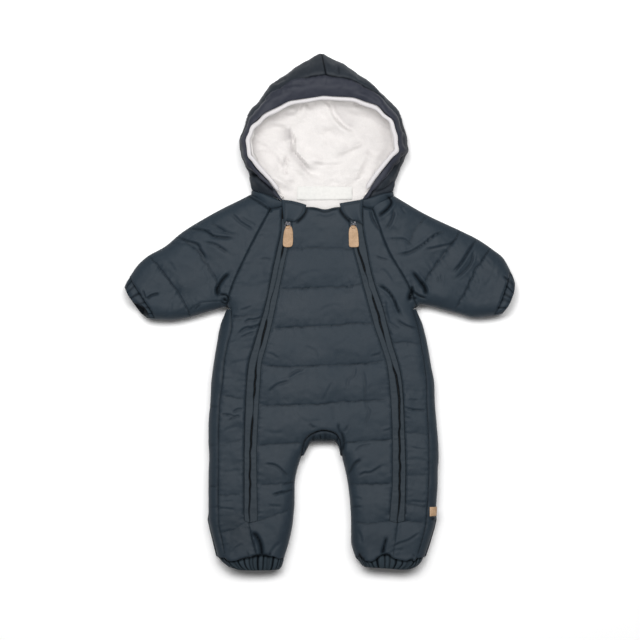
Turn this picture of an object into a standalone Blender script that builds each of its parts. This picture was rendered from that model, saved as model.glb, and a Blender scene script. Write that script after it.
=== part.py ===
"""Baby snowsuit with a pile-lined hood, laid on its back with the hood open.

Quilted, padded cloth is modelled as true walls: a flat back that wraps round
each side to the front, front panels lying on it across a slit, flattened tubes
for the sleeves, cuffs and ankle hems, and a hollow hood whose brim stands up.
Tables are in millimetres, +X to the wearer's left, +Y to the hood, +Z up from
the surface that the suit lies on. Each table row is one section of the cut.
"""

import math

import bmesh
import bpy
import numpy as np

MM = 0.001

# ---- driving dimensions, mm ----
GAP = 0.3                # between neighbouring pieces at a seam
BACK_WALL = 11.0         # padded back, flat underside at z = 0
SLIT = 3.0               # between the back and the front lying on it
FRONT_IN = BACK_WALL + SLIT
EDGE_Z = 12.5            # height at which the sides are widest
VALLEY = 25.0            # top of the front at a line of quilting
CREST = 31.0             # top of the front between two lines of quilting
ROUND_TOP = 22.0         # how far in from the edge the top rounds away
ROUND_LOW = 12.0         # the same underneath
EDGE_WALL = 9.0          # thickness of the cloth where it turns at an edge
HOOD_WALL = 8.0
LINING_GAP = 1.0         # between the hood and its lining
PILE = 2.3               # thickness of the lining with its pile
RIM_ROLL = 3.0           # radius of the rolled edge of the lining
FLAP = 5.0               # turned back foot cover
ZIP_SINK = 6.5           # top of the tape below the cloth beside it
PULL_W, PULL_L, PULL_T = 14.6, 30.0, 2.0
PULL_Z = 32.3            # height of the axis on which each pull swings
PULL_Y = 128.2
PULL_X = {"left": -45.8, "right": 49.2}
BAIL_WIRE, BAIL_HALF, BAIL_LONG = 0.7, 3.9, 4.6

# Sections across the body and legs. The side seam is where the back, wrapped
# round to the front, meets the side front. zo, zs and zi are the outer edge,
# slit and inner edge of a zip; in_l and in_r are the inner legs. puff is 0 on
# a line of quilting and 1 between two.
BODY_COLS = ("y", "left", "seam_l", "zo_l", "zs_l", "zi_l", "in_l", "in_r", "zi_r", "zs_r", "zo_r", "seam_r", "right", "puff")
BODY = (
    (152.2, -134.1, -128.3, -54.5, -47.0, -40.0, -23.9, 29.7, 43.6, 50.2, 61.8, 134.1, 139.9, 0.1),
    (121.8, -134.1, -128.3, -55.6, -48.4, -41.3, -23.8, 29.7, 44.1, 51.3, 63.3, 134.1, 139.9, 0.6),
    (91.3, -134.1, -128.3, -61.5, -53.3, -46.2, -23.6, 29.7, 49.7, 56.2, 68.9, 134.1, 139.9, 0.0),
    (65.2, -134.1, -128.3, -67.4, -59.0, -51.5, -23.5, 29.7, 56.5, 64.6, 73.7, 134.1, 139.9, 1.0),
    (37.7, -134.1, -128.3, -72.9, -65.2, -57.3, -23.3, 29.7, 63.8, 73.0, 81.3, 134.1, 139.9, 0.0),
    (21.8, -134.1, -128.3, -76.1, -68.8, -60.5, -23.3, 29.7, 68.0, 77.7, 86.9, 134.1, 139.9, 0.8),
    (7.2, -134.8, -128.2, -79.6, -72.1, -63.4, -23.2, 29.7, 71.8, 81.9, 92.1, 134.9, 140.4, 1.0),
    (-18.8, -143.3, -127.2, -87.1, -78.0, -69.2, -23.0, 29.7, 79.1, 89.1, 98.8, 142.2, 149.1, 0.0),
    (-46.4, -148.4, -133.6, -95.3, -84.9, -76.1, -22.9, 29.7, 88.5, 97.0, 106.0, 147.6, 155.6, 1.0),
    (-75.4, -153.1, -138.6, -103.3, -91.7, -83.8, -22.8, 29.7, 97.2, 105.5, 114.9, 152.3, 160.6, 0.0),
    (-103.0, -156.4, -140.8, -105.9, -93.6, -85.6, -22.6, 29.7, 100.9, 112.6, 120.0, 155.2, 165.5, 1.0),
    (-129.0, -157.6, -144.7, -107.3, -95.3, -87.3, -22.5, 29.7, 102.9, 115.4, 121.8, 155.6, 166.3, 0.0),
    (-158.0, -160.0, -146.0, -108.4, -97.2, -88.7, -22.5, 30.1, 104.2, 115.6, 123.0, 157.0, 168.7, 1.0),
    (-172.5, -160.2, -146.1, -108.8, -98.2, -89.4, -22.5, 30.3, 104.9, 115.8, 123.5, 157.8, 169.9, 0.6),
    (-187.0, -160.2, -146.3, -109.1, -99.1, -90.0, -22.5, 30.4, 105.1, 115.9, 124.1, 158.3, 171.1, 0.0),
    (-208.8, -159.1, -146.5, -109.5, -100.1, -90.5, -26.8, 32.9, 105.1, 116.0, 124.9, 158.6, 171.8, 0.8),
    (-227.7, -160.0, -146.7, -109.5, -100.4, -90.2, -32.6, 37.3, 105.1, 116.0, 125.3, 158.6, 170.6, 0.9),
    (-246.5, -160.2, -146.9, -109.5, -100.6, -90.0, -35.9, 41.0, 105.0, 116.0, 125.0, 158.0, 170.4, 0.0),
    (-274.1, -160.2, -147.0, -109.5, -100.9, -89.5, -36.2, 44.2, 102.8, 115.3, 124.4, 156.7, 168.6, 1.0),
    (-298.7, -160.2, -146.2, -109.5, -101.2, -89.2, -38.2, 45.6, 100.8, 112.4, 124.0, 154.6, 167.5, 0.2),
    (-304.5, -159.1, -146.0, -98.8, -98.6, -98.4, -38.8, 45.7, 112.0, 112.2, 112.4, 154.1, 166.4, 0.0),
    (-329.1, -153.0, -141.2, -98.5, -98.3, -98.1, -43.7, 45.7, 108.9, 109.1, 109.3, 148.4, 159.3, 1.0),
    (-353.8, -146.8, -136.4, -98.1, -97.9, -97.7, -51.0, 51.6, 105.8, 106.0, 106.2, 140.8, 151.2, 0.0),
)
ZIP_END = -298.7
LEG_TOP = -208.8
ARMPIT_Y = 7.2
CROTCH_Y = -187.0

# Raglan seams, from the neck to the armpit, shared by sleeves, fronts and back.
RAGLAN_COLS = ("y", "left", "right")
RAGLAN = ((149.3, -71.8, 77.6), (91.3, -102.2, 99.3), (37.7, -126.9, 129.8), (8.7, -135.6, 141.4))

# Sections along each sleeve, from the raglan seam to the cuff. up is on the
# shoulder edge, a, b, c lie across and low is on the underarm edge.
SLEEVE_COLS = ("up_x", "up_y", "a_x", "a_y", "b_x", "b_y", "c_x", "c_y", "low_x", "low_y", "puff")
SLEEVE = {
    "left": (
        (-99.3, 171.8, -71.8, 149.3, -102.2, 91.3, -126.9, 37.7, -135.6, 8.7, 0.1),
        (-151.5, 145.7, -113.8, 120.3, -119.6, 81.2, -132.7, 38.7, -141.4, 8.0, 1.0),
        (-199.4, 116.7, -173.3, 95.7, -155.9, 65.2, -147.2, 33.4, -148.6, 5.8, 0.0),
        (-224.0, 96.4, -205.2, 75.4, -189.2, 49.3, -176.2, 20.3, -170.4, -0.7, 1.0),
        (-248.7, 82.6, -231.3, 64.5, -215.3, 42.0, -199.4, 15.9, -187.8, -5.8, 0.0),
        (-263.2, 69.6, -245.8, 49.3, -231.3, 29.0, -221.1, 7.2, -215.3, -10.2, 1.0),
        (-275.5, 52.2, -263.2, 33.4, -251.6, 15.9, -242.9, 2.2, -237.8, -9.4, 0.0),
    ),
    "right": (
        (108.0, 169.7, 77.6, 149.3, 99.3, 91.3, 129.8, 37.7, 141.4, 8.7, 0.1),
        (154.4, 142.8, 128.3, 117.5, 125.4, 81.2, 136.1, 40.6, 147.2, 12.3, 1.0),
        (203.7, 119.6, 183.4, 95.7, 168.9, 71.0, 158.8, 39.1, 160.2, 10.2, 0.0),
        (228.4, 107.3, 209.5, 84.1, 195.0, 59.4, 183.4, 29.0, 179.1, 5.1, 1.0),
        (250.1, 92.8, 232.7, 74.0, 219.7, 50.8, 206.6, 23.2, 199.4, 0.0, 0.0),
        (266.1, 79.8, 253.0, 59.4, 241.4, 36.2, 231.3, 13.0, 225.5, -6.5, 1.0),
        (276.2, 62.4, 271.9, 44.9, 266.1, 27.6, 258.8, 8.7, 251.6, -4.3, 0.0),
    ),
}
# Cuffs and ankle hems, from the seam to the open end, in the same columns.
BAND = {
    "cuff_left": (
        (-276.0, 51.4, -263.7, 32.8, -252.2, 15.4, -243.5, 1.7, -238.4, -9.8, 0.2),
        (-279.8, 44.6, -270.2, 28.2, -260.0, 13.0, -251.2, 0.7, -244.4, -8.8, 0.7),
        (-282.8, 37.7, -276.2, 23.9, -267.5, 10.9, -258.8, 0.0, -250.1, -7.2, 0.2),
    ),
    "cuff_right": (
        (276.8, 61.8, 272.6, 44.6, 266.8, 27.3, 259.5, 8.4, 252.2, -4.5, 0.2),
        (280.6, 53.0, 277.4, 38.2, 272.6, 23.8, 266.0, 8.4, 258.4, -3.2, 0.7),
        (283.5, 43.5, 282.0, 31.9, 278.4, 20.3, 272.6, 8.7, 264.6, -1.4, 0.2),
    ),
    "hem_left": (
        (-146.4, -354.1, -128.0, -354.1, -98.0, -354.1, -70.0, -354.1, -51.3, -354.1, 0.1),
        (-143.5, -361.0, -126.0, -361.5, -98.0, -361.5, -71.0, -361.5, -53.5, -361.0, 0.7),
        (-139.0, -370.0, -124.0, -371.5, -98.0, -372.0, -72.0, -371.5, -56.0, -370.0, 0.5),
        (-132.0, -375.5, -121.0, -376.5, -98.0, -377.0, -74.0, -376.5, -59.5, -375.5, 0.0),
    ),
    "hem_right": (
        (51.9, -354.1, 70.0, -354.1, 103.0, -354.1, 132.0, -354.1, 150.6, -354.1, 0.1),
        (54.5, -361.0, 72.0, -361.5, 103.0, -361.5, 131.0, -361.5, 148.0, -361.0, 0.7),
        (58.5, -370.0, 74.0, -371.5, 103.0, -372.0, 129.0, -371.5, 143.5, -370.0, 0.5),
        (65.0, -375.5, 77.0, -376.5, 102.0, -377.0, 125.0, -376.5, 134.0, -375.5, 0.0),
    ),
}

# The gathered gusset: along its seam with the front, and along its lower edge.
GUSSET_COLS = ("seam_x", "seam_y", "low_x", "low_y")
GUSSET = (
    (-26.3, -207.5, -23.0, -206.5),
    (-22.0, -187.0, -18.1, -197.2),
    (-12.0, -175.9, -10.9, -186.3),
    (5.1, -170.2, 5.1, -185.6),
    (22.2, -174.4, 21.0, -185.6),
    (29.9, -187.0, 27.6, -194.3),
    (32.4, -207.5, 30.2, -206.5),
)

# Sections round the hood from the crown to the neck. rim is the edge of the
# opening, brim the seam behind the folded brim, edge the outermost line and
# floor_y where the section meets the middle of the back.
HOOD_COLS = ("rim_x", "rim_y", "rim_z", "brim_x", "brim_y", "brim_z", "edge_x", "edge_y", "floor_y")
HOOD = {
    "left": (
        (5.1, 313.2, 43.0, 5.5, 343.6, 46.0, 1.4, 377.0, 350.0),
        (-41.3, 305.9, 44.0, -37.0, 336.0, 45.0, -26.8, 361.1, 325.0),
        (-80.5, 287.1, 46.0, -72.8, 315.0, 40.0, -60.7, 340.8, 300.0),
        (-100.7, 269.5, 47.0, -102.2, 279.4, 32.0, -103.5, 286.5, 275.0),
        (-108.0, 248.9, 46.0, -114.6, 250.4, 25.0, -116.2, 251.0, 250.0),
        (-105.5, 226.2, 44.0, -110.7, 226.5, 24.0, -112.6, 226.5, 225.0),
        (-92.1, 207.3, 41.0, -102.2, 206.3, 30.0, -104.4, 206.8, 200.0),
        (-72.0, 187.0, 38.0, -85.0, 187.5, 33.0, -101.0, 190.4, 176.0),
        (-51.8, 161.4, 32.0, -61.5, 165.9, 30.5, -98.0, 178.7, 159.0),
    ),
    "right": (
        (5.1, 313.2, 43.0, 5.5, 343.6, 46.0, 1.4, 377.0, 350.0),
        (47.1, 310.8, 44.0, 45.7, 336.6, 45.0, 31.7, 362.5, 325.0),
        (83.8, 298.7, 46.0, 82.4, 318.3, 40.0, 66.5, 340.3, 300.0),
        (107.5, 278.4, 47.0, 112.6, 285.2, 32.0, 115.3, 291.5, 275.0),
        (114.5, 253.8, 46.0, 123.1, 256.1, 25.0, 125.6, 257.5, 250.0),
        (116.0, 233.4, 44.0, 126.0, 235.2, 24.0, 128.3, 236.0, 225.0),
        (99.3, 213.2, 41.0, 112.2, 214.5, 30.0, 119.0, 213.0, 200.0),
        (80.6, 190.9, 38.0, 94.2, 192.8, 33.0, 110.9, 193.8, 176.0),
        (62.0, 164.2, 32.0, 72.4, 167.0, 30.5, 107.0, 176.7, 159.0),
    ),
}
HOOD_MID = 5.3           # x of the hood's middle seam

# Chin guards: corners of the folded cloth over the top of each zip.
GUARD_COLS = ("top_out_x", "top_out_y", "top_in_x", "top_in_y", "low_in_x", "low_in_y", "low_out_x", "low_out_y")
GUARD = {
    "left": (-51.6, 159.5, -18.4, 157.3, -31.0, 136.5, -51.2, 130.9),
    "right": (59.6, 160.6, 29.4, 158.6, 37.8, 137.0, 60.4, 130.9),
}
LABEL = (-32.6, 47.1, 164.2, 183.4)     # left, right, low, high
TAG = (158.9, 169.0, -293.9, -280.6)


# ---- tools ----
def col(table, names, name):
    return np.array([row[names.index(name)] for row in table], float)


def body(name, y):
    ys = col(BODY, BODY_COLS, "y")[::-1]
    return float(np.interp(y, ys, col(BODY, BODY_COLS, name)[::-1]))


def raglan(side, y):
    ys = col(RAGLAN, RAGLAN_COLS, "y")[::-1]
    return float(np.interp(y, ys, col(RAGLAN, RAGLAN_COLS, side)[::-1]))


def crest(puff):
    return VALLEY + (CREST - VALLEY) * math.sin(max(0.0, min(1.0, puff)) * math.pi / 2)


def outline():
    """The edges of the garment in plan as open chains, without the open ends."""
    chains = []
    for side, name in (("left", "left"), ("right", "right")):
        table = SLEEVE[side]
        up = [(r[0], r[1]) for r in table]
        low = [(r[8], r[9]) for r in table][::-1]
        flank = [(row[BODY_COLS.index(name)], row[0]) for row in BODY if row[0] <= ARMPIT_Y]
        chains += [up, low + flank]
    gusset = [(r[2], r[3]) for r in GUSSET]
    inner_l = [(row[BODY_COLS.index("in_l")], row[0]) for row in BODY if row[0] < LEG_TOP - 1]
    inner_r = [(row[BODY_COLS.index("in_r")], row[0]) for row in BODY if row[0] < LEG_TOP - 1]
    chains.append(inner_l[::-1] + gusset + inner_r)
    return chains


OUTLINE = [np.array(chain, float) for chain in outline()]


def edge_distance(x, y):
    best = 1e9
    point = np.array([x, y], float)
    for chain in OUTLINE:
        a, b = chain[:-1], chain[1:]
        ab = b - a
        t = np.clip(((point - a) * ab).sum(1) / np.maximum((ab * ab).sum(1), 1e-9), 0, 1)
        near = a + ab * t[:, None]
        best = min(best, float(np.hypot(*(point - near).T).min()))
    return best


def rise(d, reach):
    return math.sqrt(max(0.0, 1 - (1 - min(d / reach, 1.0)) ** 2))


def top_z(x, y, high, d=None):
    d = edge_distance(x, y) if d is None else d
    return EDGE_Z + (high - EDGE_Z) * rise(d, ROUND_TOP)


def low_z(x, y, d=None, floor=0.0):
    d = edge_distance(x, y) if d is None else d
    return floor + (EDGE_Z - floor) * (1 - rise(d, ROUND_LOW))


def body_top(x, y):
    return top_z(x, y, crest(body("puff", y)))


def material(name, colour, rough, metallic=0.0):
    made = bpy.data.materials.new(name)
    made.use_nodes = True
    shader = made.node_tree.nodes["Principled BSDF"]
    shader.inputs["Base Color"].default_value = (*colour, 1.0)
    shader.inputs["Roughness"].default_value = rough
    shader.inputs["Metallic"].default_value = metallic
    made.diffuse_color = (*colour, 1.0)
    return made


def new_object(name, mesh, mat):
    obj = bpy.data.objects.new(name, mesh)
    mesh.materials.append(mat)
    mesh.shade_smooth()
    mesh.set_sharp_from_angle(angle=math.radians(40))
    bpy.context.scene.collection.objects.link(obj)
    return obj


def from_faces(name, points, faces, mat):
    mesh = bpy.data.meshes.new(name)
    mesh.from_pydata([tuple(float(c) * MM for c in p) for p in points], [], faces)
    made = bmesh.new()
    made.from_mesh(mesh)
    bmesh.ops.recalc_face_normals(made, faces=made.faces)
    made.to_mesh(mesh)
    made.free()
    return new_object(name, mesh, mat)


def wall(name, outer, inner, mat, active=None, ring=False):
    """A cloth wall between two grids of the same rows and columns. Cells that
    aren't active are left open, and every open border gets an end face. A ring
    joins its last column to its first."""
    outer, inner = np.asarray(outer, float), np.asarray(inner, float)
    rows, cols = outer.shape[:2]
    spans = cols if ring else cols - 1
    if active is None:
        active = np.ones((rows - 1, spans), bool)
    number, points, faces = {}, [], []

    def at(face, i, j):
        key = (face, i, j % cols)
        if key not in number:
            number[key] = len(points)
            points.append((outer if face == 0 else inner)[i, j % cols])
        return number[key]

    def live(i, j):
        if ring:
            j %= cols
        return 0 <= i < rows - 1 and 0 <= j < spans and active[i, j]

    for i in range(rows - 1):
        for j in range(spans):
            if not active[i, j]:
                continue
            faces.append([at(0, i, j), at(0, i, j + 1), at(0, i + 1, j + 1)])
            faces.append([at(0, i, j), at(0, i + 1, j + 1), at(0, i + 1, j)])
            faces.append([at(1, i, j), at(1, i + 1, j + 1), at(1, i, j + 1)])
            faces.append([at(1, i, j), at(1, i + 1, j), at(1, i + 1, j + 1)])
            sides = (((i - 1, j), (i, j), (i, j + 1)), ((i + 1, j), (i + 1, j + 1), (i + 1, j)),
                     ((i, j - 1), (i + 1, j), (i, j)), ((i, j + 1), (i, j + 1), (i + 1, j + 1)))
            for beyond, a, b in sides:
                if live(*beyond):
                    continue
                # the same diagonal on both sides of a seam
                first, second = outer[a[0], a[1] % cols], outer[b[0], b[1] % cols]
                if first @ (1.0, 0.618, 0.1) < second @ (1.0, 0.618, 0.1):
                    faces += [[at(0, *b), at(0, *a), at(1, *b)], [at(0, *a), at(1, *a), at(1, *b)]]
                else:
                    faces += [[at(0, *b), at(0, *a), at(1, *a)], [at(0, *b), at(1, *a), at(1, *b)]]
    return from_faces(name, points, faces, mat)


def with_between(values, widest):
    """The values with one more halfway wherever two are further apart than widest."""
    out = [values[0]]
    for a, b in zip(values, values[1:]):
        if abs(b - a) > widest:
            out.append((a + b) / 2)
        out.append(b)
    return out


def mix(a, b, t):
    return a + (b - a) * t


# ---- front ----
LEG_SPLIT = (0.0, 0.3, 0.6, 0.82, 0.95, 1.0)     # shares from the zip to the inner leg
MID_SPLIT = (1 / 3, 2 / 3)
GUSSET_LIFT = (0.66, 1.0, 0.75)                   # how far the crotch seam lifts each middle column


def lift(y):
    return float(np.interp(y, (-187.0, -172.5, -158.0, -129.0), (16.8, 10.5, 6.0, 0.0)))


def front_centre(mat):
    rows = [y for y in with_between([r[0] for r in BODY], 20.0)]
    outer, inner, active = [], [], []
    for y in rows:
        leg = y <= LEG_TOP + 0.01
        zl, zr = body("zi_l", y) + GAP / 2, body("zi_r", y) - GAP / 2
        il, ir = body("in_l", y), body("in_r", y)
        end = {rows[0]: -GAP, rows[-1]: GAP}.get(y, 0.0)
        line_o, line_i = [], []
        across = [(mix(zl, il, f), 1 - f, -1) for f in LEG_SPLIT]
        across += [(mix(il, ir, 0.25 * k), 0, 0) for k in (1, 2, 3)]
        across += [(mix(zr, ir, f), 1 - f, 1) for f in LEG_SPLIT[::-1]]
        for k, (x, share, turn) in enumerate(across):
            yy = y + end
            if not leg and 6 <= k <= 8:
                yy += lift(y) * GUSSET_LIFT[k - 6]
            if abs(y - CROTCH_Y) < 0.01 and 6 <= k <= 8:
                x, yy = (-12.3, 5.1, 22.5)[k - 6], (-175.2, -169.4, -173.7)[k - 6]
            d = edge_distance(x, yy)
            on_edge = leg and k in (5, 9)
            z = top_z(x, yy, crest(body("puff", y)), d)
            if y == rows[0]:
                z -= 2.0
            if on_edge:
                z = max(z, EDGE_Z + GAP / 2) if y < LEG_TOP - 1 else z
                line_o.append((x, yy, z if y >= LEG_TOP - 1 else EDGE_Z + GAP / 2))
                line_i.append((x + turn * 8.0, yy, EDGE_Z + GAP / 2 if y < LEG_TOP - 1 else FRONT_IN))
                continue
            line_o.append((x, yy, z))
            push = turn * 8.0 * max(0.0, 1 - d / 20.0) if leg else 0.0
            line_i.append((x + push, yy, FRONT_IN))
        outer.append(line_o)
        inner.append(line_i)
    for i in range(len(rows) - 1):
        below = rows[i + 1] <= LEG_TOP + 0.01 or rows[i] <= CROTCH_Y + 0.01
        active.append([not (5 <= j <= 8 and below) for j in range(len(outer[0]) - 1)])
    return wall("front_centre", outer, inner, mat, np.array(active))


def front_side(side, mat):
    sign = -1 if side == "left" else 1
    letter = side[0]
    rows = with_between([r[0] for r in BODY], 20.0)
    outer, inner = [], []
    for y in rows:
        edge = raglan(side, y) if y > ARMPIT_Y + 0.5 else body("seam_" + letter, y)
        out_x = edge - sign * GAP * 0.6
        in_x = body("zo_" + letter, y) + sign * GAP / 2
        line_o, line_i = [], []
        for f in (0.0, 0.3, 0.65, 1.0):
            x = mix(out_x, in_x, f)
            yy = y
            if y == rows[0]:
                yy = mix(RAGLAN[0][0] + 0.1, 153.2, f)
            if y == rows[-1]:
                yy += GAP
            line_o.append((x, yy, body_top(x, yy)))
            line_i.append((x, yy, FRONT_IN))
        outer.append(line_o)
        inner.append(line_i)
    return wall("front_side_" + side, outer, inner, mat)


def gusset(mat):
    outer, inner = [], []
    for seam_x, seam_y, low_x, low_y in GUSSET:
        line_o, line_i = [], []
        for f in (0.0, 0.35, 0.75, 1.0):
            x, y = mix(seam_x, low_x, f), mix(seam_y, low_y, f)
            z = EDGE_Z + GAP / 2 if f == 1.0 else top_z(x, y, VALLEY + 1.5) + 0.3
            line_o.append((x, y, z))
            g = 0.45 * f
            line_i.append((mix(seam_x, low_x, g), mix(seam_y, low_y, g), FRONT_IN if f < 1.0 else EDGE_Z + GAP / 2))
        outer.append(line_o)
        inner.append(line_i)
    return wall("crotch_gusset", outer, inner, mat)


# ---- back, wrapped round each side ----
FLAP_Y = -288.0


def back(mat):
    rows = [152.2, 121.8, 91.3, 65.2, 37.7, 21.8, 7.2, -2.0, -18.8, -46.4, -75.4, -103.0, -129.0, -158.0, -172.5,
            -180.5, -187.0, -208.8, -227.7, -246.5, -274.1, FLAP_Y + 0.4, FLAP_Y - 0.4, -304.5, -329.1, -353.8]
    outer, inner, active = [], [], []
    for y in rows:
        leg = y <= LEG_TOP + 0.01
        sleeve = y > ARMPIT_Y + 0.5
        floor = FLAP + GAP if y < FLAP_Y else 0.0
        high = crest(body("puff", y))
        wide = float(np.interp(y, (-18.8, 7.2), (ROUND_LOW, 6.5)))
        half = {}
        for side, sign in (("left", 1), ("right", -1)):
            letter = side[0]
            edge, seam, inn = body(side, y), body("seam_" + letter, y) - sign * GAP / 2, body("in_" + letter, y)
            if sleeve:
                seam = edge + sign * 5.8
            rag = raglan(side, y) + sign * GAP * 0.6
            if y == rows[0]:
                rag = raglan(side, y) + sign * GAP
            thick = EDGE_WALL if y < 0 else 5.0
            o = [(seam, y, top_z(seam, y, high)),
                 (mix(seam, edge, 0.5), y, top_z(mix(seam, edge, 0.5), y, high)),
                 (edge + sign * 1.2, y, top_z(0, 0, high, 1.2)),
                 (edge, y, EDGE_Z),
                 (edge + sign * 0.25 * wide, y, low_z(0, 0, 3.0, floor)),
                 (edge + sign * wide, y, floor)]
            i_x = edge + sign * thick
            deep = min(abs(seam - edge), thick)
            n = [(seam, y, FRONT_IN),
                 (mix(seam, edge + sign * deep, 0.5), y, FRONT_IN),
                 (i_x if abs(seam - edge) > thick else edge + sign * (thick - 0.6), y, FRONT_IN),
                 (i_x, y, EDGE_Z), (i_x + sign * 0.6, y, BACK_WALL), (edge + sign * (wide + 2), y, BACK_WALL)]
            if abs(seam - edge) <= thick + 1:
                n[0] = (seam, y, FRONT_IN)
                n[1] = (seam - sign * 0.3, y, FRONT_IN)
                n[2] = (seam - sign * 0.6, y, FRONT_IN)
                n[3] = (seam - sign * 0.7, y, EDGE_Z)
                n[4] = (seam - sign * 0.2, y, BACK_WALL)
            if sleeve:
                o[5] = (rag, y, floor)
                n[5] = (rag, y, BACK_WALL)
            start = o[5][0]
            # across the floor to the inner leg
            for k, f in enumerate((0.33, 0.66)):
                x = mix(start, inn - sign * 13.0, f)
                o.append((x, y, floor))
                n.append((x, y, BACK_WALL))
            for k, away in enumerate((12.0, 3.0, 0.0)):
                x = inn - sign * away
                if leg:
                    z = EDGE_Z - GAP / 2 if away == 0 else low_z(0, 0, away, floor)
                    o.append((x, y, z))
                    n.append((inn - sign * (14.0, 9.5, 8.0)[k], y, BACK_WALL if away else EDGE_Z - GAP / 2))
                else:
                    yy = y
                    if abs(y - CROTCH_Y) < 0.01:
                        yy = y - (0.0, 4.0, 10.2 if side == "left" else 7.3)[k]
                        if away == 0:
                            x = GUSSET[1][2] if side == "left" else GUSSET[5][2]
                            o.append((x, yy, EDGE_Z - GAP / 2))
                            n.append((x - sign * 4.0, yy + 6.0, EDGE_Z - GAP / 2))
                            continue
                    d = edge_distance(x, yy)
                    o.append((x, yy, low_z(x, yy, d, floor)))
                    n.append((x, yy + 6.0 * max(0.0, 1 - d / 12.0), BACK_WALL))
            half[side] = (o, n)
        mids_o, mids_n = [], []
        for k in (1, 2, 3):
            x = mix(body("in_l", y), body("in_r", y), 0.25 * k)
            if abs(y - CROTCH_Y) < 0.01:
                x, yy = GUSSET[1 + k][2], GUSSET[1 + k][3]
                mids_o.append((x, yy, EDGE_Z - GAP / 2))
                mids_n.append((x, yy + 8.0, EDGE_Z - GAP / 2))
                continue
            yy = y
            d = edge_distance(x, yy)
            mids_o.append((x, yy, 0.0 if leg else low_z(x, yy, d)))
            mids_n.append((x, yy + (8.0 * max(0.0, 1 - d / 16.0) if not leg else 0.0), BACK_WALL))
        o = half["left"][0] + mids_o + half["right"][0][::-1]
        n = half["left"][1] + mids_n + half["right"][1][::-1]
        end = {rows[0]: -2.9 - GAP, rows[-1]: GAP}.get(y, 0.0)
        outer.append([(a, b + end, c) for a, b, c in o])
        inner.append([(a, b + end, c) for a, b, c in n])
    cells = len(outer[0]) - 1
    for i in range(len(rows) - 1):
        line = []
        for j in range(cells):
            here = True
            if rows[i] > ARMPIT_Y + 0.5 and (j < 5 or j >= cells - 5):
                here = False
            if rows[i] <= CROTCH_Y + 0.01 and 10 <= j < cells - 10:
                here = False
            line.append(here)
        active.append(line)
    return wall("back", outer, inner, mat, np.array(active))


# ---- sleeves, cuffs and hems ----
ACROSS = (0.0, 0.04, 0.1, 0.2, 0.35, 0.5, 0.65, 0.8, 0.9, 0.96, 1.0)
NODES_AT = (0.0, 0.2, 0.5, 0.8, 1.0)


def across_row(row, v):
    return np.array([np.interp(v, NODES_AT, row[0:10:2]), np.interp(v, NODES_AT, row[1:10:2])])


def tube(name, table, mat, own_edges, between, shift=0.0, valley=VALLEY, high=CREST, floor=0.0, wall_at_edge=EDGE_WALL):
    """A flattened tube of cloth: over the top from the up edge to the low one
    and back underneath, with a slit between the two walls."""
    rows = []
    for a, b in zip(table, table[1:]):
        for k in range(between + 1):
            rows.append(tuple(mix(np.array(a), np.array(b), k / (between + 1))))
    rows.append(tuple(table[-1]))
    outer, inner = [], []
    for n, row in enumerate(rows):
        size = sum(math.dist(across_row(row, a), across_row(row, b)) for a, b in zip(ACROSS, ACROSS[1:]))
        tall = valley + (high - valley) * math.sin(max(0.0, min(1.0, row[10])) * math.pi / 2)
        inset = wall_at_edge / size
        line_o, line_i = [], []
        towards = rows[n + 1] if n == 0 else (rows[n - 1] if n == len(rows) - 1 else None)
        for under, vs in ((False, ACROSS), (True, ACROSS[-2:0:-1])):
            for v in vs:
                p = across_row(row, v)
                if inset > 0.15:
                    q = across_row(row, inset + v * (1 - 2 * inset))
                elif v < 0.2:
                    q = across_row(row, inset + v * (0.2 - inset) / 0.2)
                elif v > 0.8:
                    q = across_row(row, 1 - inset - (1 - v) * (0.2 - inset) / 0.2)
                else:
                    q = p
                if towards is not None:
                    step = across_row(towards, v) - p
                    push = step / max(float(np.hypot(*step)), 1e-6) * shift
                    p, q = p + push, q + push
                d = min(v, 1 - v) * size if own_edges else edge_distance(*p)
                if v in (0.0, 1.0):
                    line_o.append((p[0], p[1], EDGE_Z))
                    line_i.append((q[0], q[1], EDGE_Z))
                elif under:
                    line_o.append((p[0], p[1], low_z(0, 0, d, floor)))
                    line_i.append((q[0], q[1], BACK_WALL))
                else:
                    line_o.append((p[0], p[1], top_z(0, 0, tall, d)))
                    line_i.append((q[0], q[1], FRONT_IN))
        outer.append(line_o)
        inner.append(line_i)
    return wall(name, outer, inner, mat, ring=True)


def foot_cover(side, mat):
    sign = 1 if side == "left" else -1
    letter = side[0]
    outer, inner = [], []
    for y in (FLAP_Y - 1.0, -300.0, -315.0, -330.0, -345.0, -353.0):
        a = body(side, y) - sign * 1.6
        b = body("in_" + letter, y) - sign * 5.0
        if y == FLAP_Y - 1.0:
            a += sign * 1.5
        shares = (0.0, 0.03, 0.35, 0.68, 0.97, 1.0)
        high = (FLAP * 0.55, FLAP, FLAP, FLAP, FLAP, FLAP * 0.55)
        low = (FLAP * 0.45, 0.0, 0.0, 0.0, 0.0, FLAP * 0.45)
        outer.append([(mix(a, b, s), y, z) for s, z in zip(shares, high)])
        inner.append([(mix(a, b, s), y, z) for s, z in zip(shares, low)])
    return wall("foot_cover_" + side, outer, inner, mat)


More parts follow.
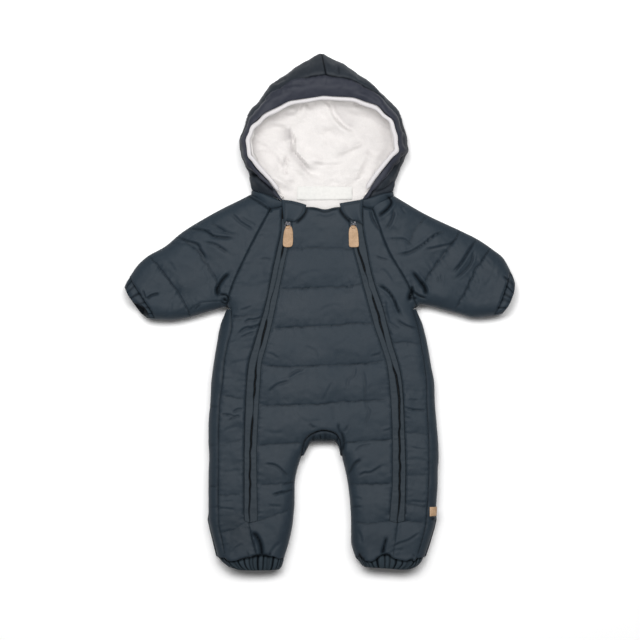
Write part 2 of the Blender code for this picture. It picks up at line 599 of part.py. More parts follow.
# ---- hood ----
def hood_grid(side):
    """Outer surface of half the hood: rows run round from the crown to the
    neck, columns from the rim over the brim and the side to the middle seam
    of the back. Also the unit vectors that point into the cloth."""
    sign = -1 if side == "left" else 1
    mid = HOOD_MID
    grid, inwards = [], []
    table = HOOD[side]
    fine = []
    for a, b in zip(table, table[1:]):
        fine += [tuple(mix(np.array(a), np.array(b), k / 2)) for k in range(2)]
    fine.append(table[-1])
    for n, row in enumerate(fine):
        r = dict(zip(HOOD_COLS, row))
        rim = np.array([r["rim_x"], r["rim_y"], r["rim_z"]])
        brim = np.array([r["brim_x"], r["brim_y"], r["brim_z"]])
        edge = np.array([r["edge_x"], r["edge_y"], EDGE_Z + 1.5])
        inward = (rim - edge) * (1, 1, 0)
        inward[:2] = np.array([mid - edge[0], 255.0 - edge[1]]) if n < 15 else inward[:2]
        inward /= max(float(np.linalg.norm(inward)), 1e-6)
        over = mix(rim, brim, 0.5) + (0, 0, 2.5)
        full = min(1.0, max(0.0, (brim[2] - 25.0) / 18.0))
        bulge = mix(brim, edge, 0.5) - inward * (0.4 + 2.1 * full) + (0, 0, 4.0 * full)
        turn = edge + inward * 3.5 - (0, 0, edge[2] - 3.6)
        rest = edge + inward * 13.0 - (0, 0, edge[2])
        centre = np.array([mid, r["floor_y"], 0.0])
        line = [rim, over, brim, bulge, edge, turn, rest, mix(rest, centre, 0.5), centre]
        if n == 0:
            line = [np.array([mid, p[1], p[2]]) for p in line]
        grid.append(line)
        inwards.append(inward)
    grid = np.array(grid)
    down = np.gradient(grid, axis=0)
    out = np.gradient(grid, axis=1)
    normal = np.cross(down, out)
    normal /= np.maximum(np.linalg.norm(normal, axis=2, keepdims=True), 1e-9)
    if normal[len(grid) // 2, -1, 2] < 0:
        normal = -normal
    normal[0, :, 0] = 0.0
    normal[-1, :, 1] *= 0.0
    normal /= np.maximum(np.linalg.norm(normal, axis=2, keepdims=True), 1e-9)
    normal[:, 4, 2] = np.maximum(normal[:, 4, 2], 0.15)
    normal[:, 5] = np.array(inwards) * 0.65 + (0.0, 0.0, 0.92)
    normal[:, 6:] = (0.0, 0.0, 1.0)
    return grid, normal


def from_middle(grid, side, gap):
    """Keeps a half clear of the middle plane."""
    sign = -1 if side == "left" else 1
    grid = grid.copy()
    x = grid[..., 0] - HOOD_MID
    grid[..., 0] = HOOD_MID + sign * np.maximum(sign * x, gap)
    return grid


def hood_half(side, mat):
    grid, normal = hood_grid(side)
    outer = from_middle(grid, side, GAP / 2)
    inner = from_middle(grid + normal * HOOD_WALL, side, GAP / 2)
    inner[:, 6:, 2] = BACK_WALL
    turn = slice(None, None, -1 if side == "left" else 1)
    return wall("hood_" + side, outer[turn, 2:], inner[turn, 2:], mat)


def hood_brim(mat):
    parts = []
    for side in ("left", "right"):
        grid, normal = hood_grid(side)
        outer, inner = grid[:, :3].copy(), grid[:, :3] + normal[:, :3] * (HOOD_WALL - 0.5)
        for g in (outer, inner):
            step = g[:, 1] - g[:, 2]
            g[:, 2] += step / np.linalg.norm(step, axis=1, keepdims=True) * GAP
        parts.append((outer, inner))
    outer = np.concatenate([parts[0][0][:0:-1], parts[1][0]])
    inner = np.concatenate([parts[0][1][:0:-1], parts[1][1]])
    return wall("hood_brim", outer, inner, mat)


def lining_half(side, mat):
    grid, normal = hood_grid(side)
    outer = grid + normal * (HOOD_WALL + LINING_GAP)
    inner = grid + normal * (HOOD_WALL + LINING_GAP + PILE)
    outer[:, 6:, 2] = BACK_WALL + GAP
    inner[:, 6:, 2] = BACK_WALL + GAP + PILE
    for g in (outer, inner):
        g[-1, 6:, 1] -= 12.0
        g[-1, :6, 1] += 1.0
    turn = slice(None, None, -1 if side == "left" else 1)
    return wall("lining_" + side, from_middle(outer, side, GAP / 2)[turn], from_middle(inner, side, GAP / 2)[turn], mat)


def lining_rim(mat):
    path = []
    for side in ("left", "right"):
        grid, normal = hood_grid(side)
        n = normal[:, 0]
        into = grid[:, 0] - grid[:, 1]
        along = np.gradient(grid[:, 0], axis=0)
        along /= np.linalg.norm(along, axis=1, keepdims=True)
        n = n - along * (along * n).sum(1, keepdims=True)
        n /= np.linalg.norm(n, axis=1, keepdims=True)
        into -= along * (into * along).sum(1, keepdims=True)
        into -= n * (into * n).sum(1, keepdims=True)
        into /= np.linalg.norm(into, axis=1, keepdims=True)
        path.append((grid[:, 0] + into * (RIM_ROLL + GAP + 0.7) + n * (RIM_ROLL + 0.8))[:-1])
    path = np.concatenate([path[0][:0:-1], path[1]])
    rows = []
    for n, centre in enumerate(path):
        along = path[min(n + 1, len(path) - 1)] - path[max(n - 1, 0)]
        along /= np.linalg.norm(along)
        side = np.cross(along, (0, 0, 1.0))
        side /= np.linalg.norm(side)
        up = np.cross(side, along)
        rows.append([centre + RIM_ROLL * (math.cos(a) * side + math.sin(a) * up)
                     for a in (2 * math.pi * k / 7 for k in range(7))])
    points = [p for row in rows for p in row]
    count = len(rows)
    faces = [[i * 7 + k, i * 7 + (k + 1) % 7, (i + 1) * 7 + (k + 1) % 7, (i + 1) * 7 + k]
             for i in range(count - 1) for k in range(7)]
    faces += [list(range(7)), [(count - 1) * 7 + k for k in range(6, -1, -1)]]
    return from_faces("lining_rim", points, faces, mat)


def neck_band(mat):
    """The narrow band between the hood and the body, open under the chin."""
    halves = []
    for side, sign in (("left", -1), ("right", 1)):
        hood_end = HOOD[side][-1]
        up, a = SLEEVE[side][0][0:2], SLEEVE[side][0][2:4]
        zip_x = body("zo_" + side[0], 153.0) + sign * 0.2
        low = [(zip_x, 153.7), (a[0], a[1] + 0.7), (mix(a[0], up[0], 0.5), mix(a[1], up[1], 0.5) + 0.5),
               (mix(a[0], up[0], 0.9), mix(a[1], up[1], 0.9) + 0.5), (up[0], up[1] + 0.6)]
        high = [(sign * max(abs(hood_end[0]), abs(zip_x) + 0.2), hood_end[1] - 0.9), (mix(hood_end[0], hood_end[6], 0.33), mix(hood_end[1], hood_end[7], 0.33) - 1.0),
                (mix(hood_end[0], hood_end[6], 0.65), mix(hood_end[1], hood_end[7], 0.65) - 1.0),
                (mix(hood_end[0], hood_end[6], 0.93), mix(hood_end[1], hood_end[7], 0.93) - 2.0), (hood_end[6], hood_end[7] - 2.0)]
        under_low = [low[3], low[2], (a[0], a[1] + 0.7), (a[0] * 0.5, 150.0), (HOOD_MID, 150.0)]
        # underneath, the band follows the hood's lowest edge, which runs
        # straight from where it first touches the surface to the middle
        reach = abs(hood_end[6] - sign * 13.0 - HOOD_MID)
        under_high = [(x, float(np.interp(abs(x - HOOD_MID), (0.0, reach), (hood_end[8], hood_end[7] - 4.6))) - 0.9)
                      for x in (high[4][0] - sign * 9, high[4][0] - sign * 20, a[0] * 0.95, a[0] * 0.5, HOOD_MID)]
        outer, inner = [], []
        for f in (0.0, 0.5, 1.0):
            line_o, line_i = [], []
            for k in range(5):
                x, y = mix(low[k][0], high[k][0], f), mix(low[k][1], high[k][1], f)
                d = abs(x - mix(low[4][0], high[4][0], f))
                z = EDGE_Z if k == 4 else top_z(0, 0, VALLEY + 1.0 + 4.0 * f, d) + (1.0 if f == 0.5 else 0.0)
                line_o.append((x, y, z))
                keep = mix(low[4][0], high[4][0], f) - sign * EDGE_WALL
                xi = sign * min(sign * x, sign * keep + (0.0, 0.0, 0.0, 0.0, 0.7)[k])
                line_i.append((xi, y, FRONT_IN if k < 4 else EDGE_Z))
            for k in range(5):
                x, y = mix(under_low[k][0], under_high[k][0], f), mix(under_low[k][1], under_high[k][1], f)
                d = abs(x - mix(low[4][0], high[4][0], f))
                line_o.append((x, y, low_z(0, 0, d) if k < 2 else 0.0))
                keep = mix(low[4][0], high[4][0], f) - sign * (EDGE_WALL + 0.5)
                line_i.append((sign * min(sign * x, sign * keep), y, BACK_WALL))
            outer.append(line_o)
            inner.append(line_i)
        halves.append((np.array(outer), np.array(inner)))
    outer = np.concatenate([halves[0][0], halves[1][0][:, -2::-1]], axis=1)
    inner = np.concatenate([halves[0][1], halves[1][1][:, -2::-1]], axis=1)
    return wall("neck_band", outer, inner, mat)


# ---- zips ----
def zip_rows(top):
    rows = [top] + [r[0] for r in BODY if ZIP_END - 0.1 <= r[0] < top - 5]
    rows[-1] += 0.6
    return rows


def zip_tape(side, mat):
    letter, sign = side[0], (1 if side == "left" else -1)
    outer, inner = [], []
    for y in zip_rows(158.0):
        zo = body("zo_" + letter, y) + sign * GAP * 0.7
        zi = body("zi_" + letter, y) - sign * GAP * 0.7
        z = body_top((zo + zi) / 2, y) - ZIP_SINK
        outer.append([(zo, y, z - 0.5), (mix(zo, zi, 0.5), y, z), (zi, y, z - 0.5)])
        inner.append([(zo, y, FRONT_IN), (mix(zo, zi, 0.5), y, FRONT_IN), (zi, y, FRONT_IN)])
    return wall("zip_tape_" + side, outer, inner, mat)


def zip_welt(side, which, mat):
    letter, sign = side[0], (1 if side == "left" else -1)
    outer, inner = [], []
    for y in zip_rows(120.5):
        zo = body("zo_" + letter, y) + sign * GAP * 0.7
        zi = body("zi_" + letter, y) - sign * GAP * 0.7
        zs = body("zs_" + letter, y)
        a, b = (zo, zs - sign * 0.9) if which == "outer" else (zs + sign * 0.9, zi)
        base = body_top((zo + zi) / 2, y) - ZIP_SINK + GAP
        outer.append([(mix(a, b, f), y, base + h) for f, h in ((0.0, 3.2), (0.25, 5.2), (0.7, 5.2), (1.0, 3.0))])
        inner.append([(mix(a, b, f), y, base) for f in (0.0, 0.25, 0.7, 1.0)])
    return wall("zip_" + side + "_welt_" + which, outer, inner, mat)


def block(name, low, high, mat, bevel=0.0):
    mesh = bpy.data.meshes.new(name)
    made = bmesh.new()
    bmesh.ops.create_cube(made, size=1.0)
    low, high = np.array(low, float), np.array(high, float)
    for v in made.verts:
        co = (np.array(v.co) + 0.5) * (high - low) + low
        v.co = [float(c) * MM for c in co]
    if bevel:
        bmesh.ops.bevel(made, geom=list(made.edges), offset=bevel * MM, segments=2, affect="EDGES", profile=0.5)
    bmesh.ops.recalc_face_normals(made, faces=made.faces)
    made.to_mesh(mesh)
    made.free()
    return new_object(name, mesh, mat)


def rod(name, centre, radius, length, mat, sides=12):
    """A cylinder along X."""
    mesh = bpy.data.meshes.new(name)
    made = bmesh.new()
    bmesh.ops.create_cone(made, cap_ends=True, segments=sides, radius1=radius * MM, radius2=radius * MM, depth=length * MM)
    for v in made.verts:
        x, y, z = v.co
        v.co = (z + centre[0] * MM, x + centre[1] * MM, y + centre[2] * MM)
    bmesh.ops.recalc_face_normals(made, faces=made.faces)
    made.to_mesh(mesh)
    made.free()
    return new_object(name, mesh, mat)


def combine(target, other, how):
    modifier = target.modifiers.new(how.lower(), "BOOLEAN")
    modifier.operation = how
    modifier.solver = "EXACT"
    modifier.object = other
    other.hide_render = True
    other.display_type = "WIRE"
    return target


def slider(side, mat):
    x = PULL_X[side]
    made = block("slider_" + side, (x - 4.2, PULL_Y - 1.9, 24.3), (x + 4.2, PULL_Y + 9.5, 30.0), mat, 0.8)
    lug = block("lug_shape_" + side, (x - 1.7, PULL_Y - 1.6, 28.5), (x + 1.7, PULL_Y + 1.8, PULL_Z + 1.7), mat, 0.4)
    hole = rod("lug_hole_" + side, (x, PULL_Y, PULL_Z), BAIL_WIRE + 0.35, 8.0, mat)
    combine(made, lug, "UNION")
    combine(made, hole, "DIFFERENCE")
    return made


def moved_under(obj, pivot):
    obj.parent = pivot
    obj.matrix_parent_inverse = pivot.matrix_world.inverted()
    return obj


def pull(side, metal, leather):
    x = PULL_X[side]
    pivot = bpy.data.objects.new("pull_" + side + "_axis", None)
    pivot.location = (x * MM, PULL_Y * MM, PULL_Z * MM)
    bpy.context.scene.collection.objects.link(pivot)
    bpy.context.view_layer.update()
    # wire bail: a closed rectangle of round wire
    low_y = PULL_Y - BAIL_LONG
    curve = bpy.data.curves.new("bail_" + side, "CURVE")
    curve.dimensions = "3D"
    curve.bevel_depth = BAIL_WIRE * MM
    curve.bevel_resolution = 1
    spline = curve.splines.new("POLY")
    c = 0.9
    loop = [(-BAIL_HALF + c, PULL_Y), (BAIL_HALF - c, PULL_Y), (BAIL_HALF, PULL_Y - c), (BAIL_HALF, low_y + c),
            (BAIL_HALF - c, low_y), (-BAIL_HALF + c, low_y), (-BAIL_HALF, low_y + c), (-BAIL_HALF, PULL_Y - c)]
    spline.points.add(len(loop) - 1)
    for point, (px, py) in zip(spline.points, loop):
        point.co = ((x + px) * MM, py * MM, PULL_Z * MM, 1.0)
    spline.use_cyclic_u = True
    bail = bpy.data.objects.new("bail_" + side, curve)
    curve.materials.append(metal)
    bpy.context.scene.collection.objects.link(bail)
    moved_under(bail, pivot)
    # leather: a tongue with a loop round the lower bar of the bail
    half, base = PULL_W / 2, low_y
    tongue = [(-0.36, 0.0), (-0.42, -0.045), (-0.62, -0.15), (-0.84, -0.42), (-0.97, -0.66), (-1.0, -0.8), (-0.88, -0.91), (-0.6, -0.975), (-0.2, -1.0)]
    plan = [(x + u * half, base + v * PULL_L) for u, v in tongue]
    plan += [(2 * x - px, py) for px, py in plan[::-1]]
    count = len(plan)
    z0, z1 = PULL_Z - 1.5, PULL_Z - 1.5 + PULL_T
    points = [(px, py, z0) for px, py in plan] + [(px, py, z1) for px, py in plan]
    faces = [list(range(count))[::-1], [count + k for k in range(count)]]
    faces += [[k, (k + 1) % count, count + (k + 1) % count, count + k] for k in range(count)]
    tab = from_faces("leather_pull_" + side, points, faces, leather)
    roll = rod("loop_shape_" + side, (x, low_y, PULL_Z), 2.0, half * 0.72, leather, 14)
    hole = rod("loop_hole_" + side, (x, low_y, PULL_Z), BAIL_WIRE + 0.35, 20.0, leather, 12)
    combine(tab, roll, "UNION")
    combine(tab, hole, "DIFFERENCE")
    moved_under(tab, pivot)


def chin_guard(side, mat):
    g = dict(zip(GUARD_COLS, GUARD[side]))
    a, b = np.array([g["top_out_x"], g["top_out_y"]]), np.array([g["top_in_x"], g["top_in_y"]])
    c, d = np.array([g["low_in_x"], g["low_in_y"]]), np.array([g["low_out_x"], g["low_out_y"]])
    outer, inner = [], []
    for s in (0.0, 0.12, 0.5, 0.88, 1.0):
        line_o, line_i = [], []
        for t in (0.0, 0.12, 0.5, 0.88, 1.0):
            p = mix(mix(a, b, t), mix(d, c, t), s)
            border = min(s, 1 - s, t, 1 - t)
            base = mix(30.8, 34.6, min(1.0, s * 1.4)) if t < 0.4 else mix(30.8, 31.6, s)
            thick = 1.6 if border == 0 else 3.0
            line_o.append((p[0], p[1], base + (0.8 if border == 0 else 0.0) + thick))
            line_i.append((p[0], p[1], base + (0.4 if border == 0 else 0.0)))
        outer.append(line_o)
        inner.append(line_i)
    return wall("chin_guard_" + side, outer, inner, mat)


def neck_label(mat):
    left, right, low, high = LABEL
    base = BACK_WALL + GAP + PILE + GAP
    xs = [mix(left, right, k / 4) for k in range(5)]
    outer = [[(x, y, base + 0.9) for x in xs] for y in (low, (low + high) / 2, high)]
    inner = [[(x, y, base) for x in xs] for y in (low, (low + high) / 2, high)]
    return wall("neck_label", outer, inner, mat)


def side_tag(mat):
    """Lies on the wrapped edge of the back, following its surface outwards."""
    left, right, low, high = TAG
    outer, inner = [], []
    for y in (high, (low + high) / 2, low):
        edge = body("right", y)
        tall = crest(body("puff", y))
        line_o, line_i = [], []
        for f in (0.0, 0.25, 0.5, 0.75, 1.0):
            x = mix(left, edge - 1.0, f)
            z = top_z(0, 0, tall, edge - x)
            slope = np.array([edge - x + 3.0, 14.0])
            n = np.array([14.0, edge - x + 4.0]) / math.hypot(14.0, edge - x + 4.0)
            line_i.append((x + n[0] * 0.8, y, z + n[1] * 0.8 + 0.4))
            line_o.append((x + n[0] * 2.4, y, z + n[1] * 2.4 + 0.4))
        outer.append(line_o)
        inner.append(line_i)
    return wall("side_tag", outer, inner, mat)


def main():
    for obj in list(bpy.data.objects):
        bpy.data.objects.remove(obj)
    shell = material("padded_cloth", (0.045, 0.060, 0.075), 0.6)
    edge = material("elastic_cloth", (0.020, 0.027, 0.034), 0.7)
    pile = material("pile_lining", (0.86, 0.84, 0.82), 0.9)
    white = material("white_tape", (0.9, 0.9, 0.9), 0.7)
    tape = material("zip_tape", (0.015, 0.020, 0.026), 0.8)
    metal = material("slider_metal", (0.45, 0.45, 0.46), 0.35, 1.0)
    hide = material("leather", (0.55, 0.36, 0.21), 0.6)
    front_centre(shell)
    back(shell)
    gusset(shell)
    for side in ("left", "right"):
        front_side(side, shell)
        tube("sleeve_" + side, SLEEVE[side], shell, False, 1, shift=GAP * 0.6)
        tube("cuff_" + side, BAND["cuff_" + side], shell, True, 0, shift=0.0, valley=22.0, high=26.0)
        tube("hem_" + side, BAND["hem_" + side], edge, True, 0, shift=0.0, valley=21.0, high=26.0)
        foot_cover(side, shell)
        hood_half(side, shell)
        lining_half(side, pile)
        for which in ("outer", "inner"):
            zip_welt(side, which, shell)
        zip_tape(side, tape)
        slider(side, metal)
        pull(side, metal, hide)
        chin_guard(side, shell)
    hood_brim(shell)
    neck_band(shell)
    lining_rim(pile)
    neck_label(white)
    side_tag(hide)


main()
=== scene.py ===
"""Looks of the padded baby snowsuit: quilted shell, terry-lined hood, zips,
leather pulls, gathered cuffs and hems. Tables are in millimetres, and the
places of creases are given in the 640-pixel frame and turned to millimetres
by at(). Each piece is a closed wall of cloth that stands for its CAD solid."""

import math

import bpy
import numpy as np
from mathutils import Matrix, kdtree


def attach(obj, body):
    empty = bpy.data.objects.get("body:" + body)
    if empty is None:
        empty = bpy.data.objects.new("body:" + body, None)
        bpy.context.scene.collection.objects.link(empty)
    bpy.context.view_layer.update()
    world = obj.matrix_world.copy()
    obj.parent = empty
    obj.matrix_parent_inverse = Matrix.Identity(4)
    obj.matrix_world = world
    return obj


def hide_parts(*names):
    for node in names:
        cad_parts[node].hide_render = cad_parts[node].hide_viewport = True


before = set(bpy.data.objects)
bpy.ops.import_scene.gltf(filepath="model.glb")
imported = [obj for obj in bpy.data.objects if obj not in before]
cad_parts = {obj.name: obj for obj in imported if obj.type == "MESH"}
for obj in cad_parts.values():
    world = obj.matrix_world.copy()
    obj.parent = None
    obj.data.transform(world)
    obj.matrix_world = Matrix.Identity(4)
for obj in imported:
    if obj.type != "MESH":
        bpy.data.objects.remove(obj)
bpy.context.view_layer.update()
MM = 0.001

# ---- the cut, as in the part's source ----
GAP = 0.3
BACK_WALL = 11.0
FRONT_IN = 14.0
EDGE_Z = 12.5
VALLEY = 25.0
CREST = 31.0
ROUND_TOP = 22.0
ROUND_LOW = 12.0
EDGE_WALL = 9.0
HOOD_WALL = 8.0
LINING_GAP = 1.0
PILE = 2.3
RIM_ROLL = 3.0
FLAP = 5.0
ZIP_SINK = 6.5
PULL_W, PULL_L, PULL_T = 14.6, 30.0, 2.0
PULL_Z, PULL_Y = 32.3, 128.2
PULL_X = {"left": -45.8, "right": 49.2}
BAIL_LONG = 4.6
ZIP_END = -298.7
LEG_TOP = -208.8
ARMPIT_Y = 7.2
CROTCH_Y = -187.0
FLAP_Y = -288.0
HOOD_MID = 5.3

BODY_COLS = ("y", "left", "seam_l", "zo_l", "zs_l", "zi_l", "in_l", "in_r", "zi_r", "zs_r", "zo_r", "seam_r", "right", "puff")
BODY = (
    (152.2, -134.1, -128.3, -54.5, -47.0, -40.0, -23.9, 29.7, 43.6, 50.2, 61.8, 134.1, 139.9, 0.1),
    (121.8, -134.1, -128.3, -55.6, -48.4, -41.3, -23.8, 29.7, 44.1, 51.3, 63.3, 134.1, 139.9, 0.6),
    (91.3, -134.1, -128.3, -61.5, -53.3, -46.2, -23.6, 29.7, 49.7, 56.2, 68.9, 134.1, 139.9, 0.0),
    (65.2, -134.1, -128.3, -67.4, -59.0, -51.5, -23.5, 29.7, 56.5, 64.6, 73.7, 134.1, 139.9, 1.0),
    (37.7, -134.1, -128.3, -72.9, -65.2, -57.3, -23.3, 29.7, 63.8, 73.0, 81.3, 134.1, 139.9, 0.0),
    (21.8, -134.1, -128.3, -76.1, -68.8, -60.5, -23.3, 29.7, 68.0, 77.7, 86.9, 134.1, 139.9, 0.8),
    (7.2, -134.8, -128.2, -79.6, -72.1, -63.4, -23.2, 29.7, 71.8, 81.9, 92.1, 134.9, 140.4, 1.0),
    (-18.8, -143.3, -127.2, -87.1, -78.0, -69.2, -23.0, 29.7, 79.1, 89.1, 98.8, 142.2, 149.1, 0.0),
    (-46.4, -148.4, -133.6, -95.3, -84.9, -76.1, -22.9, 29.7, 88.5, 97.0, 106.0, 147.6, 155.6, 1.0),
    (-75.4, -153.1, -138.6, -103.3, -91.7, -83.8, -22.8, 29.7, 97.2, 105.5, 114.9, 152.3, 160.6, 0.0),
    (-103.0, -156.4, -140.8, -105.9, -93.6, -85.6, -22.6, 29.7, 100.9, 112.6, 120.0, 155.2, 165.5, 1.0),
    (-129.0, -157.6, -144.7, -107.3, -95.3, -87.3, -22.5, 29.7, 102.9, 115.4, 121.8, 155.6, 166.3, 0.0),
    (-158.0, -160.0, -146.0, -108.4, -97.2, -88.7, -22.5, 30.1, 104.2, 115.6, 123.0, 157.0, 168.7, 1.0),
    (-172.5, -160.2, -146.1, -108.8, -98.2, -89.4, -22.5, 30.3, 104.9, 115.8, 123.5, 157.8, 169.9, 0.6),
    (-187.0, -160.2, -146.3, -109.1, -99.1, -90.0, -22.5, 30.4, 105.1, 115.9, 124.1, 158.3, 171.1, 0.0),
    (-208.8, -159.1, -146.5, -109.5, -100.1, -90.5, -26.8, 32.9, 105.1, 116.0, 124.9, 158.6, 171.8, 0.8),
    (-227.7, -160.0, -146.7, -109.5, -100.4, -90.2, -32.6, 37.3, 105.1, 116.0, 125.3, 158.6, 170.6, 0.9),
    (-246.5, -160.2, -146.9, -109.5, -100.6, -90.0, -35.9, 41.0, 105.0, 116.0, 125.0, 158.0, 170.4, 0.0),
    (-274.1, -160.2, -147.0, -109.5, -100.9, -89.5, -36.2, 44.2, 102.8, 115.3, 124.4, 156.7, 168.6, 1.0),
    (-298.7, -160.2, -146.2, -109.5, -101.2, -89.2, -38.2, 45.6, 100.8, 112.4, 124.0, 154.6, 167.5, 0.2),
    (-304.5, -159.1, -146.0, -102.4, -102.2, -102.0, -38.8, 45.7, 112.0, 112.2, 112.4, 154.1, 166.4, 0.0),
    (-329.1, -153.0, -141.2, -97.6, -97.4, -97.2, -43.7, 45.7, 108.9, 109.1, 109.3, 148.4, 159.3, 1.0),
    (-353.8, -146.8, -136.4, -90.9, -90.7, -90.5, -51.0, 51.6, 105.8, 106.0, 106.2, 140.8, 151.2, 0.0),
)
RAGLAN = ((149.3, -71.8, 77.6), (91.3, -102.2, 99.3), (37.7, -126.9, 129.8), (8.7, -135.6, 141.4))
SLEEVE = {
    "left": (
        (-99.3, 171.8, -71.8, 149.3, -102.2, 91.3, -126.9, 37.7, -135.6, 8.7, 0.1),
        (-151.5, 145.7, -113.8, 120.3, -119.6, 81.2, -132.7, 38.7, -141.4, 8.0, 1.0),
        (-199.4, 116.7, -173.3, 95.7, -155.9, 65.2, -147.2, 33.4, -148.6, 5.8, 0.0),
        (-224.0, 96.4, -205.2, 75.4, -189.2, 49.3, -176.2, 20.3, -170.4, -0.7, 1.0),
        (-248.7, 82.6, -231.3, 64.5, -215.3, 42.0, -199.4, 15.9, -187.8, -5.8, 0.0),
        (-263.2, 69.6, -245.8, 49.3, -231.3, 29.0, -221.1, 7.2, -215.3, -10.2, 1.0),
        (-275.5, 52.2, -263.2, 33.4, -251.6, 15.9, -242.9, 2.2, -237.8, -9.4, 0.0),
    ),
    "right": (
        (108.0, 169.7, 77.6, 149.3, 99.3, 91.3, 129.8, 37.7, 141.4, 8.7, 0.1),
        (154.4, 142.8, 128.3, 117.5, 125.4, 81.2, 136.1, 40.6, 147.2, 12.3, 1.0),
        (203.7, 119.6, 183.4, 95.7, 168.9, 71.0, 158.8, 39.1, 160.2, 10.2, 0.0),
        (228.4, 107.3, 209.5, 84.1, 195.0, 59.4, 183.4, 29.0, 179.1, 5.1, 1.0),
        (250.1, 92.8, 232.7, 74.0, 219.7, 50.8, 206.6, 23.2, 199.4, 0.0, 0.0),
        (266.1, 79.8, 253.0, 59.4, 241.4, 36.2, 231.3, 13.0, 225.5, -6.5, 1.0),
        (276.2, 62.4, 271.9, 44.9, 266.1, 27.6, 258.8, 8.7, 251.6, -4.3, 0.0),
    ),
}
BAND = {
    "cuff_left": (
        (-275.0, 51.9, -262.8, 33.3, -251.2, 15.8, -242.5, 2.0, -237.6, -9.5, 0.2),
        (-279.8, 44.6, -270.2, 28.2, -260.0, 13.0, -251.2, 0.7, -244.4, -8.8, 0.7),
        (-282.8, 37.7, -276.2, 23.9, -267.5, 10.9, -258.8, 0.0, -250.1, -7.2, 0.2),
    ),
    "cuff_right": (
        (275.9, 62.0, 271.6, 44.8, 265.8, 27.5, 258.6, 8.6, 251.4, -4.3, 0.2),
        (280.6, 53.0, 277.4, 38.2, 272.6, 23.8, 266.0, 8.4, 258.4, -3.2, 0.7),
        (283.5, 43.5, 282.0, 31.9, 278.4, 20.3, 272.6, 8.7, 264.6, -1.4, 0.2),
    ),
    "hem_left": (
        (-146.4, -354.1, -128.0, -354.1, -98.0, -354.1, -70.0, -354.1, -51.3, -354.1, 0.1),
        (-141.5, -360.0, -125.0, -360.8, -98.0, -361.0, -71.0, -361.0, -52.6, -360.5, 0.7),
        (-131.5, -366.8, -119.5, -367.6, -97.0, -368.0, -72.0, -367.8, -54.8, -367.0, 0.5),
        (-120.0, -371.6, -112.5, -372.4, -95.0, -372.8, -74.0, -372.6, -58.2, -371.6, 0.0),
    ),
    "hem_right": (
        (51.9, -354.1, 70.0, -354.1, 103.0, -354.1, 132.0, -354.1, 150.6, -354.1, 0.1),
        (56.8, -359.4, 72.0, -359.8, 103.0, -360.4, 131.0, -361.0, 147.6, -360.6, 0.7),
        (60.5, -364.4, 74.0, -365.2, 102.0, -366.4, 126.0, -367.6, 141.5, -366.8, 0.5),
        (65.0, -367.8, 77.0, -368.8, 101.0, -370.2, 120.0, -371.6, 131.5, -371.4, 0.0),
    ),
}
GUSSET = (
    (-26.3, -207.5, -23.0, -206.5),
    (-22.0, -187.0, -18.1, -197.2),
    (-12.0, -175.9, -10.9, -186.3),
    (5.1, -170.2, 5.1, -185.6),
    (22.2, -174.4, 21.0, -185.6),
    (29.9, -187.0, 27.6, -194.3),
    (32.4, -207.5, 30.2, -206.5),
)
HOOD_COLS = ("rim_x", "rim_y", "rim_z", "brim_x", "brim_y", "brim_z", "edge_x", "edge_y", "floor_y")
HOOD = {
    "left": (
        (5.1, 313.2, 43.0, 5.5, 343.6, 46.0, 1.4, 377.0, 350.0),
        (-41.3, 305.9, 44.0, -37.0, 336.0, 45.0, -26.8, 361.1, 325.0),
        (-80.5, 287.1, 46.0, -72.8, 315.0, 40.0, -63.5, 334.4, 300.0),
        (-100.7, 269.5, 47.0, -102.2, 279.4, 32.0, -103.5, 286.5, 275.0),
        (-108.0, 248.9, 46.0, -114.6, 250.4, 25.0, -116.2, 251.0, 250.0),
        (-105.5, 226.2, 44.0, -110.7, 226.5, 24.0, -112.6, 226.5, 225.0),
        (-92.1, 207.3, 41.0, -102.2, 206.3, 30.0, -104.4, 206.8, 200.0),
        (-72.0, 187.0, 38.0, -85.0, 187.5, 33.0, -101.0, 190.4, 176.0),
        (-51.8, 161.4, 32.0, -61.5, 165.9, 30.5, -98.0, 178.7, 159.0),
    ),
    "right": (
        (5.1, 313.2, 43.0, 5.5, 343.6, 46.0, 1.4, 377.0, 350.0),
        (47.1, 310.8, 44.0, 45.7, 336.6, 45.0, 31.7, 362.5, 325.0),
        (83.8, 298.7, 46.0, 82.4, 318.3, 40.0, 66.2, 337.2, 300.0),
        (107.5, 278.4, 47.0, 112.6, 285.2, 32.0, 115.3, 291.5, 275.0),
        (114.5, 253.8, 46.0, 123.1, 256.1, 25.0, 125.6, 257.5, 250.0),
        (116.0, 233.4, 44.0, 126.0, 235.2, 24.0, 128.3, 236.0, 225.0),
        (99.3, 213.2, 41.0, 112.2, 214.5, 30.0, 119.0, 213.0, 200.0),
        (80.6, 190.9, 38.0, 94.2, 192.8, 33.0, 110.9, 193.8, 176.0),
        (62.0, 164.2, 32.0, 72.4, 167.0, 30.5, 107.0, 176.7, 159.0),
    ),
}
LABEL = (-32.6, 47.1, 164.2, 183.4)
TAG = (158.9, 169.0, -293.9, -280.6)


# ---- tools ----
def at(points):
    """From the 640-pixel frame to millimetres."""
    p = np.asarray(points, float)
    return np.stack([(p[:, 0] - 319.5) * 1.45, (313.0 - p[:, 1]) * 1.45], 1)


def mix(a, b, t):
    return a + (b - a) * t


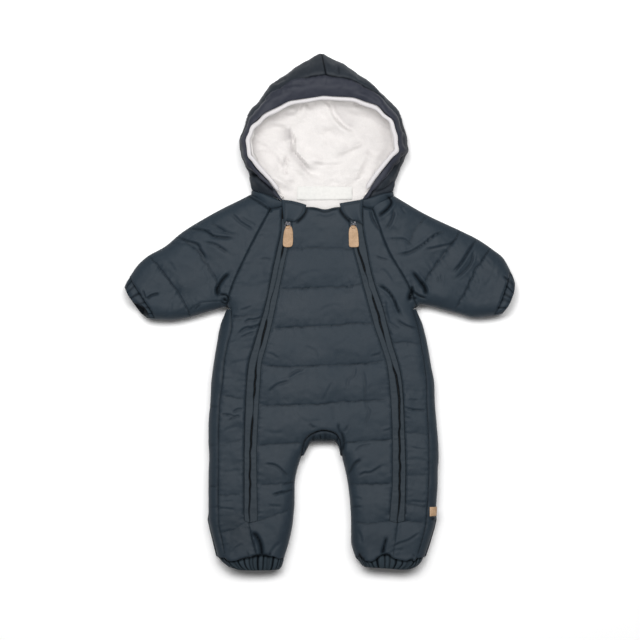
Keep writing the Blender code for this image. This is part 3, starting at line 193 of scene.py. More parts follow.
def smooth(xs, ys, x):
    """A monotone cubic through a table, xs rising; ys may hold many columns."""
    xs, ys = np.asarray(xs, float), np.asarray(ys, float)
    flat = ys.reshape(len(xs), -1)
    h = np.diff(xs)[:, None]
    d = np.diff(flat, axis=0) / h
    m = np.zeros_like(flat)
    m[0], m[-1] = d[0], d[-1]
    w1, w2 = 2 * h[1:] + h[:-1], h[1:] + 2 * h[:-1]
    same = d[:-1] * d[1:] > 0
    safe0, safe1 = np.where(same, d[:-1], 1.0), np.where(same, d[1:], 1.0)
    m[1:-1] = np.where(same, (w1 + w2) / (w1 / safe0 + w2 / safe1), 0.0)
    x = np.asarray(x, float)
    q = np.clip(x.ravel(), xs[0], xs[-1])
    k = np.clip(np.searchsorted(xs, q, "right") - 1, 0, len(xs) - 2)
    hk = h[k]
    t = ((q - xs[k]) / hk[:, 0])[:, None]
    out = ((2 * t**3 - 3 * t**2 + 1) * flat[k] + (t**3 - 2 * t**2 + t) * hk * m[k]
           + (-2 * t**3 + 3 * t**2) * flat[k + 1] + (t**3 - t**2) * hk * m[k + 1])
    return out.reshape(x.shape + ys.shape[1:])


def curve(points, step=3.0):
    """A smooth line through the points, sampled about every step."""
    p = np.asarray(points, float)
    if len(p) == 2:
        n = max(2, int(np.hypot(*(p[1] - p[0])) / step) + 1)
        return p[0] + (p[1] - p[0]) * np.linspace(0, 1, n)[:, None]
    s = np.concatenate([[0], np.cumsum(np.hypot(*np.diff(p[:, :2], axis=0).T))])
    ext = np.vstack([2 * p[0] - p[1], p, 2 * p[-1] - p[-2]])
    out = []
    for k in range(len(p) - 1):
        n = max(2, int((s[k + 1] - s[k]) / step) + 1)
        t = np.linspace(0, 1, n, endpoint=False)[:, None]
        a, b, c, d = ext[k], ext[k + 1], ext[k + 2], ext[k + 3]
        out.append(0.5 * (2 * b + (c - a) * t + (2 * a - 5 * b + 4 * c - d) * t**2 + (3 * b - a - 3 * c + d) * t**3))
    out.append(p[-1:])
    return np.vstack(out)


ABOVE = [r for r in BODY if r[0] >= ZIP_END - 0.1][::-1]
BELOW = [r for r in BODY if r[0] <= -304.4][::-1]


def body(name, y):
    k = BODY_COLS.index(name)
    y = np.asarray(y, float)
    if name.startswith("z"):
        up = smooth([r[0] for r in ABOVE], [r[k] for r in ABOVE], y)
        low = smooth([r[0] for r in BELOW], [r[k] for r in BELOW], y)
        return mix(low, up, np.clip((y + 303.6) / 3.2, 0, 1))
    rows = BODY[::-1]
    out = smooth([r[0] for r in rows], [r[k] for r in rows], y)
    return out + {"left": -0.8, "right": 1.0}.get(name, 0.0) * np.clip((7.0 - y) / 12.0, 0, 1)


# where the legs' cloth is gathered on to the hems, in the 640-pixel frame
HEM_EDGE = ((219, 557), (225, 557.4), (229, 560.6), (236, 559.6), (245, 557.4), (253, 555.6), (262, 554.6), (268, 555), (274, 555.6), (280, 558),
            (284.3, 557), (355, 557), (358.4, 554.6), (364, 559.5), (370, 560.6), (376, 558.2), (382, 553.8), (388, 554), (393, 557), (400, 559), (406, 559.8),
            (410, 558.4), (414, 560.4), (417, 557), (424, 557))


def hem_rise(x):
    """How far the seam of a hem lies above (+) or below its straight line."""
    px = np.asarray(x) / 1.45 + 319.5
    return -(smooth([p[0] for p in HEM_EDGE], [p[1] for p in HEM_EDGE], px) - 557.0) * 1.45


def raglan(side, y):
    k = 1 if side == "left" else 2
    rows = RAGLAN[::-1]
    return smooth([r[0] for r in rows], [r[k] for r in rows], y)


NODES_AT = (0.0, 0.2, 0.5, 0.8, 1.0)


def table_plan(table, u, v):
    """Plan points of a tube's table; u counts rows, v runs across from 0 to 1."""
    t = np.array([r[:10] for r in table], float).reshape(len(table), 5, 2)
    along = smooth(np.arange(len(table)), t, np.asarray(u))
    out = np.zeros((len(u), len(v), 2))
    for i in range(len(u)):
        out[i] = smooth(NODES_AT, along[i], v)
    return out


def sleeve_plan(side, u, v):
    plan = table_plan(SLEEVE[side], u, v)
    first = plan[0].copy() if u[0] == 0 else table_plan(SLEEVE[side], np.array([0.0]), v)[0]
    on = v >= 0.2
    target = first.copy()
    target[on, 0] = raglan(side, first[on, 1])
    fade = np.clip(1 - np.asarray(u), 0, 1)[:, None, None]
    return plan + (target - first)[None] * fade**2


# ---- plan rasters: height and darkness of the cloth that faces up ----
S, X0, Y0, NX, NY = 1.0, -300.0, -395.0, 601, 791
XS, YS = X0 + S * np.arange(NX), Y0 + S * np.arange(NY)


def near(points, reach):
    """Distance to a line, the place along it (0 to 1), the side, its length."""
    p = np.asarray(points, float)
    j0 = max(0, int((p[:, 0].min() - reach - X0) / S))
    j1 = min(NX, int((p[:, 0].max() + reach - X0) / S) + 2)
    i0 = max(0, int((p[:, 1].min() - reach - Y0) / S))
    i1 = min(NY, int((p[:, 1].max() + reach - Y0) / S) + 2)
    gx, gy = np.meshgrid(XS[j0:j1], YS[i0:i1])
    best, along, side = np.full(gx.shape, 1e9), np.zeros(gx.shape), np.zeros(gx.shape)
    run = 0.0
    for a, b in zip(p, p[1:]):
        ab = b - a
        size = float(ab @ ab)
        if size < 1e-9:
            continue
        t = np.clip(((gx - a[0]) * ab[0] + (gy - a[1]) * ab[1]) / size, 0, 1)
        dx, dy = gx - (a[0] + t * ab[0]), gy - (a[1] + t * ab[1])
        d = np.hypot(dx, dy)
        closer = d < best
        best = np.where(closer, d, best)
        along = np.where(closer, run + t * math.sqrt(size), along)
        side = np.where(closer, np.sign(ab[0] * dy - ab[1] * dx), side)
        run += math.sqrt(size)
    return (slice(i0, i1), slice(j0, j1)), best, along / max(run, 1e-6), side, run


def pull_in(field, points, reach):
    """Lowers a distance raster to the distance from a long line."""
    p = np.asarray(points, float)
    for k in range(0, len(p) - 1, 8):
        where, d, _, _, _ = near(p[k:k + 9], reach)
        field[where] = np.minimum(field[where], d)


def read(field, x, y):
    """Bilinear reading of a raster at points in millimetres."""
    fx = np.clip((np.asarray(x) - X0) / S, 0, NX - 1.001)
    fy = np.clip((np.asarray(y) - Y0) / S, 0, NY - 1.001)
    j, i = fx.astype(int), fy.astype(int)
    u, v = fx - j, fy - i
    return ((field[i, j] * (1 - u) + field[i, j + 1] * u) * (1 - v)
            + (field[i + 1, j] * (1 - u) + field[i + 1, j + 1] * u) * v)


def freqs(angle=0.0):
    fy, fx = np.fft.fftfreq(NY, S)[:, None], np.fft.rfftfreq(NX, S)[None, :]
    c, s = math.cos(angle), math.sin(angle)
    return fx * c + fy * s, -fx * s + fy * c


def noise(seed, across, along=None, angle=0.0, spread=0.45):
    """Smooth noise of unit strength with waves about across long, drawn out to
    along in the other direction; angle turns the first direction from +X."""
    along = across if along is None else along
    u, v = freqs(angle)
    k = np.sqrt((u * across) ** 2 + (v * along) ** 2)
    band = np.exp(-((k - 1) / spread) ** 2 / 2)
    w = np.random.default_rng(seed).standard_normal((NY, NX))
    n = np.fft.irfft2(np.fft.rfft2(w) * band, s=w.shape)
    return n / n.std()


def blur(field, sigma):
    u, v = freqs()
    g = np.exp(-2 * (math.pi * sigma) ** 2 * (u**2 + v**2))
    return np.fft.irfft2(np.fft.rfft2(field) * g, s=field.shape)


# the garment's outline without hood
def outline():
    chains = []
    us, vs = np.linspace(0, 6, 120), np.array([0.0, 1.0])
    for side in ("left", "right"):
        plan = sleeve_plan(side, us, vs)
        ys = np.linspace(8.0, -353.8, 180)
        flank = np.stack([body(side, ys), ys], 1)
        chains += [plan[:, 0], np.vstack([plan[::-1, 1], flank])]
    ys = np.linspace(-353.8, LEG_TOP, 90)
    low = gusset_line(np.linspace(0, 1, 60), 2)
    left = np.stack([body("in_l", ys), ys], 1)
    right = np.stack([body("in_r", ys[::-1]), ys[::-1]], 1)
    chains.append(np.vstack([left, low, right]))
    return chains


def gusset_line(t, first):
    """The gusset's seam (first 0) or lower edge (first 2), t from 0 to 1."""
    p = np.array([r[first:first + 2] for r in GUSSET], float)
    return smooth(np.linspace(0, 1, len(p)), p, t)


OUTLINE = outline()
EDGE = np.full((NY, NX), 34.0)
for chain in OUTLINE:
    pull_in(EDGE, chain, 34.0)
TREE_POINTS = np.vstack([curve(c[::2], 0.6) for c in OUTLINE])
TREE = kdtree.KDTree(len(TREE_POINTS))
for n, p in enumerate(TREE_POINTS):
    TREE.insert((float(p[0]), float(p[1]), 0.0), n)
TREE.balance()


def edge_distance(x, y):
    x, y = np.asarray(x, float), np.asarray(y, float)
    d = read(EDGE, x, y)
    flat, fx, fy = d.ravel().copy(), x.ravel(), y.ravel()
    for n in np.nonzero(flat < 5.0)[0]:
        flat[n] = TREE.find((fx[n], fy[n], 0.0))[2]
    return flat.reshape(d.shape)


def rise(d, reach):
    return np.sqrt(np.maximum(0.0, 1 - (1 - np.clip(d / reach, 0, 1)) ** 2))


# Lines of quilting on the side that shows: points in the 640-pixel frame, how
# strong the line is (its groove and the painted shade in it), and how deep the padding sinks to it.
QUILT_COLS = ("points", "line", "sink")
QUILT = (
    # centre panel and down both legs
    (((284, 250), (292.6, 249.6), (309, 248.4), (323, 248.2), (343, 249.0), (357, 249.6)), 0.8, 0.9),
    (((279, 289.6), (289, 289), (303, 288.6), (323, 287.4), (343, 287.6), (354, 285.8), (366, 284.2)), 0.95, 1.0),
    (((272, 328.6), (281, 328), (299, 327), (315, 326.2), (335, 325.4), (355, 323.4), (376, 324.6)), 1.0, 1.0),
    (((264, 365.6), (285, 367), (307, 366.6), (325, 365.4), (349, 364.6), (371, 363), (386, 360.2)), 1.0, 1.0),
    (((260, 405.8), (285, 405.4), (307, 404.4), (323, 404), (347, 401.6), (365, 400.8), (389, 399.6)), 1.0, 1.0),
    (((260, 445.2), (279, 443.6), (303, 442.4)), 1.0, 1.0),
    (((342, 442.6), (365, 441), (392, 439.2)), 1.0, 1.0),
    (((261, 484.6), (281, 483.6), (294, 482.4)), 0.8, 0.9),
    (((349, 483.6), (369, 484), (391, 483.6)), 1.0, 1.0),
    (((219, 533.4), (235, 529), (247, 522.4), (261, 520), (279, 513.4), (291, 509)), 0.6, 0.85),
    (((352, 521), (367, 523), (385, 521.6), (396, 520), (424, 522.6)), 0.8, 0.9),
    # side panels
    (((234, 287), (250, 286), (267, 284)), 0.15, 0.5),
    (((231, 317), (246, 316), (262, 313.5)), 0.5, 0.8),
    (((225, 352), (240, 349), (252, 348)), 0.15, 0.4),
    (((221, 396), (236, 397.6), (247, 399.4)), 0.6, 0.8),
    (((220, 445.5), (232, 442), (243, 439)), 0.4, 0.7),
    (((219, 495), (240, 494.4)), 0.5, 0.7),
    (((377, 284), (392, 286), (404, 288)), 0.1, 0.4),
    (((392, 343), (407, 342.4), (421, 344.8)), 0.7, 0.8),
    (((403, 389), (416, 391), (429, 391)), 0.15, 0.4),
    (((405, 433), (417, 433), (430, 435)), 0.5, 0.7),
    (((406, 475), (430, 474)), 0.2, 0.5),
    (((405, 505), (417, 505.4), (429, 507)), 0.6, 0.8),
    # left sleeve
    (((149, 255), (158, 266), (168, 278), (178, 292), (184, 302), (189, 312), (190.5, 319)), 1.2, 1.0),
    (((181, 237), (192, 246), (200, 254), (206, 264), (214, 276), (218, 284), (220, 297)), 1.05, 0.9),
    (((211, 216), (217, 224), (224, 233)), 0.1, 0.5),
    # right sleeve
    (((490, 247.4), (483, 259), (475, 270), (469, 284), (462, 298), (455, 309.5)), 1.3, 1.0),
    (((459.5, 230.6), (454, 241), (445, 252), (435, 266), (427, 278), (422, 286)), 1.15, 1.0),
    (((426.5, 216.6), (417, 227), (411, 239), (409, 246)), 0.95, 0.8),
)

# Seams: name, half-width of the groove, depth, darkness of its painted shade, points or (x, y) rows.
SEAM_COLS = ("width", "depth", "dark", "points")


def column(name, top, low, n=160):
    ys = np.linspace(top, low, n)
    return np.stack([body(name, ys), ys], 1)


def raglan_line(side):
    ys = np.linspace(149.3, 8.7, 60)
    return np.stack([raglan(side, ys), ys], 1)


SEAMS = [
    (1.25, 1.8, 0.66, raglan_line("left")),
    (1.25, 1.8, 0.66, raglan_line("right")),
    (1.1, 1.3, 0.5, column("seam_l", 8.0, -353.8)),
    (1.1, 1.3, 0.5, column("seam_r", 8.0, -353.8)),
    (1.7, 1.7, 0.5, column("zo_l", 150.0, -299.0)),
    (1.5, 1.0, 0.16, column("zi_l", 150.0, -299.0)),
    (1.4, 1.3, 0.36, column("zo_r", 150.0, -299.0)),
    (1.5, 1.3, 0.30, column("zi_r", 150.0, -299.0)),
    (1.1, 0.8, 0.28, column("zs_l", -304.5, -353.8, 20)),
    (1.1, 0.5, 0.12, column("zs_r", -304.5, -353.8, 20)),
    (1.6, 2.6, 0.85, gusset_line(np.linspace(0, 1, 60), 0)),
    # the under panel of each sleeve shows as a strip along its lower edge
    (1.0, 0.8, 0.35, curve(at(((190.5, 309.5), (200, 303.5), (212, 301.6), (227, 301.2))))),
    # shoulder side of each sleeve
    (1.7, 2.6, 0.7, curve(at(((247.5, 195.6), (258, 202), (269, 209.4), (271, 211.5))))),
]

# Creases: points in the 640-pixel frame, depth, half-width, how high the cloth
# rolls up beside it (plus to its left, minus to its right), darkness of the painted shade in it.
CREASE_COLS = ("points", "depth", "width", "lip", "dark")
CREASES = (
    # centre panel
    (((269, 392), (277, 385), (284, 382.4), (290, 381)), 1.6, 2.2, 0.8, 0.25),
    (((287, 377), (291, 374.6), (297, 371), (304, 369)), 1.6, 1.8, -0.7, 0.25),
    (((355, 366), (354, 375), (348, 380), (347.4, 389)), 0.9, 1.8, 0.4, 0.1),
    (((362, 367), (364.6, 381), (365.2, 397), (367, 407), (369.4, 410.4), (367.4, 418), (364, 427)), 1.2, 1.7, 0.5, 0.2),
    (((333, 381), (327, 391.6), (322.4, 402)), 0.8, 2.0, -0.3, 0.08),
    (((371, 356), (379, 354), (380.6, 350.6)), 1.3, 1.6, 0.5, 0.25),
    (((268, 353), (273, 355), (278.4, 358.6)), 1.0, 2.0, 0.4, 0.12),
    (((304, 346), (315, 351), (317, 360)), 0.6, 2.4, 0.3, 0.05),
    (((320, 312), (330, 306), (341, 306)), 0.45, 3.0, 0.2, 0.0),
    (((300, 276), (312, 272), (322, 273)), 0.4, 3.0, 0.2, 0.0),
    (((316, 214.6), (326, 218), (338, 214.4)), 0.8, 3.0, 0.3, 0.06),
    (((344, 290.6), (348, 292), (352, 290.6)), 0.7, 1.4, 0.2, 0.15),
    (((336, 350), (338, 363)), 0.5, 1.8, 0.2, 0.04),
    (((294, 412), (306, 421), (322, 420)), 0.6, 3.2, 0.3, 0.04),
    (((309, 423), (312, 426), (315.4, 428)), 1.6, 1.6, 0.5, 0.4),
    (((338.8, 422.6), (338.4, 428), (340.4, 434)), 1.6, 1.5, 0.5, 0.4),
    (((348.4, 424.6), (346, 429), (343.4, 432)), 1.3, 1.5, 0.4, 0.3),
    (((333, 404), (333.4, 421)), 0.7, 1.3, 0.2, 0.12),
    (((383, 431), (392, 428)), 1.1, 1.5, 0.4, 0.2),
    (((340.6, 431), (343, 438), (343.4, 446), (341.6, 452)), 2.6, 2.4, 1.0, 0.75),
    (((301, 456), (303.4, 449), (307, 441), (312, 435)), 1.5, 2.0, -0.6, 0.35),
    # gusset
    (((312.4, 436.6), (313.2, 441.6)), 1.4, 1.5, 0.0, 1.0),
    (((320.0, 433.6), (320.8, 440.0)), 1.0, 1.6, 0.0, 0.95),
    (((317.4, 436.0), (318.0, 441.0)), 0.8, 1.1, 0.0, 0.7),
    (((338.4, 437.0), (336.0, 441.6)), 1.4, 1.5, 0.0, 1.0),
    (((340.4, 443), (341.4, 449)), 1.0, 1.5, 0.0, 0.85),
    # left side panel
    (((260, 259.4), (266, 258.8), (271.4, 260.2)), 0.9, 1.3, 0.3, 0.3),
    (((266, 288), (264, 296), (262, 300)), 1.0, 2.4, 0.5, 0.1),
    (((240, 310.4), (246, 309), (252, 306)), 1.2, 1.7, 0.6, 0.15),
    (((232, 316), (240, 317.4)), 1.2, 1.4, 0.3, 0.25),
    (((244, 323.4), (249, 320), (255, 319.8), (263.6, 316.4)), 1.7, 1.7, 0.8, 0.35),
    (((231, 319.6), (243, 320.8)), 0.9, 1.4, 0.3, 0.15),
    (((238, 334.4), (245, 328.6), (254, 327), (264, 323.6)), 1.8, 1.7, 0.8, 0.35),
    (((241, 338), (248, 334.4), (256, 332)), 1.3, 1.6, 0.6, 0.2),
    (((226, 343.6), (236, 341.6)), 0.9, 1.5, 0.3, 0.1),
    (((231, 364), (243, 361), (252, 360)), 0.6, 3.0, 0.3, 0.0),
    (((222, 380), (234, 378)), 0.6, 2.4, 0.3, 0.0),
    (((233, 412.4), (238, 409.2), (243.4, 409)), 1.6, 1.6, 0.6, 0.3),
    (((221, 414), (230, 414.8), (235, 416.6)), 1.3, 1.6, 0.5, 0.25),
    (((229, 420.4), (236, 416.4), (241, 416.2)), 1.5, 1.6, 0.5, 0.3),
    (((224, 430), (238, 426)), 0.6, 2.6, 0.3, 0.0),
    (((223, 472), (240, 470)), 0.5, 2.0, 0.2, 0.06),
    (((218, 508), (226, 508), (235.4, 509.4)), 1.0, 1.5, 0.4, 0.15),
    (((224, 501), (234, 500.6)), 0.6, 1.5, 0.2, 0.06),
    (((226, 545), (238, 541)), 0.7, 2.6, 0.3, 0.0),
    # outer strip, left and right
    (((209, 367.4), (220.4, 368)), 1.1, 1.4, 0.4, 0.25),
    (((209, 406), (219, 406.2)), 1.2, 1.4, 0.4, 0.3),
    (((208, 445), (218, 444.4)), 1.2, 1.4, 0.4, 0.3),
    (((208, 485.4), (218, 486)), 1.3, 1.5, 0.4, 0.35),
    (((208, 507), (218, 506.4)), 1.0, 1.4, 0.4, 0.2),
    (((214, 336), (223, 338)), 1.0, 1.4, 0.4, 0.15),
    (((426, 353), (432, 353)), 0.8, 1.4, 0.3, 0.1),
    (((429, 396), (436, 395.6)), 1.0, 1.4, 0.3, 0.2),
    (((429, 409), (436, 408.6)), 1.1, 1.4, 0.3, 0.25),
    (((430, 450), (438, 449)), 1.0, 1.4, 0.3, 0.2),
    (((429.6, 490.4), (437, 489.6)), 1.1, 1.4, 0.3, 0.2),
    # right side panel
    (((375.6, 256.6), (381, 258.6), (388, 260.4)), 1.2, 1.4, 0.5, 0.3),
    (((377, 284.4), (383, 287.4), (389, 292.4), (394, 300), (397.4, 309), (401, 316)), 3.0, 1.7, -1.6, 0.92),
    (((384.6, 300), (386, 312), (389.4, 322)), 1.4, 2.0, 0.7, 0.25),
    (((396.6, 319.6), (401, 323.4), (408, 326.6), (418, 328.8)), 1.7, 1.8, 0.8, 0.35),
    (((386, 320), (393, 325.6), (400, 329.4)), 1.1, 1.9, 0.4, 0.15),
    (((388, 331.4), (392.4, 335.4)), 1.5, 1.6, 0.3, 0.35),
    (((380, 268), (387, 275), (392, 283)), 0.7, 2.6, 0.4, 0.0),
    (((400, 360), (412, 357), (424, 359)), 0.6, 3.0, 0.3, 0.0),
    (((408, 399.4), (417.4, 400.2)), 1.0, 1.5, 0.4, 0.15),
    (((404, 407.6), (415, 409.8), (427.4, 410.4)), 1.7, 1.6, 0.6, 0.35),
    (((404, 416.6), (410, 418.6)), 1.0, 1.5, 0.3, 0.15),
    (((410, 446.8), (420, 448.6), (429, 448.8)), 0.8, 1.5, 0.3, 0.1),
    (((409, 500.4), (426, 502)), 0.7, 1.5, 0.3, 0.08),
    (((405, 461), (416, 459), (428, 461)), 0.5, 2.8, 0.3, 0.0),
    # left leg
    (((265, 463.4), (275, 465), (283, 471), (288.6, 477)), 1.9, 1.9, 0.9, 0.35),
    (((272, 495), (281, 492), (286, 491.6), (294, 488.6)), 2.4, 1.9, 1.0, 0.5),
    (((283, 484.6), (294, 481.6)), 1.3, 1.6, 0.4, 0.3),
    (((269, 505), (281, 506)), 0.8, 2.0, 0.4, 0.1),
    (((263, 430), (275, 433), (284, 432)), 0.5, 3.0, 0.3, 0.0),
    # right leg
    (((355, 451), (361, 446), (371, 443.8)), 1.1, 1.8, 0.5, 0.2),
    (((348.6, 474), (350.6, 470), (354, 464), (361.4, 458.8)), 2.4, 2.2, 0.9, 0.6),
    (((358, 476), (364, 472.6), (371, 472), (382.4, 465)), 1.6, 1.8, 0.7, 0.3),
    (((352, 506.4), (361.4, 506.4)), 1.3, 1.5, 0.4, 0.3),
    (((353, 497), (362, 499)), 0.6, 2.0, 0.3, 0.0),
    # left ankle
    (((248.6, 525), (250.4, 532), (253, 540), (255.4, 548), (256.6, 554)), 0.8, 1.3, 1.2, 0.25),
    (((251.6, 531), (256, 534.6), (259.4, 540), (261.4, 547), (262.4, 557)), 4.6, 3.0, 0.0, 1.0),
    (((253.6, 532.4), (257.4, 536.6), (260.2, 542), (261.6, 549)), 1.0, 2.6, 0.0, 1.0),
    (((251, 556.4), (256, 555), (262, 554), (270, 555.4)), 2.0, 2.4, 0.0, 0.95),
    (((270.6, 551), (269.6, 556)), 1.4, 1.4, 0.4, 0.7),
    (((238, 559.4), (244, 557.6), (250, 556)), 1.4, 1.6, 0.0, 0.7),
    (((226, 560), (231, 560.4)), 1.4, 1.6, 0.0, 0.75),
    (((247, 550), (249, 556)), 0.9, 1.4, 0.4, 0.4),
    (((232, 553), (237, 547), (244, 543)), 1.0, 2.4, 0.5, 0.05),
    (((270, 556), (274, 548), (282, 541)), 1.0, 2.4, 0.5, 0.05),
    # right ankle
    (((386.8, 536), (384.8, 542), (383.4, 548), (381.8, 554)), 3.0, 2.0, 0.8, 0.95),
    (((383.6, 547), (382.4, 553)), 2.0, 3.0, 0.0, 0.95),
    (((381, 554.6), (386, 553.4), (391, 555.4)), 2.0, 2.0, 0.0, 0.95),
    (((358.6, 552), (361, 556.4), (365.4, 559.8)), 2.6, 2.4, 0.0, 0.95),
    (((375, 558.6), (379, 555.4)), 1.6, 1.7, 0.0, 0.7),
    (((410.6, 557.4), (413.4, 560.4)), 2.2, 2.2, 0.0, 0.9),
    (((412, 553), (415, 556.6)), 1.4, 1.4, 0.3, 0.5),
    (((430, 517.6), (433, 518.6), (437, 521)), 2.4, 1.6, 0.4, 0.95),
    (((396.4, 520), (395.4, 535), (392, 545)), 1.0, 1.7, 0.5, 0.15),
    (((392, 546), (400, 542.4), (408, 539.8), (419, 532.4)), 1.4, 1.8, 0.7, 0.25),
    (((357, 529), (360.6, 536), (361.4, 543)), 0.9, 1.9, 0.4, 0.1),
    (((388, 556), (394, 550), (404, 549)), 1.0, 2.0, 0.5, 0.1),
    # left sleeve
    (((188, 229.2), (200, 229.6), (208, 232), (213, 236.2), (224, 238), (234.6, 238.4)), 2.6, 2.0, 1.4, 0.6),
    (((177, 237), (188, 241.4), (198, 245), (200, 249.4), (204, 256), (206, 261)), 2.4, 2.0, 1.0, 0.5),
    (((205, 242.4), (216, 245), (228.6, 253.4)), 2.0, 1.8, 0.9, 0.45),
    (((211, 219.6), (213.4, 225), (221, 229), (228, 233.4), (237, 235.4)), 1.6, 2.0, 0.8, 0.25),
    (((231, 213), (236, 218), (240.4, 222.4), (247, 226.6), (253, 230.4)), 1.6, 2.2, 0.8, 0.22),
    (((240, 217), (250, 223), (257, 226)), 0.9, 1.8, 0.4, 0.1),
    (((170, 244.4), (182, 243.6), (194, 245.4)), 1.0, 2.0, 0.5, 0.12),
    (((230, 273), (224, 278.6), (219.4, 285), (217.4, 291), (219, 297.4)), 3.6, 2.6, -1.4, 0.97),
    (((218, 295), (223, 294.6), (227.4, 296), (229, 300), (226.4, 303.4), (222.4, 302.4), (221.6, 299)), 2.6, 1.8, 0.8, 0.95),
    (((223, 298), (225.4, 300), (228, 300.6)), 2.6, 3.0, 0.3, 0.98),
    (((217.6, 286), (217.2, 291), (218.4, 295)), 2.0, 2.8, 0.0, 0.95),
    (((195, 310), (201, 304)), 1.4, 1.5, 0.3, 0.4),
    (((143.4, 290), (145, 295.6), (147, 299.4)), 1.4, 1.5, 0.5, 0.4),
    (((147, 299.6), (152, 295.6), (160, 293.4)), 2.2, 1.7, 0.8, 0.6),
    (((205, 268), (209, 279), (208, 290)), 0.6, 2.6, 0.3, 0.0),
    (((170, 262), (176, 272)), 0.5, 2.6, 0.3, 0.0),
    (((172, 300), (170, 310), (163, 318)), 0.7, 2.6, 0.3, 0.0),
    # right sleeve
    (((476.6, 239), (469, 250), (461, 263), (452.6, 272.8)), 2.6, 1.9, 1.2, 0.6),
    (((473.4, 251), (471, 262), (465, 270.4), (454, 279.6)), 1.7, 1.8, 0.8, 0.4),
    (((396, 254.8), (405, 253.6), (413, 251), (425, 243), (435, 235), (447, 231)), 2.3, 1.9, 1.1, 0.5),
    (((425, 250.2), (439, 247.2), (451, 244), (455.4, 240)), 1.5, 1.8, 0.7, 0.3),
    (((388, 240), (396, 239.4), (405, 240.4), (410, 245.4)), 1.3, 1.7, 0.6, 0.25),
    (((385.6, 195.8), (389.6, 198.8), (391.2, 203), (388.4, 207.8), (384, 212), (377, 217)), 3.6, 2.5, 1.6, 1.0),
    (((393.4, 209.6), (393.0, 216), (390.4, 223), (385.6, 229.6)), 1.8, 1.9, 0.7, 0.5),
    (((370, 208.6), (371.6, 218), (375.6, 225), (380, 231)), 1.6, 1.9, 0.6, 0.45),
    (((412, 271.6), (417, 278), (421.6, 284), (425, 289), (425.6, 296)), 3.4, 2.5, 1.3, 0.97),
    (((420, 281), (424, 287), (425.8, 294)), 2.2, 3.2, 0.0, 0.97),
    (((413.6, 289), (410.4, 296), (408.6, 301)), 2.2, 3.4, 0.0, 0.97),
    (((409, 295), (412, 298), (417, 298.6)), 1.6, 2.4, 0.0, 0.8),
    (((412.4, 285.6), (411, 291), (409.4, 296), (408.8, 301)), 3.2, 2.4, 0.5, 0.98),
    (((411, 293), (415, 293.4), (419, 296), (426, 298.4)), 2.4, 1.8, 0.6, 0.85),
    # painted shadow under the chin guards and along the top edge between them
    (((306.8, 206.6), (306.2, 211.4), (302.4, 217.8), (295.4, 224.2)), 1.6, 2.6, 0.0, 0.96),
    (((339.0, 206), (340.4, 211.4), (345, 217.8), (352.0, 224.0)), 1.6, 2.6, 0.0, 0.96),
    (((305.8, 208.4), (316, 209.6), (325, 212.2), (334, 209.8), (340.6, 208.2)), 1.2, 1.7, 0.0, 0.75),
    (((437, 276), (438.4, 284)), 0.9, 1.5, 0.3, 0.15),
    (((441, 274), (440.4, 284.4)), 0.9, 1.5, 0.3, 0.12),
    (((401, 205.6), (402.4, 210), (406, 214)), 1.2, 1.7, 0.4, 0.2),
    (((503, 276), (507, 280), (512.4, 285.4)), 2.2, 1.8, 0.6, 0.7),
    (((478, 277), (474, 290), (468, 300)), 0.7, 2.8, 0.3, 0.0),
    (((496, 262), (492, 276), (484, 288)), 0.5, 3.0, 0.3, 0.0),
)

relief = np.zeros((NY, NX))      # mm, added to the top
dark = np.zeros((NY, NX))        # 0 to 1, painted shade in seams, creases and quilting lines


def press(points, depth, width, lip, shade, ends=0.18):
    """A soft trough with the cloth rolled up on one side of it, and painted shade along it."""
    line = curve(at(points), 2.5)
    where, d, along, side, size = near(line, width * 5 + 3)
    edge = max(ends, 3.0 / max(size, 1.0))
    taper = np.clip(np.minimum(along, 1 - along) / edge, 0, 1)
    taper = 0.15 + 0.85 * taper * taper * (3 - 2 * taper)
    s = d * np.where(side == 0, 1, side)
    relief[where] -= depth * taper * np.exp(-(d / width) ** 2)
    if lip:
        turned = s * np.sign(lip) - width * 1.7
        relief[where] += abs(lip) * taper * np.exp(-(turned / (width * 1.3)) ** 2)
    dark[where] = np.maximum(dark[where], shade * taper * np.exp(-(d / max(width * 0.68, 1.2)) ** 2))


# padding between the lines of quilting
sunk = np.full((NY, NX), 60.0)
stitch_paths = []
for points, strength, sink in QUILT:
    line = curve(at(points), 2.5)
    where, d, along, side, size = near(line, 60.0)
    sunk[where] = np.minimum(sunk[where], np.hypot(d, 0.0) + 16.0 * (1 - sink))
full = 1 - np.exp(-sunk / 12.5)
height = blur(VALLEY + 2.2 + 3.4 * full, 2.6)
wave = noise(3, 46.0)
for points, strength, sink in QUILT:
    line = curve(at(points), 2.0)
    normal = np.gradient(line, axis=0)[:, ::-1] * (1, -1)
    normal /= np.maximum(np.hypot(*normal.T), 1e-6)[:, None]
    wander = read(wave, line[:, 0] * 3.1 % 290, line[:, 1] * 2.3 % 380)
    line = line + normal * wander[:, None] * 0.45
    where, d, along, side, size = near(line, 9.0)
    fade = np.clip(np.minimum(along, 1 - along) / 0.06, 0, 1)
    uneven = 0.8 + 0.2 * np.sin(along * size / 9.0 + line[0, 1])
    relief[where] -= 1.05 * strength * fade * np.exp(-(d / 1.25) ** 2)
    # painted shade along each line of quilting
    dark[where] = np.maximum(dark[where], 0.56 * strength * fade * uneven * np.exp(-(d / 0.85) ** 2))
    stitch_paths.append((line, strength))

px_x, px_y = np.meshgrid(XS / 1.45 + 319.5, 313.0 - YS / 1.45)
# painted shade patches on the legs above the hems
for cx, cy, wx, wy, deep_ in ((238, 530, 20, 20, 0.17), (384, 540, 30, 14, 0.07), (274, 535, 14, 20, 0.05)):
    dark = np.maximum(dark, deep_ * np.exp(-((px_x - cx) / wx) ** 2 - ((px_y - cy) / wy) ** 2))

# seams
seam_near = np.full((NY, NX), 40.0)
for width, depth, shade, points in SEAMS:
    pull_in(seam_near, points, 40.0)
    where, d, along, side, size = near(points[::4] if len(points) > 80 else points, 10.0)
    relief[where] -= depth * np.exp(-(d / width) ** 2)
    # painted shade in the seam's groove
    dark[where] = np.maximum(dark[where], shade * np.exp(-(d / (0.75 * width)) ** 2))

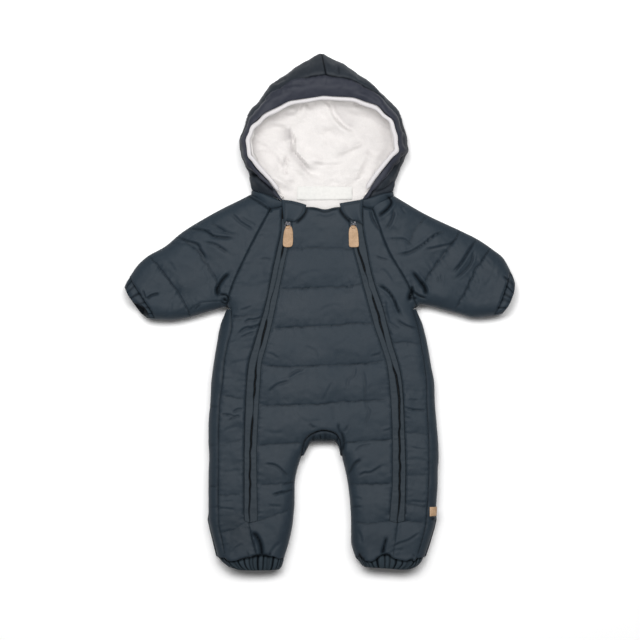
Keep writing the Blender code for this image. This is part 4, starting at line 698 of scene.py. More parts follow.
for entry in CREASES:
    press(*entry)

# puckers along stitching, and the loose waves of the shell over its wadding
near_line = np.exp(-sunk / 7.0)
near_seam = np.exp(-seam_near / 6.5)
upright = noise(11, 8.5, 34.0)
level = noise(12, 34.0, 9.0)
slant_l = noise(13, 9.0, 32.0, math.radians(35))
slant_r = noise(14, 9.0, 32.0, math.radians(-35))
gx, gy = np.meshgrid(XS, YS)
arm_l = np.clip((-gx - 130) / 25, 0, 1) * (gy > -15)
arm_r = np.clip((gx - 134) / 25, 0, 1) * (gy > -15)
trunk = 1 - np.maximum(arm_l, arm_r)
relief += 0.15 * near_line * upright * trunk + 0.36 * near_line * (slant_r * arm_l + slant_l * arm_r)
outer_part = np.clip((np.abs(gx - 5) - 62) / 30, 0, 1)
relief += near_seam * level * (0.08 + 0.24 * outer_part) * trunk
relief += 0.42 * noise(21, 62.0) + 0.3 * noise(22, 38.0, 60.0, 1.1) * (0.4 + 0.6 * outer_part) + 0.13 * noise(23, 17.0)
relief += 0.07 * noise(24, 6.0) * (0.4 + near_seam + near_line)
# painted shade in the hollows of the puckers
fine = np.clip(near_line * upright * 0.5 + near_seam * level * 0.5, -1, 1)
dark = np.maximum(dark, np.clip(-fine, 0, 1) * 0.07)


def top(x, y, d=None, base=None):
    """Height of the cloth that faces up."""
    d = edge_distance(x, y) if d is None else d
    high = (read(height, x, y) if base is None else base) + read(relief, x, y)
    high = np.maximum(high, EDGE_Z + 4.0)
    return EDGE_Z + (high - EDGE_Z) * rise(d, ROUND_TOP)


# the side that lies on the surface: flat, with the same lines pressed up
under_relief = np.zeros((NY, NX))
for y in (91.3, 37.7, -18.8, -75.4, -129.0, -187.0, -246.5, -304.5):
    x = np.linspace(-150, 160, 40)
    line = np.stack([x, y + 2.2 * np.sin(x / 47.0 + y)], 1)
    where, d, along, side, size = near(line, 14.0)
    under_relief[where] = np.maximum(under_relief[where], 2.2 * np.exp(-(d / 3.6) ** 2))
for side in ("left", "right"):
    for u in (1.0, 2.0, 4.0):
        p = table_plan(SLEEVE[side], np.array([u]), np.linspace(0.03, 0.97, 30))[0]
        where, d, along, s, size = near(p, 14.0)
        under_relief[where] = np.maximum(under_relief[where], 2.0 * np.exp(-(d / 3.4) ** 2))
    where, d, along, s, size = near(raglan_line(side), 10.0)
    under_relief[where] = np.maximum(under_relief[where], 1.8 * np.exp(-(d / 2.0) ** 2))
crumple = np.clip(noise(31, 26.0, 60.0, 0.4) - 1.15, 0, 2) * 0.9
under_relief = np.maximum(under_relief, crumple)
# painted shade along the pressed-up lines of the underside
under_dark = np.clip(under_relief / 2.2, 0, 1) * 0.5


def low(x, y, d=None, floor=0.0):
    d = edge_distance(x, y) if d is None else d
    z = floor + (EDGE_Z - floor) * (1 - rise(d, ROUND_LOW))
    return z + read(under_relief, x, y) * np.clip(d / ROUND_LOW, 0, 1)


# ---- materials ----
def base_material(name):
    m = bpy.data.materials.new(name)
    m.use_nodes = True
    nt = m.node_tree
    return m, nt, nt.nodes["Principled BSDF"]


def link(nt, a, b):
    nt.links.new(a, b)


def node(nt, kind, **values):
    n = nt.nodes.new(kind)
    for key, value in values.items():
        if key in n.inputs:
            n.inputs[key].default_value = value
        else:
            setattr(n, key, value)
    return n


def mixed(nt, kind, factor, a, b):
    """A colour mix: factor, a and b are sockets or plain values."""
    n = nt.nodes.new("ShaderNodeMix")
    n.data_type = "RGBA"
    n.blend_type = kind
    n.clamp_result = False
    for socket, value in ((n.inputs[0], factor), (n.inputs[6], a), (n.inputs[7], b)):
        if isinstance(value, bpy.types.NodeSocket):
            link(nt, value, socket)
        else:
            socket.default_value = value
    return n.outputs[2]


def ramp(nt, source, stops):
    n = nt.nodes.new("ShaderNodeValToRGB")
    e = n.color_ramp.elements
    e[0].position, e[0].color = stops[0][0], (*[stops[0][1]] * 3, 1)
    e[1].position, e[1].color = stops[1][0], (*[stops[1][1]] * 3, 1)
    link(nt, source, n.inputs[0])
    return n.outputs[0]


def cloth(name, colour, shade, rough=0.60, sheen=0.05, weave=0.5, pitch=0.00062, bump=0.00005, specular=0.22):
    """Woven nylon: plain weave, faint unevenness in hue, painted shade along seams and creases."""
    m, nt, bsdf = base_material(name)
    co = node(nt, "ShaderNodeTexCoord").outputs["Object"]
    big = node(nt, "ShaderNodeTexNoise", Scale=16.0, Detail=3.0, Roughness=0.55)
    small = node(nt, "ShaderNodeTexNoise", Scale=230.0, Detail=2.0)
    for n in (big, small):
        link(nt, co, n.inputs["Vector"])
    tone = mixed(nt, "MIX", ramp(nt, big.outputs["Fac"], ((0.36, 0.0), (0.66, 1.0))),
                 (*[c * 0.96 for c in colour], 1), (colour[0] * 1.05, colour[1] * 1.04, colour[2] * 1.03, 1))
    tone = mixed(nt, "MULTIPLY", 0.5, tone, ramp(nt, small.outputs["Fac"], ((0.3, 0.93), (0.7, 1.06))))
    # the dark attribute mixes in the colour of the painted shade
    attr = node(nt, "ShaderNodeAttribute", attribute_name="dark")
    tone = mixed(nt, "MIX", attr.outputs["Fac"], tone, (*shade, 1))
    link(nt, tone, bsdf.inputs["Base Color"])
    waves = []
    for direction in ("X", "Y"):
        w = node(nt, "ShaderNodeTexWave", Scale=1.0 / pitch / 6.2832, Distortion=0.6, Detail=1.0)
        w.wave_type, w.bands_direction = "BANDS", direction
        link(nt, co, w.inputs["Vector"])
        waves.append(w)
    both = node(nt, "ShaderNodeMath", operation="ADD")
    link(nt, waves[0].outputs["Fac"], both.inputs[0])
    link(nt, waves[1].outputs["Fac"], both.inputs[1])
    weaved = node(nt, "ShaderNodeBump", Strength=weave, Distance=bump)
    link(nt, both.outputs[0], weaved.inputs["Height"])
    crisp = node(nt, "ShaderNodeTexNoise", Scale=95.0, Detail=4.0, Roughness=0.6)
    link(nt, co, crisp.inputs["Vector"])
    creased = node(nt, "ShaderNodeBump", Strength=0.3, Distance=0.0006)
    link(nt, crisp.outputs["Fac"], creased.inputs["Height"])
    link(nt, weaved.outputs[0], creased.inputs["Normal"])
    link(nt, creased.outputs[0], bsdf.inputs["Normal"])
    link(nt, ramp(nt, big.outputs["Fac"], ((0.3, rough - 0.04), (0.7, rough + 0.05))), bsdf.inputs["Roughness"])
    # where the painted shade lies, the specular and sheen are dimmed too
    for socket, amount in (("Specular IOR Level", specular), ("Sheen Weight", sheen)):
        less = node(nt, "ShaderNodeMath", operation="MULTIPLY_ADD")
        link(nt, attr.outputs["Fac"], less.inputs[0])
        less.inputs[1].default_value, less.inputs[2].default_value = -0.94 * amount, amount
        bsdf.inputs[socket].default_value = amount
        link(nt, less.outputs[0], bsdf.inputs[socket])
    bsdf.inputs["Sheen Roughness"].default_value = 0.45
    bsdf.inputs["Sheen Tint"].default_value = (0.75, 0.85, 1.0, 1)
    m.diffuse_color = (*colour, 1)
    return m


def terry(name, colour, shade, scale=620.0, bump=0.0009):
    """Cotton terry: small curly loops."""
    m, nt, bsdf = base_material(name)
    co = node(nt, "ShaderNodeTexCoord").outputs["Object"]
    warp = node(nt, "ShaderNodeTexNoise", Scale=scale * 0.6, Detail=2.0)
    link(nt, co, warp.inputs["Vector"])
    bent = node(nt, "ShaderNodeVectorMath", operation="MULTIPLY_ADD")
    link(nt, warp.outputs["Color"], bent.inputs[0])
    bent.inputs[1].default_value = (0.0022, 0.0022, 0.0022)
    link(nt, co, bent.inputs[2])
    loops = node(nt, "ShaderNodeTexVoronoi", Scale=scale)
    loops.feature = "SMOOTH_F1"
    link(nt, bent.outputs[0], loops.inputs["Vector"])
    patch = node(nt, "ShaderNodeTexNoise", Scale=28.0, Detail=4.0, Roughness=0.6)
    link(nt, co, patch.inputs["Vector"])
    tone = mixed(nt, "MIX", ramp(nt, patch.outputs["Fac"], ((0.35, 0.0), (0.65, 1.0))), (*[c * 0.965 for c in colour], 1), (*colour, 1))
    tone = mixed(nt, "MULTIPLY", 0.2, tone, ramp(nt, loops.outputs["Distance"], ((0.1, 1.05), (0.75, 0.76))))
    # the dark attribute mixes in painted shade, for the folds of the lining
    attr = node(nt, "ShaderNodeAttribute", attribute_name="dark")
    tone = mixed(nt, "MIX", attr.outputs["Fac"], tone, (*shade, 1))
    link(nt, tone, bsdf.inputs["Base Color"])
    b = node(nt, "ShaderNodeBump", Strength=0.36, Distance=bump)
    b.invert = True
    link(nt, loops.outputs["Distance"], b.inputs["Height"])
    c = node(nt, "ShaderNodeBump", Strength=0.35, Distance=0.0016)
    link(nt, patch.outputs["Fac"], c.inputs["Height"])
    link(nt, b.outputs[0], c.inputs["Normal"])
    link(nt, c.outputs[0], bsdf.inputs["Normal"])
    bsdf.inputs["Roughness"].default_value = 0.95
    bsdf.inputs["Specular IOR Level"].default_value = 0.15
    bsdf.inputs["Sheen Weight"].default_value = 0.25
    m.diffuse_color = (*colour, 1)
    return m


def hide(name, colour):
    m, nt, bsdf = base_material(name)
    co = node(nt, "ShaderNodeTexCoord").outputs["Object"]
    grain = node(nt, "ShaderNodeTexVoronoi", Scale=1150.0)
    pores = node(nt, "ShaderNodeTexNoise", Scale=420.0, Detail=5.0, Roughness=0.65)
    cloud = node(nt, "ShaderNodeTexNoise", Scale=70.0, Detail=3.0)
    for n in (grain, pores, cloud):
        link(nt, co, n.inputs["Vector"])
    tone = mixed(nt, "MIX", ramp(nt, cloud.outputs["Fac"], ((0.35, 0.0), (0.68, 1.0))),
                 (colour[0] * 0.84, colour[1] * 0.8, colour[2] * 0.74, 1), (colour[0] * 1.08, colour[1] * 1.08, colour[2] * 1.1, 1))
    tone = mixed(nt, "MULTIPLY", 0.45, tone, ramp(nt, pores.outputs["Fac"], ((0.32, 0.6), (0.6, 1.15))))
    attr = node(nt, "ShaderNodeAttribute", attribute_name="dark")
    tone = mixed(nt, "MIX", attr.outputs["Fac"], tone, (colour[0] * 1.35, colour[1] * 1.45, colour[2] * 1.6, 1))
    link(nt, tone, bsdf.inputs["Base Color"])
    a = node(nt, "ShaderNodeBump", Strength=0.5, Distance=0.00018)
    link(nt, grain.outputs["Distance"], a.inputs["Height"])
    b = node(nt, "ShaderNodeBump", Strength=0.5, Distance=0.00025)
    link(nt, pores.outputs["Fac"], b.inputs["Height"])
    link(nt, a.outputs[0], b.inputs["Normal"])
    link(nt, b.outputs[0], bsdf.inputs["Normal"])
    bsdf.inputs["Roughness"].default_value = 0.58
    bsdf.inputs["Specular IOR Level"].default_value = 0.4
    m.diffuse_color = (*colour, 1)
    return m


def metal(name, colour, rough):
    m, nt, bsdf = base_material(name)
    co = node(nt, "ShaderNodeTexCoord").outputs["Object"]
    n = node(nt, "ShaderNodeTexNoise", Scale=500.0, Detail=3.0)
    link(nt, co, n.inputs["Vector"])
    link(nt, ramp(nt, n.outputs["Fac"], ((0.3, rough - 0.08), (0.7, rough + 0.12))), bsdf.inputs["Roughness"])
    link(nt, mixed(nt, "MIX", n.outputs["Fac"], (*[c * 0.8 for c in colour], 1), (*[min(1, c * 1.15) for c in colour], 1)), bsdf.inputs["Base Color"])
    b = node(nt, "ShaderNodeBump", Strength=0.25, Distance=0.00003)
    link(nt, n.outputs["Fac"], b.inputs["Height"])
    link(nt, b.outputs[0], bsdf.inputs["Normal"])
    bsdf.inputs["Metallic"].default_value = 1.0
    m.diffuse_color = (*colour, 1)
    return m


# The second colour given to each cloth and terry is the colour of its painted shade, mixed in by the dark attribute.
NAVY = (0.0176, 0.0280, 0.0392)
SHADE_BLACK = (0.0020, 0.0030, 0.0042)
M_SHELL = cloth("shell_nylon", NAVY, SHADE_BLACK)
M_BRIM = cloth("brim_nylon", (0.0278, 0.0312, 0.0446), SHADE_BLACK)
M_HOOD = cloth("hood_nylon", (0.0190, 0.0245, 0.0325), SHADE_BLACK)
M_STRIP = cloth("zip_strip_nylon", (0.0210, 0.0305, 0.0400), SHADE_BLACK, rough=0.66)
M_BAND = cloth("elastic_band", (0.0215, 0.0330, 0.0430), (0.0015, 0.002, 0.003), rough=0.72, sheen=0.05, specular=0.18)
M_TAPE = cloth("zip_tape_weave", (0.0030, 0.0040, 0.0050), (0.001, 0.001, 0.0015), rough=0.8, sheen=0.05, pitch=0.0009, bump=0.00012, specular=0.2)
M_THREAD = cloth("thread", (0.030, 0.040, 0.050), SHADE_BLACK, rough=0.7, pitch=0.0003)
M_LINING = terry("lining_terry", (0.735, 0.708, 0.692), (0.38, 0.36, 0.36))
M_RIM = terry("rim_terry", (0.672, 0.652, 0.660), (0.45, 0.43, 0.48), scale=700.0, bump=0.0011)
M_LABEL = cloth("label_satin", (0.700, 0.695, 0.672), (0.40, 0.40, 0.40), rough=0.55, sheen=0.05, pitch=0.0004, bump=0.00004)
M_LEATHER = hide("leather_grain", (0.44, 0.290, 0.172))
# a darker copy of the leather for the left pull: painted shade
M_LEATHER_SHADED = hide("leather_grain_shaded", (0.390, 0.250, 0.142))
M_METAL = metal("dark_nickel", (0.075, 0.075, 0.082), 0.5)
M_COIL = metal("zip_coil", (0.0015, 0.002, 0.003), 0.7)
M_COIL.node_tree.nodes["Principled BSDF"].inputs["Metallic"].default_value = 0.0


# ---- meshes ----
def make(name, points, faces, mat, nodes=(), shades=None, sharp=50.0, ride="garment"):
    """A closed mesh piece: points in mm, faces as rows of four corners."""
    points, faces = np.asarray(points, float), np.asarray(faces, np.int64)
    used, new = np.unique(faces, return_inverse=True)
    faces = new.reshape(faces.shape)
    points = points[used]
    a, b, c, d = (points[faces[:, k]] for k in range(4))
    volume = np.einsum("ij,ij->i", a, np.cross(b, c)).sum() + np.einsum("ij,ij->i", a, np.cross(c, d)).sum()
    if volume < 0:
        faces = faces[:, ::-1]
    mesh = bpy.data.meshes.new(name)
    mesh.vertices.add(len(points))
    mesh.vertices.foreach_set("co", (points * MM).astype(np.float32).ravel())
    mesh.loops.add(faces.size)
    mesh.loops.foreach_set("vertex_index", faces.ravel().astype(np.int32))
    mesh.polygons.add(len(faces))
    mesh.polygons.foreach_set("loop_start", np.arange(0, faces.size, 4, dtype=np.int32))
    mesh.update(calc_edges=True)
    mesh.validate(clean_customdata=False)
    field = mesh.attributes.new("dark", "FLOAT", "POINT")
    values = np.zeros(len(points)) if shades is None else np.asarray(shades, float)[used]
    field.data.foreach_set("value", values.astype(np.float32))
    mesh.materials.append(mat)
    mesh.shade_smooth()
    if sharp:
        mesh.set_sharp_from_angle(angle=math.radians(sharp))
    obj = bpy.data.objects.new(name, mesh)
    bpy.context.scene.collection.objects.link(obj)
    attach(obj, ride)
    if nodes:
        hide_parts(*nodes)
    return obj


def wall(name, outer, inner, mat, nodes=(), active=None, ring=False, shades=None, hidden=0.85, sharp=50.0):
    """Cloth between two grids of points, closed round every open border."""
    outer, inner = np.asarray(outer, float), np.asarray(inner, float)
    rows, cols = outer.shape[:2]
    spans = cols if ring else cols - 1
    act = np.ones((rows - 1, spans), bool) if active is None else active
    i, j = np.nonzero(act)
    jn = (j + 1) % cols
    a, b, c, d = i * cols + j, i * cols + jn, (i + 1) * cols + jn, (i + 1) * cols + j
    n = rows * cols
    quads = [np.stack([a, b, c, d], 1), np.stack([a, d, c, b], 1) + n]
    pad = np.zeros((rows + 1, spans + 2), bool)
    pad[1:rows, 1:spans + 1] = act
    if ring:
        pad[:, 0], pad[:, -1] = pad[:, spans], pad[:, 1]
    for open_side, p, q in ((~pad[i, j + 1], a, b), (~pad[i + 1, j + 2], b, c), (~pad[i + 2, j + 1], c, d), (~pad[i + 1, j], d, a)):
        p, q = p[open_side], q[open_side]
        quads.append(np.stack([q, p, p + n, q + n], 1))
    values = np.zeros((rows, cols)) if shades is None else shades
    # the inside of the wall gets painted shade of strength hidden
    values = np.concatenate([values.ravel(), np.full(n, hidden)])
    return make(name, np.concatenate([outer.reshape(-1, 3), inner.reshape(-1, 3)]), np.concatenate(quads), mat, nodes, values, sharp)


def spread(n, ease=0.0):
    """n + 1 shares from 0 to 1, closer together at 1 as ease grows."""
    t = np.linspace(0, 1, n + 1)
    return mix(t, 1 - (1 - t) ** 2, ease)


made = {}

# ---- front ----
ROWS = np.concatenate([np.linspace(152.2, CROTCH_Y, 232), np.linspace(CROTCH_Y, -353.8, 118)[1:]])


def front_centre():
    ys = ROWS
    zl, zr = body("zi_l", ys) - 0.02, body("zi_r", ys) + 0.02
    il, ir = body("in_l", ys), body("in_r", ys)
    side = spread(38, 0.2)
    mid = np.linspace(0, 1, 27)[1:-1]
    x = np.concatenate([mix(zl[:, None], il[:, None], side), mix(il[:, None], ir[:, None], mid), mix(zr[:, None], ir[:, None], side)[:, ::-1]], 1)
    y = np.repeat(ys[:, None], x.shape[1], 1)
    # the crotch seam rises in the middle
    n = len(side)
    t = np.concatenate([[0.0], mid, [1.0]])
    seam = smooth((0, 0.25, 0.5, 0.75, 1.0), ((-22.5, -187.0), (-12.3, -175.0), (5.1, -169.2), (22.5, -173.5), (30.4, -187.0)), t)
    weight = np.interp(ys, (-187.0, -172.5, -158.0, -129.0), (1.0, 0.64, 0.36, 0.0))
    weight[ys < CROTCH_Y - 0.01] = 0.0
    base_x, base_y = mix(-22.5, 30.4, t), np.full(len(t), -187.0)
    cols = slice(n - 1, n - 1 + len(t))
    x[:, cols] += weight[:, None] * (seam[:, 0] - base_x)
    y[:, cols] += weight[:, None] * (seam[:, 1] - base_y)
    y += hem_rise(x) * np.exp(-((ys + 353.8)[:, None] / 8.0) ** 2)
    # the top edge dips in the middle under the chin
    dip = np.clip((ys - 128.0) / 24.2, 0, 1)[:, None] ** 2
    y += dip * (1.3 - 3.6 * np.exp(-((x - 8.0) / 11.0) ** 2))
    y[-1] -= 0.2
    d = edge_distance(x, y)
    z = top(x, y, d)
    leg = (ys < LEG_TOP + 0.5)[:, None]
    edge_cols = np.zeros(x.shape, bool)
    edge_cols[:, n - 1] = edge_cols[:, n - 1 + len(t) - 1] = True
    z = np.where(leg & edge_cols, EDGE_Z + 0.15, z)
    # the top and hem ends turn down
    z -= 5.0 * np.exp(-((152.4 - ys)[:, None] / 1.6) ** 2)
    z[-1] -= 1.2
    turn = np.zeros(x.shape)
    turn[:, :n] = -1.0
    turn[:, n - 1 + len(t) - 1:] = 1.0
    push = turn * 8.0 * np.maximum(0.0, 1 - d / 20.0) * (leg | (ys < CROTCH_Y)[:, None])
    inner = np.stack([x + push, y, np.full(x.shape, FRONT_IN)], 2)
    inner[..., 2] = np.where(leg & edge_cols, EDGE_Z + 0.15, inner[..., 2])
    active = np.ones((len(ys) - 1, x.shape[1] - 1), bool)
    below = ys[1:] < CROTCH_Y - 0.01
    active[np.ix_(below, np.arange(n - 1, n - 1 + len(t) - 1))] = False
    made["front_centre"] = wall("front_centre_cloth", np.stack([x, y, z], 2), inner, M_SHELL, ["front_centre"],
                                active, shades=read(dark, x, y))


def front_side(side):
    sign, letter = (-1, "l") if side == "left" else (1, "r")
    ys = ROWS
    edge = np.where(ys > ARMPIT_Y + 1.2, raglan(side, ys), body("seam_" + letter, ys))
    join = np.clip((ys - 4.0) / 9.0, 0, 1)
    edge = mix(body("seam_" + letter, ys), raglan(side, np.maximum(ys, 8.7)), join * join * (3 - 2 * join))
    inn = body("zo_" + letter, ys) - sign * 0.02
    f = np.linspace(0, 1, 27)
    x = mix(edge[:, None], inn[:, None], f)
    y = np.repeat(ys[:, None], len(f), 1)
    y += np.clip((ys - 140.0) / 12.2, 0, 1)[:, None] * mix(-2.8, 1.0, f)
    y += hem_rise(x) * np.exp(-((ys + 353.8)[:, None] / 8.0) ** 2)
    y[-1] -= 0.2
    z = top(x, y)
    z -= 3.0 * np.exp(-((152.2 - ys)[:, None] / 1.8) ** 2)
    z[-1] -= 1.2
    inner = np.stack([x, y, np.full(x.shape, FRONT_IN)], 2)
    made["front_side_" + side] = wall("front_side_%s_cloth" % side, np.stack([x, y, z], 2), inner, M_SHELL,
                                      ["front_side_" + side], shades=read(dark, x, y))


def gusset():
    t, f = np.linspace(0, 1, 110), np.concatenate([np.linspace(0, 0.8, 9), (0.88, 0.95, 1.0)])
    a, b = gusset_line(t, 0), gusset_line(t, 2)
    plan = mix(a[:, None, :], b[:, None, :], f[None, :, None])
    x, y = plan[..., 0], plan[..., 1]
    z = top(x, y, base=np.full(x.shape, VALLEY + 1.5)) + 0.3
    rng = np.random.default_rng(5)
    phase = np.cumsum(rng.uniform(0.5, 1.5, len(t)))
    fold = np.sin(phase / phase[-1] * 2 * math.pi * 5.0) + 0.5 * np.sin(phase / phase[-1] * 2 * math.pi * 13.0)
    flat = np.sin(f * math.pi)[None, :] ** 0.6
    z += 0.45 * fold[:, None] * flat
    z[:, -1] = EDGE_Z + 0.15
    g = 0.45 * f
    inn = mix(a[:, None, :], b[:, None, :], g[None, :, None])
    zi = np.full(x.shape, FRONT_IN)
    zi[:, -1] = EDGE_Z + 0.15
    # painted shade in the gusset's folds, deepening towards its lower edge
    shade = np.maximum(read(dark, x, y), np.clip(-fold, 0, 1)[:, None] ** 1.5 * 0.3 * flat + 0.2 + 0.35 * f[None, :] ** 3)
    made["crotch_gusset"] = wall("crotch_gusset_cloth", np.stack([x, y, z], 2), np.dstack([inn, zi]), M_SHELL,
                                 ["crotch_gusset"], shades=shade)


# ---- back ----
def back():
    ys = np.concatenate([np.linspace(149.0, -187.0, 118), np.linspace(-187.0, -287.7, 42)[1:], np.linspace(-288.3, -353.9, 28)])
    strip, round_, floor_n, leg_n, mid_n = spread(9, 0.8), 1 - spread(7, 0.7)[::-1], 21, spread(7, 0.7), 17
    outer, inner, names = [], [], []
    for y in ys:
        leg, sleeve = y <= LEG_TOP + 0.01, y > ARMPIT_Y + 0.5
        floor = FLAP + GAP if y < FLAP_Y else 0.0
        wide = float(np.interp(y, (-18.8, 7.2), (ROUND_LOW, 6.5)))
        halves = {}
        for side, sign in (("left", 1), ("right", -1)):
            letter = side[0]
            edge = float(body(side, y))
            seam = float(body("seam_" + letter, y)) + sign * 0.1
            inn = float(body("in_" + letter, y))
            yi = y
            if not leg and y < CROTCH_Y + 0.01:
                s = (y - LEG_TOP) / (CROTCH_Y - LEG_TOP)
                inn = mix(inn, GUSSET[1][2] if side == "left" else GUSSET[5][2], s)
                yi = mix(y, GUSSET[1][3] if side == "left" else GUSSET[5][3], s)
            elif not leg and y < -158.0:
                s = (-158.0 - y) / 29.0
                inn = mix(inn, GUSSET[1][2] if side == "left" else GUSSET[5][2], s)
                yi = mix(y, GUSSET[1][3] if side == "left" else GUSSET[5][3], s * s)
            thick = EDGE_WALL if y < 0 else 5.0
            o, n = [], []
            if sleeve:
                seam = edge + sign * 5.8
            xs = mix(seam, edge, strip)
            zs = top(xs, np.full(len(xs), y), np.abs(xs - edge))
            zs[-1] = EDGE_Z
            for f, x, z in zip(strip, xs, zs):
                o.append((x, y, z))
                n.append((mix(seam, edge + sign * min(thick, abs(seam - edge) * 0.9), f), y, mix(FRONT_IN, EDGE_Z, f**6)))
            start = float(raglan(side, y)) if sleeve else edge + sign * wide
            for f in round_[1:]:
                d = f * wide
                x = mix(edge, start, f)
                z = floor + (EDGE_Z - floor) * (1 - float(rise(d, ROUND_LOW)))
                if sleeve:
                    z = mix(EDGE_Z, floor, f)
                o.append((x, y, z))
                n.append((mix(edge + sign * thick, start + sign * 2, f), y, BACK_WALL))
            for k in range(1, floor_n + 1):
                x = mix(start, inn - sign * 12.0, k / floor_n)
                o.append((x, y, floor))
                n.append((x, y, BACK_WALL))
            for f in leg_n[1:]:
                away = 12.0 * (1 - f)
                x, yy = inn - sign * away, mix(y, yi, f)
                if leg:
                    z = floor + (EDGE_Z - floor) * (1 - float(rise(away, ROUND_LOW)))
                    if f == 1.0:
                        z = EDGE_Z - 0.15
                    n.append((inn - sign * mix(14.0, 8.0, f), y, mix(BACK_WALL, EDGE_Z - 0.15, f**4)))
                else:
                    d = float(edge_distance(x, yy))
                    z = EDGE_Z - 0.15 if (y < CROTCH_Y + 0.01 and f == 1.0) else floor + (EDGE_Z - floor) * (1 - float(rise(d, ROUND_LOW)))
                    n.append((x - sign * 4.0 * max(0.0, 1 - d / 12.0) * f, yy + 6.0 * max(0.0, 1 - d / 12.0), min(BACK_WALL if f < 1 else z, max(z, BACK_WALL))))
                o.append((x, yy, z))
            halves[side] = (o, n)
        mo, mn = [], []
        lo, ro = halves["left"][0][-1], halves["right"][0][-1]
        for k in range(1, mid_n):
            t = k / mid_n
            x = mix(lo[0], ro[0], t)
            yy = mix(lo[1], ro[1], t)
            if not leg and y < -129.0:
                s = min(1.0, max(0.0, (-129.0 - y) / 58.0)) ** 1.5
                g = gusset_line(1 / 6 + t * 4 / 6, 2)
                if y > CROTCH_Y - 0.01:
                    x, yy = mix(x, g[0], s), mix(y if y > -158 else yy, g[1], s)
            d = float(edge_distance(x, yy))
            z = 0.0 if leg else EDGE_Z * (1 - float(rise(d, ROUND_LOW)))
            if abs(y - CROTCH_Y) < 0.01:
                z = EDGE_Z - 0.15
            mo.append((x, yy, z))
            mn.append((x, yy + 8.0 * max(0.0, 1 - d / 16.0), BACK_WALL if z < BACK_WALL else z))
        outer.append(halves["left"][0] + mo + halves["right"][0][::-1])
        inner.append(halves["left"][1] + mn + halves["right"][1][::-1])
    outer, inner = np.array(outer), np.array(inner)
    x, y, z = outer[..., 0], outer[..., 1], outer[..., 2]
    resting = np.clip((EDGE_Z - z) / 6.0 - 0.7, 0, 1)
    n_half = len(strip)
    is_strip = np.zeros(x.shape, bool)
    is_strip[:, :n_half] = is_strip[:, -n_half:] = True
    z = z + np.where(is_strip, 0.0, read(under_relief, x, y) * resting)
    shade = np.where(is_strip, read(dark, x, y), read(under_dark, x, y) * resting)
    outer = np.stack([x, y, z], 2)
    cells = outer.shape[1] - 1
    cut = n_half + len(round_) - 2
    upto = n_half + len(round_) - 1 + floor_n + len(leg_n) - 2
    active = np.ones((len(ys) - 1, cells), bool)
    high = ys[:-1] > ARMPIT_Y + 0.5
    active[np.ix_(high, np.r_[0:cut, cells - cut:cells])] = False
    low_rows = ys[:-1] <= CROTCH_Y + 0.01
    active[np.ix_(low_rows, np.arange(upto, cells - upto))] = False
    made["back"] = wall("back_cloth", outer, inner, M_SHELL, ["back"], active, shades=shade)


# ---- sleeves, cuffs and hems ----
def ring_shares(top_n, low_n):
    """Shares across the top from the shoulder edge, then back underneath."""
    t = (1 - np.cos(np.linspace(0, math.pi, top_n + 1))) / 2
    t = mix(np.linspace(0, 1, top_n + 1), t, 0.75)
    b = (1 - np.cos(np.linspace(0, math.pi, low_n + 1))) / 2
    return t, b[-2:0:-1]


def sleeve(side):
    u = np.concatenate([np.linspace(0, 1, 44), np.linspace(1, 6, 124)[1:]])
    vt, vb = ring_shares(116, 30)
    v = np.concatenate([vt, vb])
    plan = sleeve_plan(side, u, v)
    under = np.zeros(len(v), bool)
    under[len(vt):] = True
    x, y = plan[..., 0], plan[..., 1]
    size = np.hypot(*np.moveaxis(np.diff(sleeve_plan(side, u, np.linspace(0, 1, 30)), axis=1), 2, 0)).sum(1)
    d = np.minimum(edge_distance(x, y), np.minimum(v, 1 - v)[None, :] * size[:, None] * 1.05)
    z = np.where(under[None, :], low(x, y, d), top(x, y, d))
    inset = np.clip(EDGE_WALL / size, 0.0, 0.45)[:, None]
    q = inset + v[None, :] * (1 - 2 * inset)
    inner = np.zeros(x.shape + (3,))
    for i in range(len(u)):
        inner[i, :, :2] = sleeve_plan(side, u[i:i + 1], q[i])[0] if i else table_plan(SLEEVE[side], u[:1], q[0])[0]
    inner[..., 2] = np.where(under[None, :], BACK_WALL, FRONT_IN)
    inner[:, 0, 2] = inner[:, len(vt) - 1, 2] = EDGE_Z
    shade = np.where(under[None, :], read(under_dark, x, y), read(dark, x, y))
    # an uneven line of painted shade where the sleeve meets its cuff
    shade = np.maximum(shade, (0.25 + 0.3 * np.sin(v * 31 + np.sin(v * 17) * 2)[None, :]) * np.exp(-((6 - u)[:, None] / 0.06) ** 2))
    z = z - np.where(under[None, :], -1.0, 1.0) * 1.6 * np.exp(-((6 - u)[:, None] / 0.07) ** 2) * np.clip(d / 8, 0, 1)
    made["sleeve_" + side] = wall("sleeve_%s_cloth" % side, np.stack([x, y, z], 2), inner, M_SHELL,
                                  ["sleeve_" + side], ring=True, shades=shade)


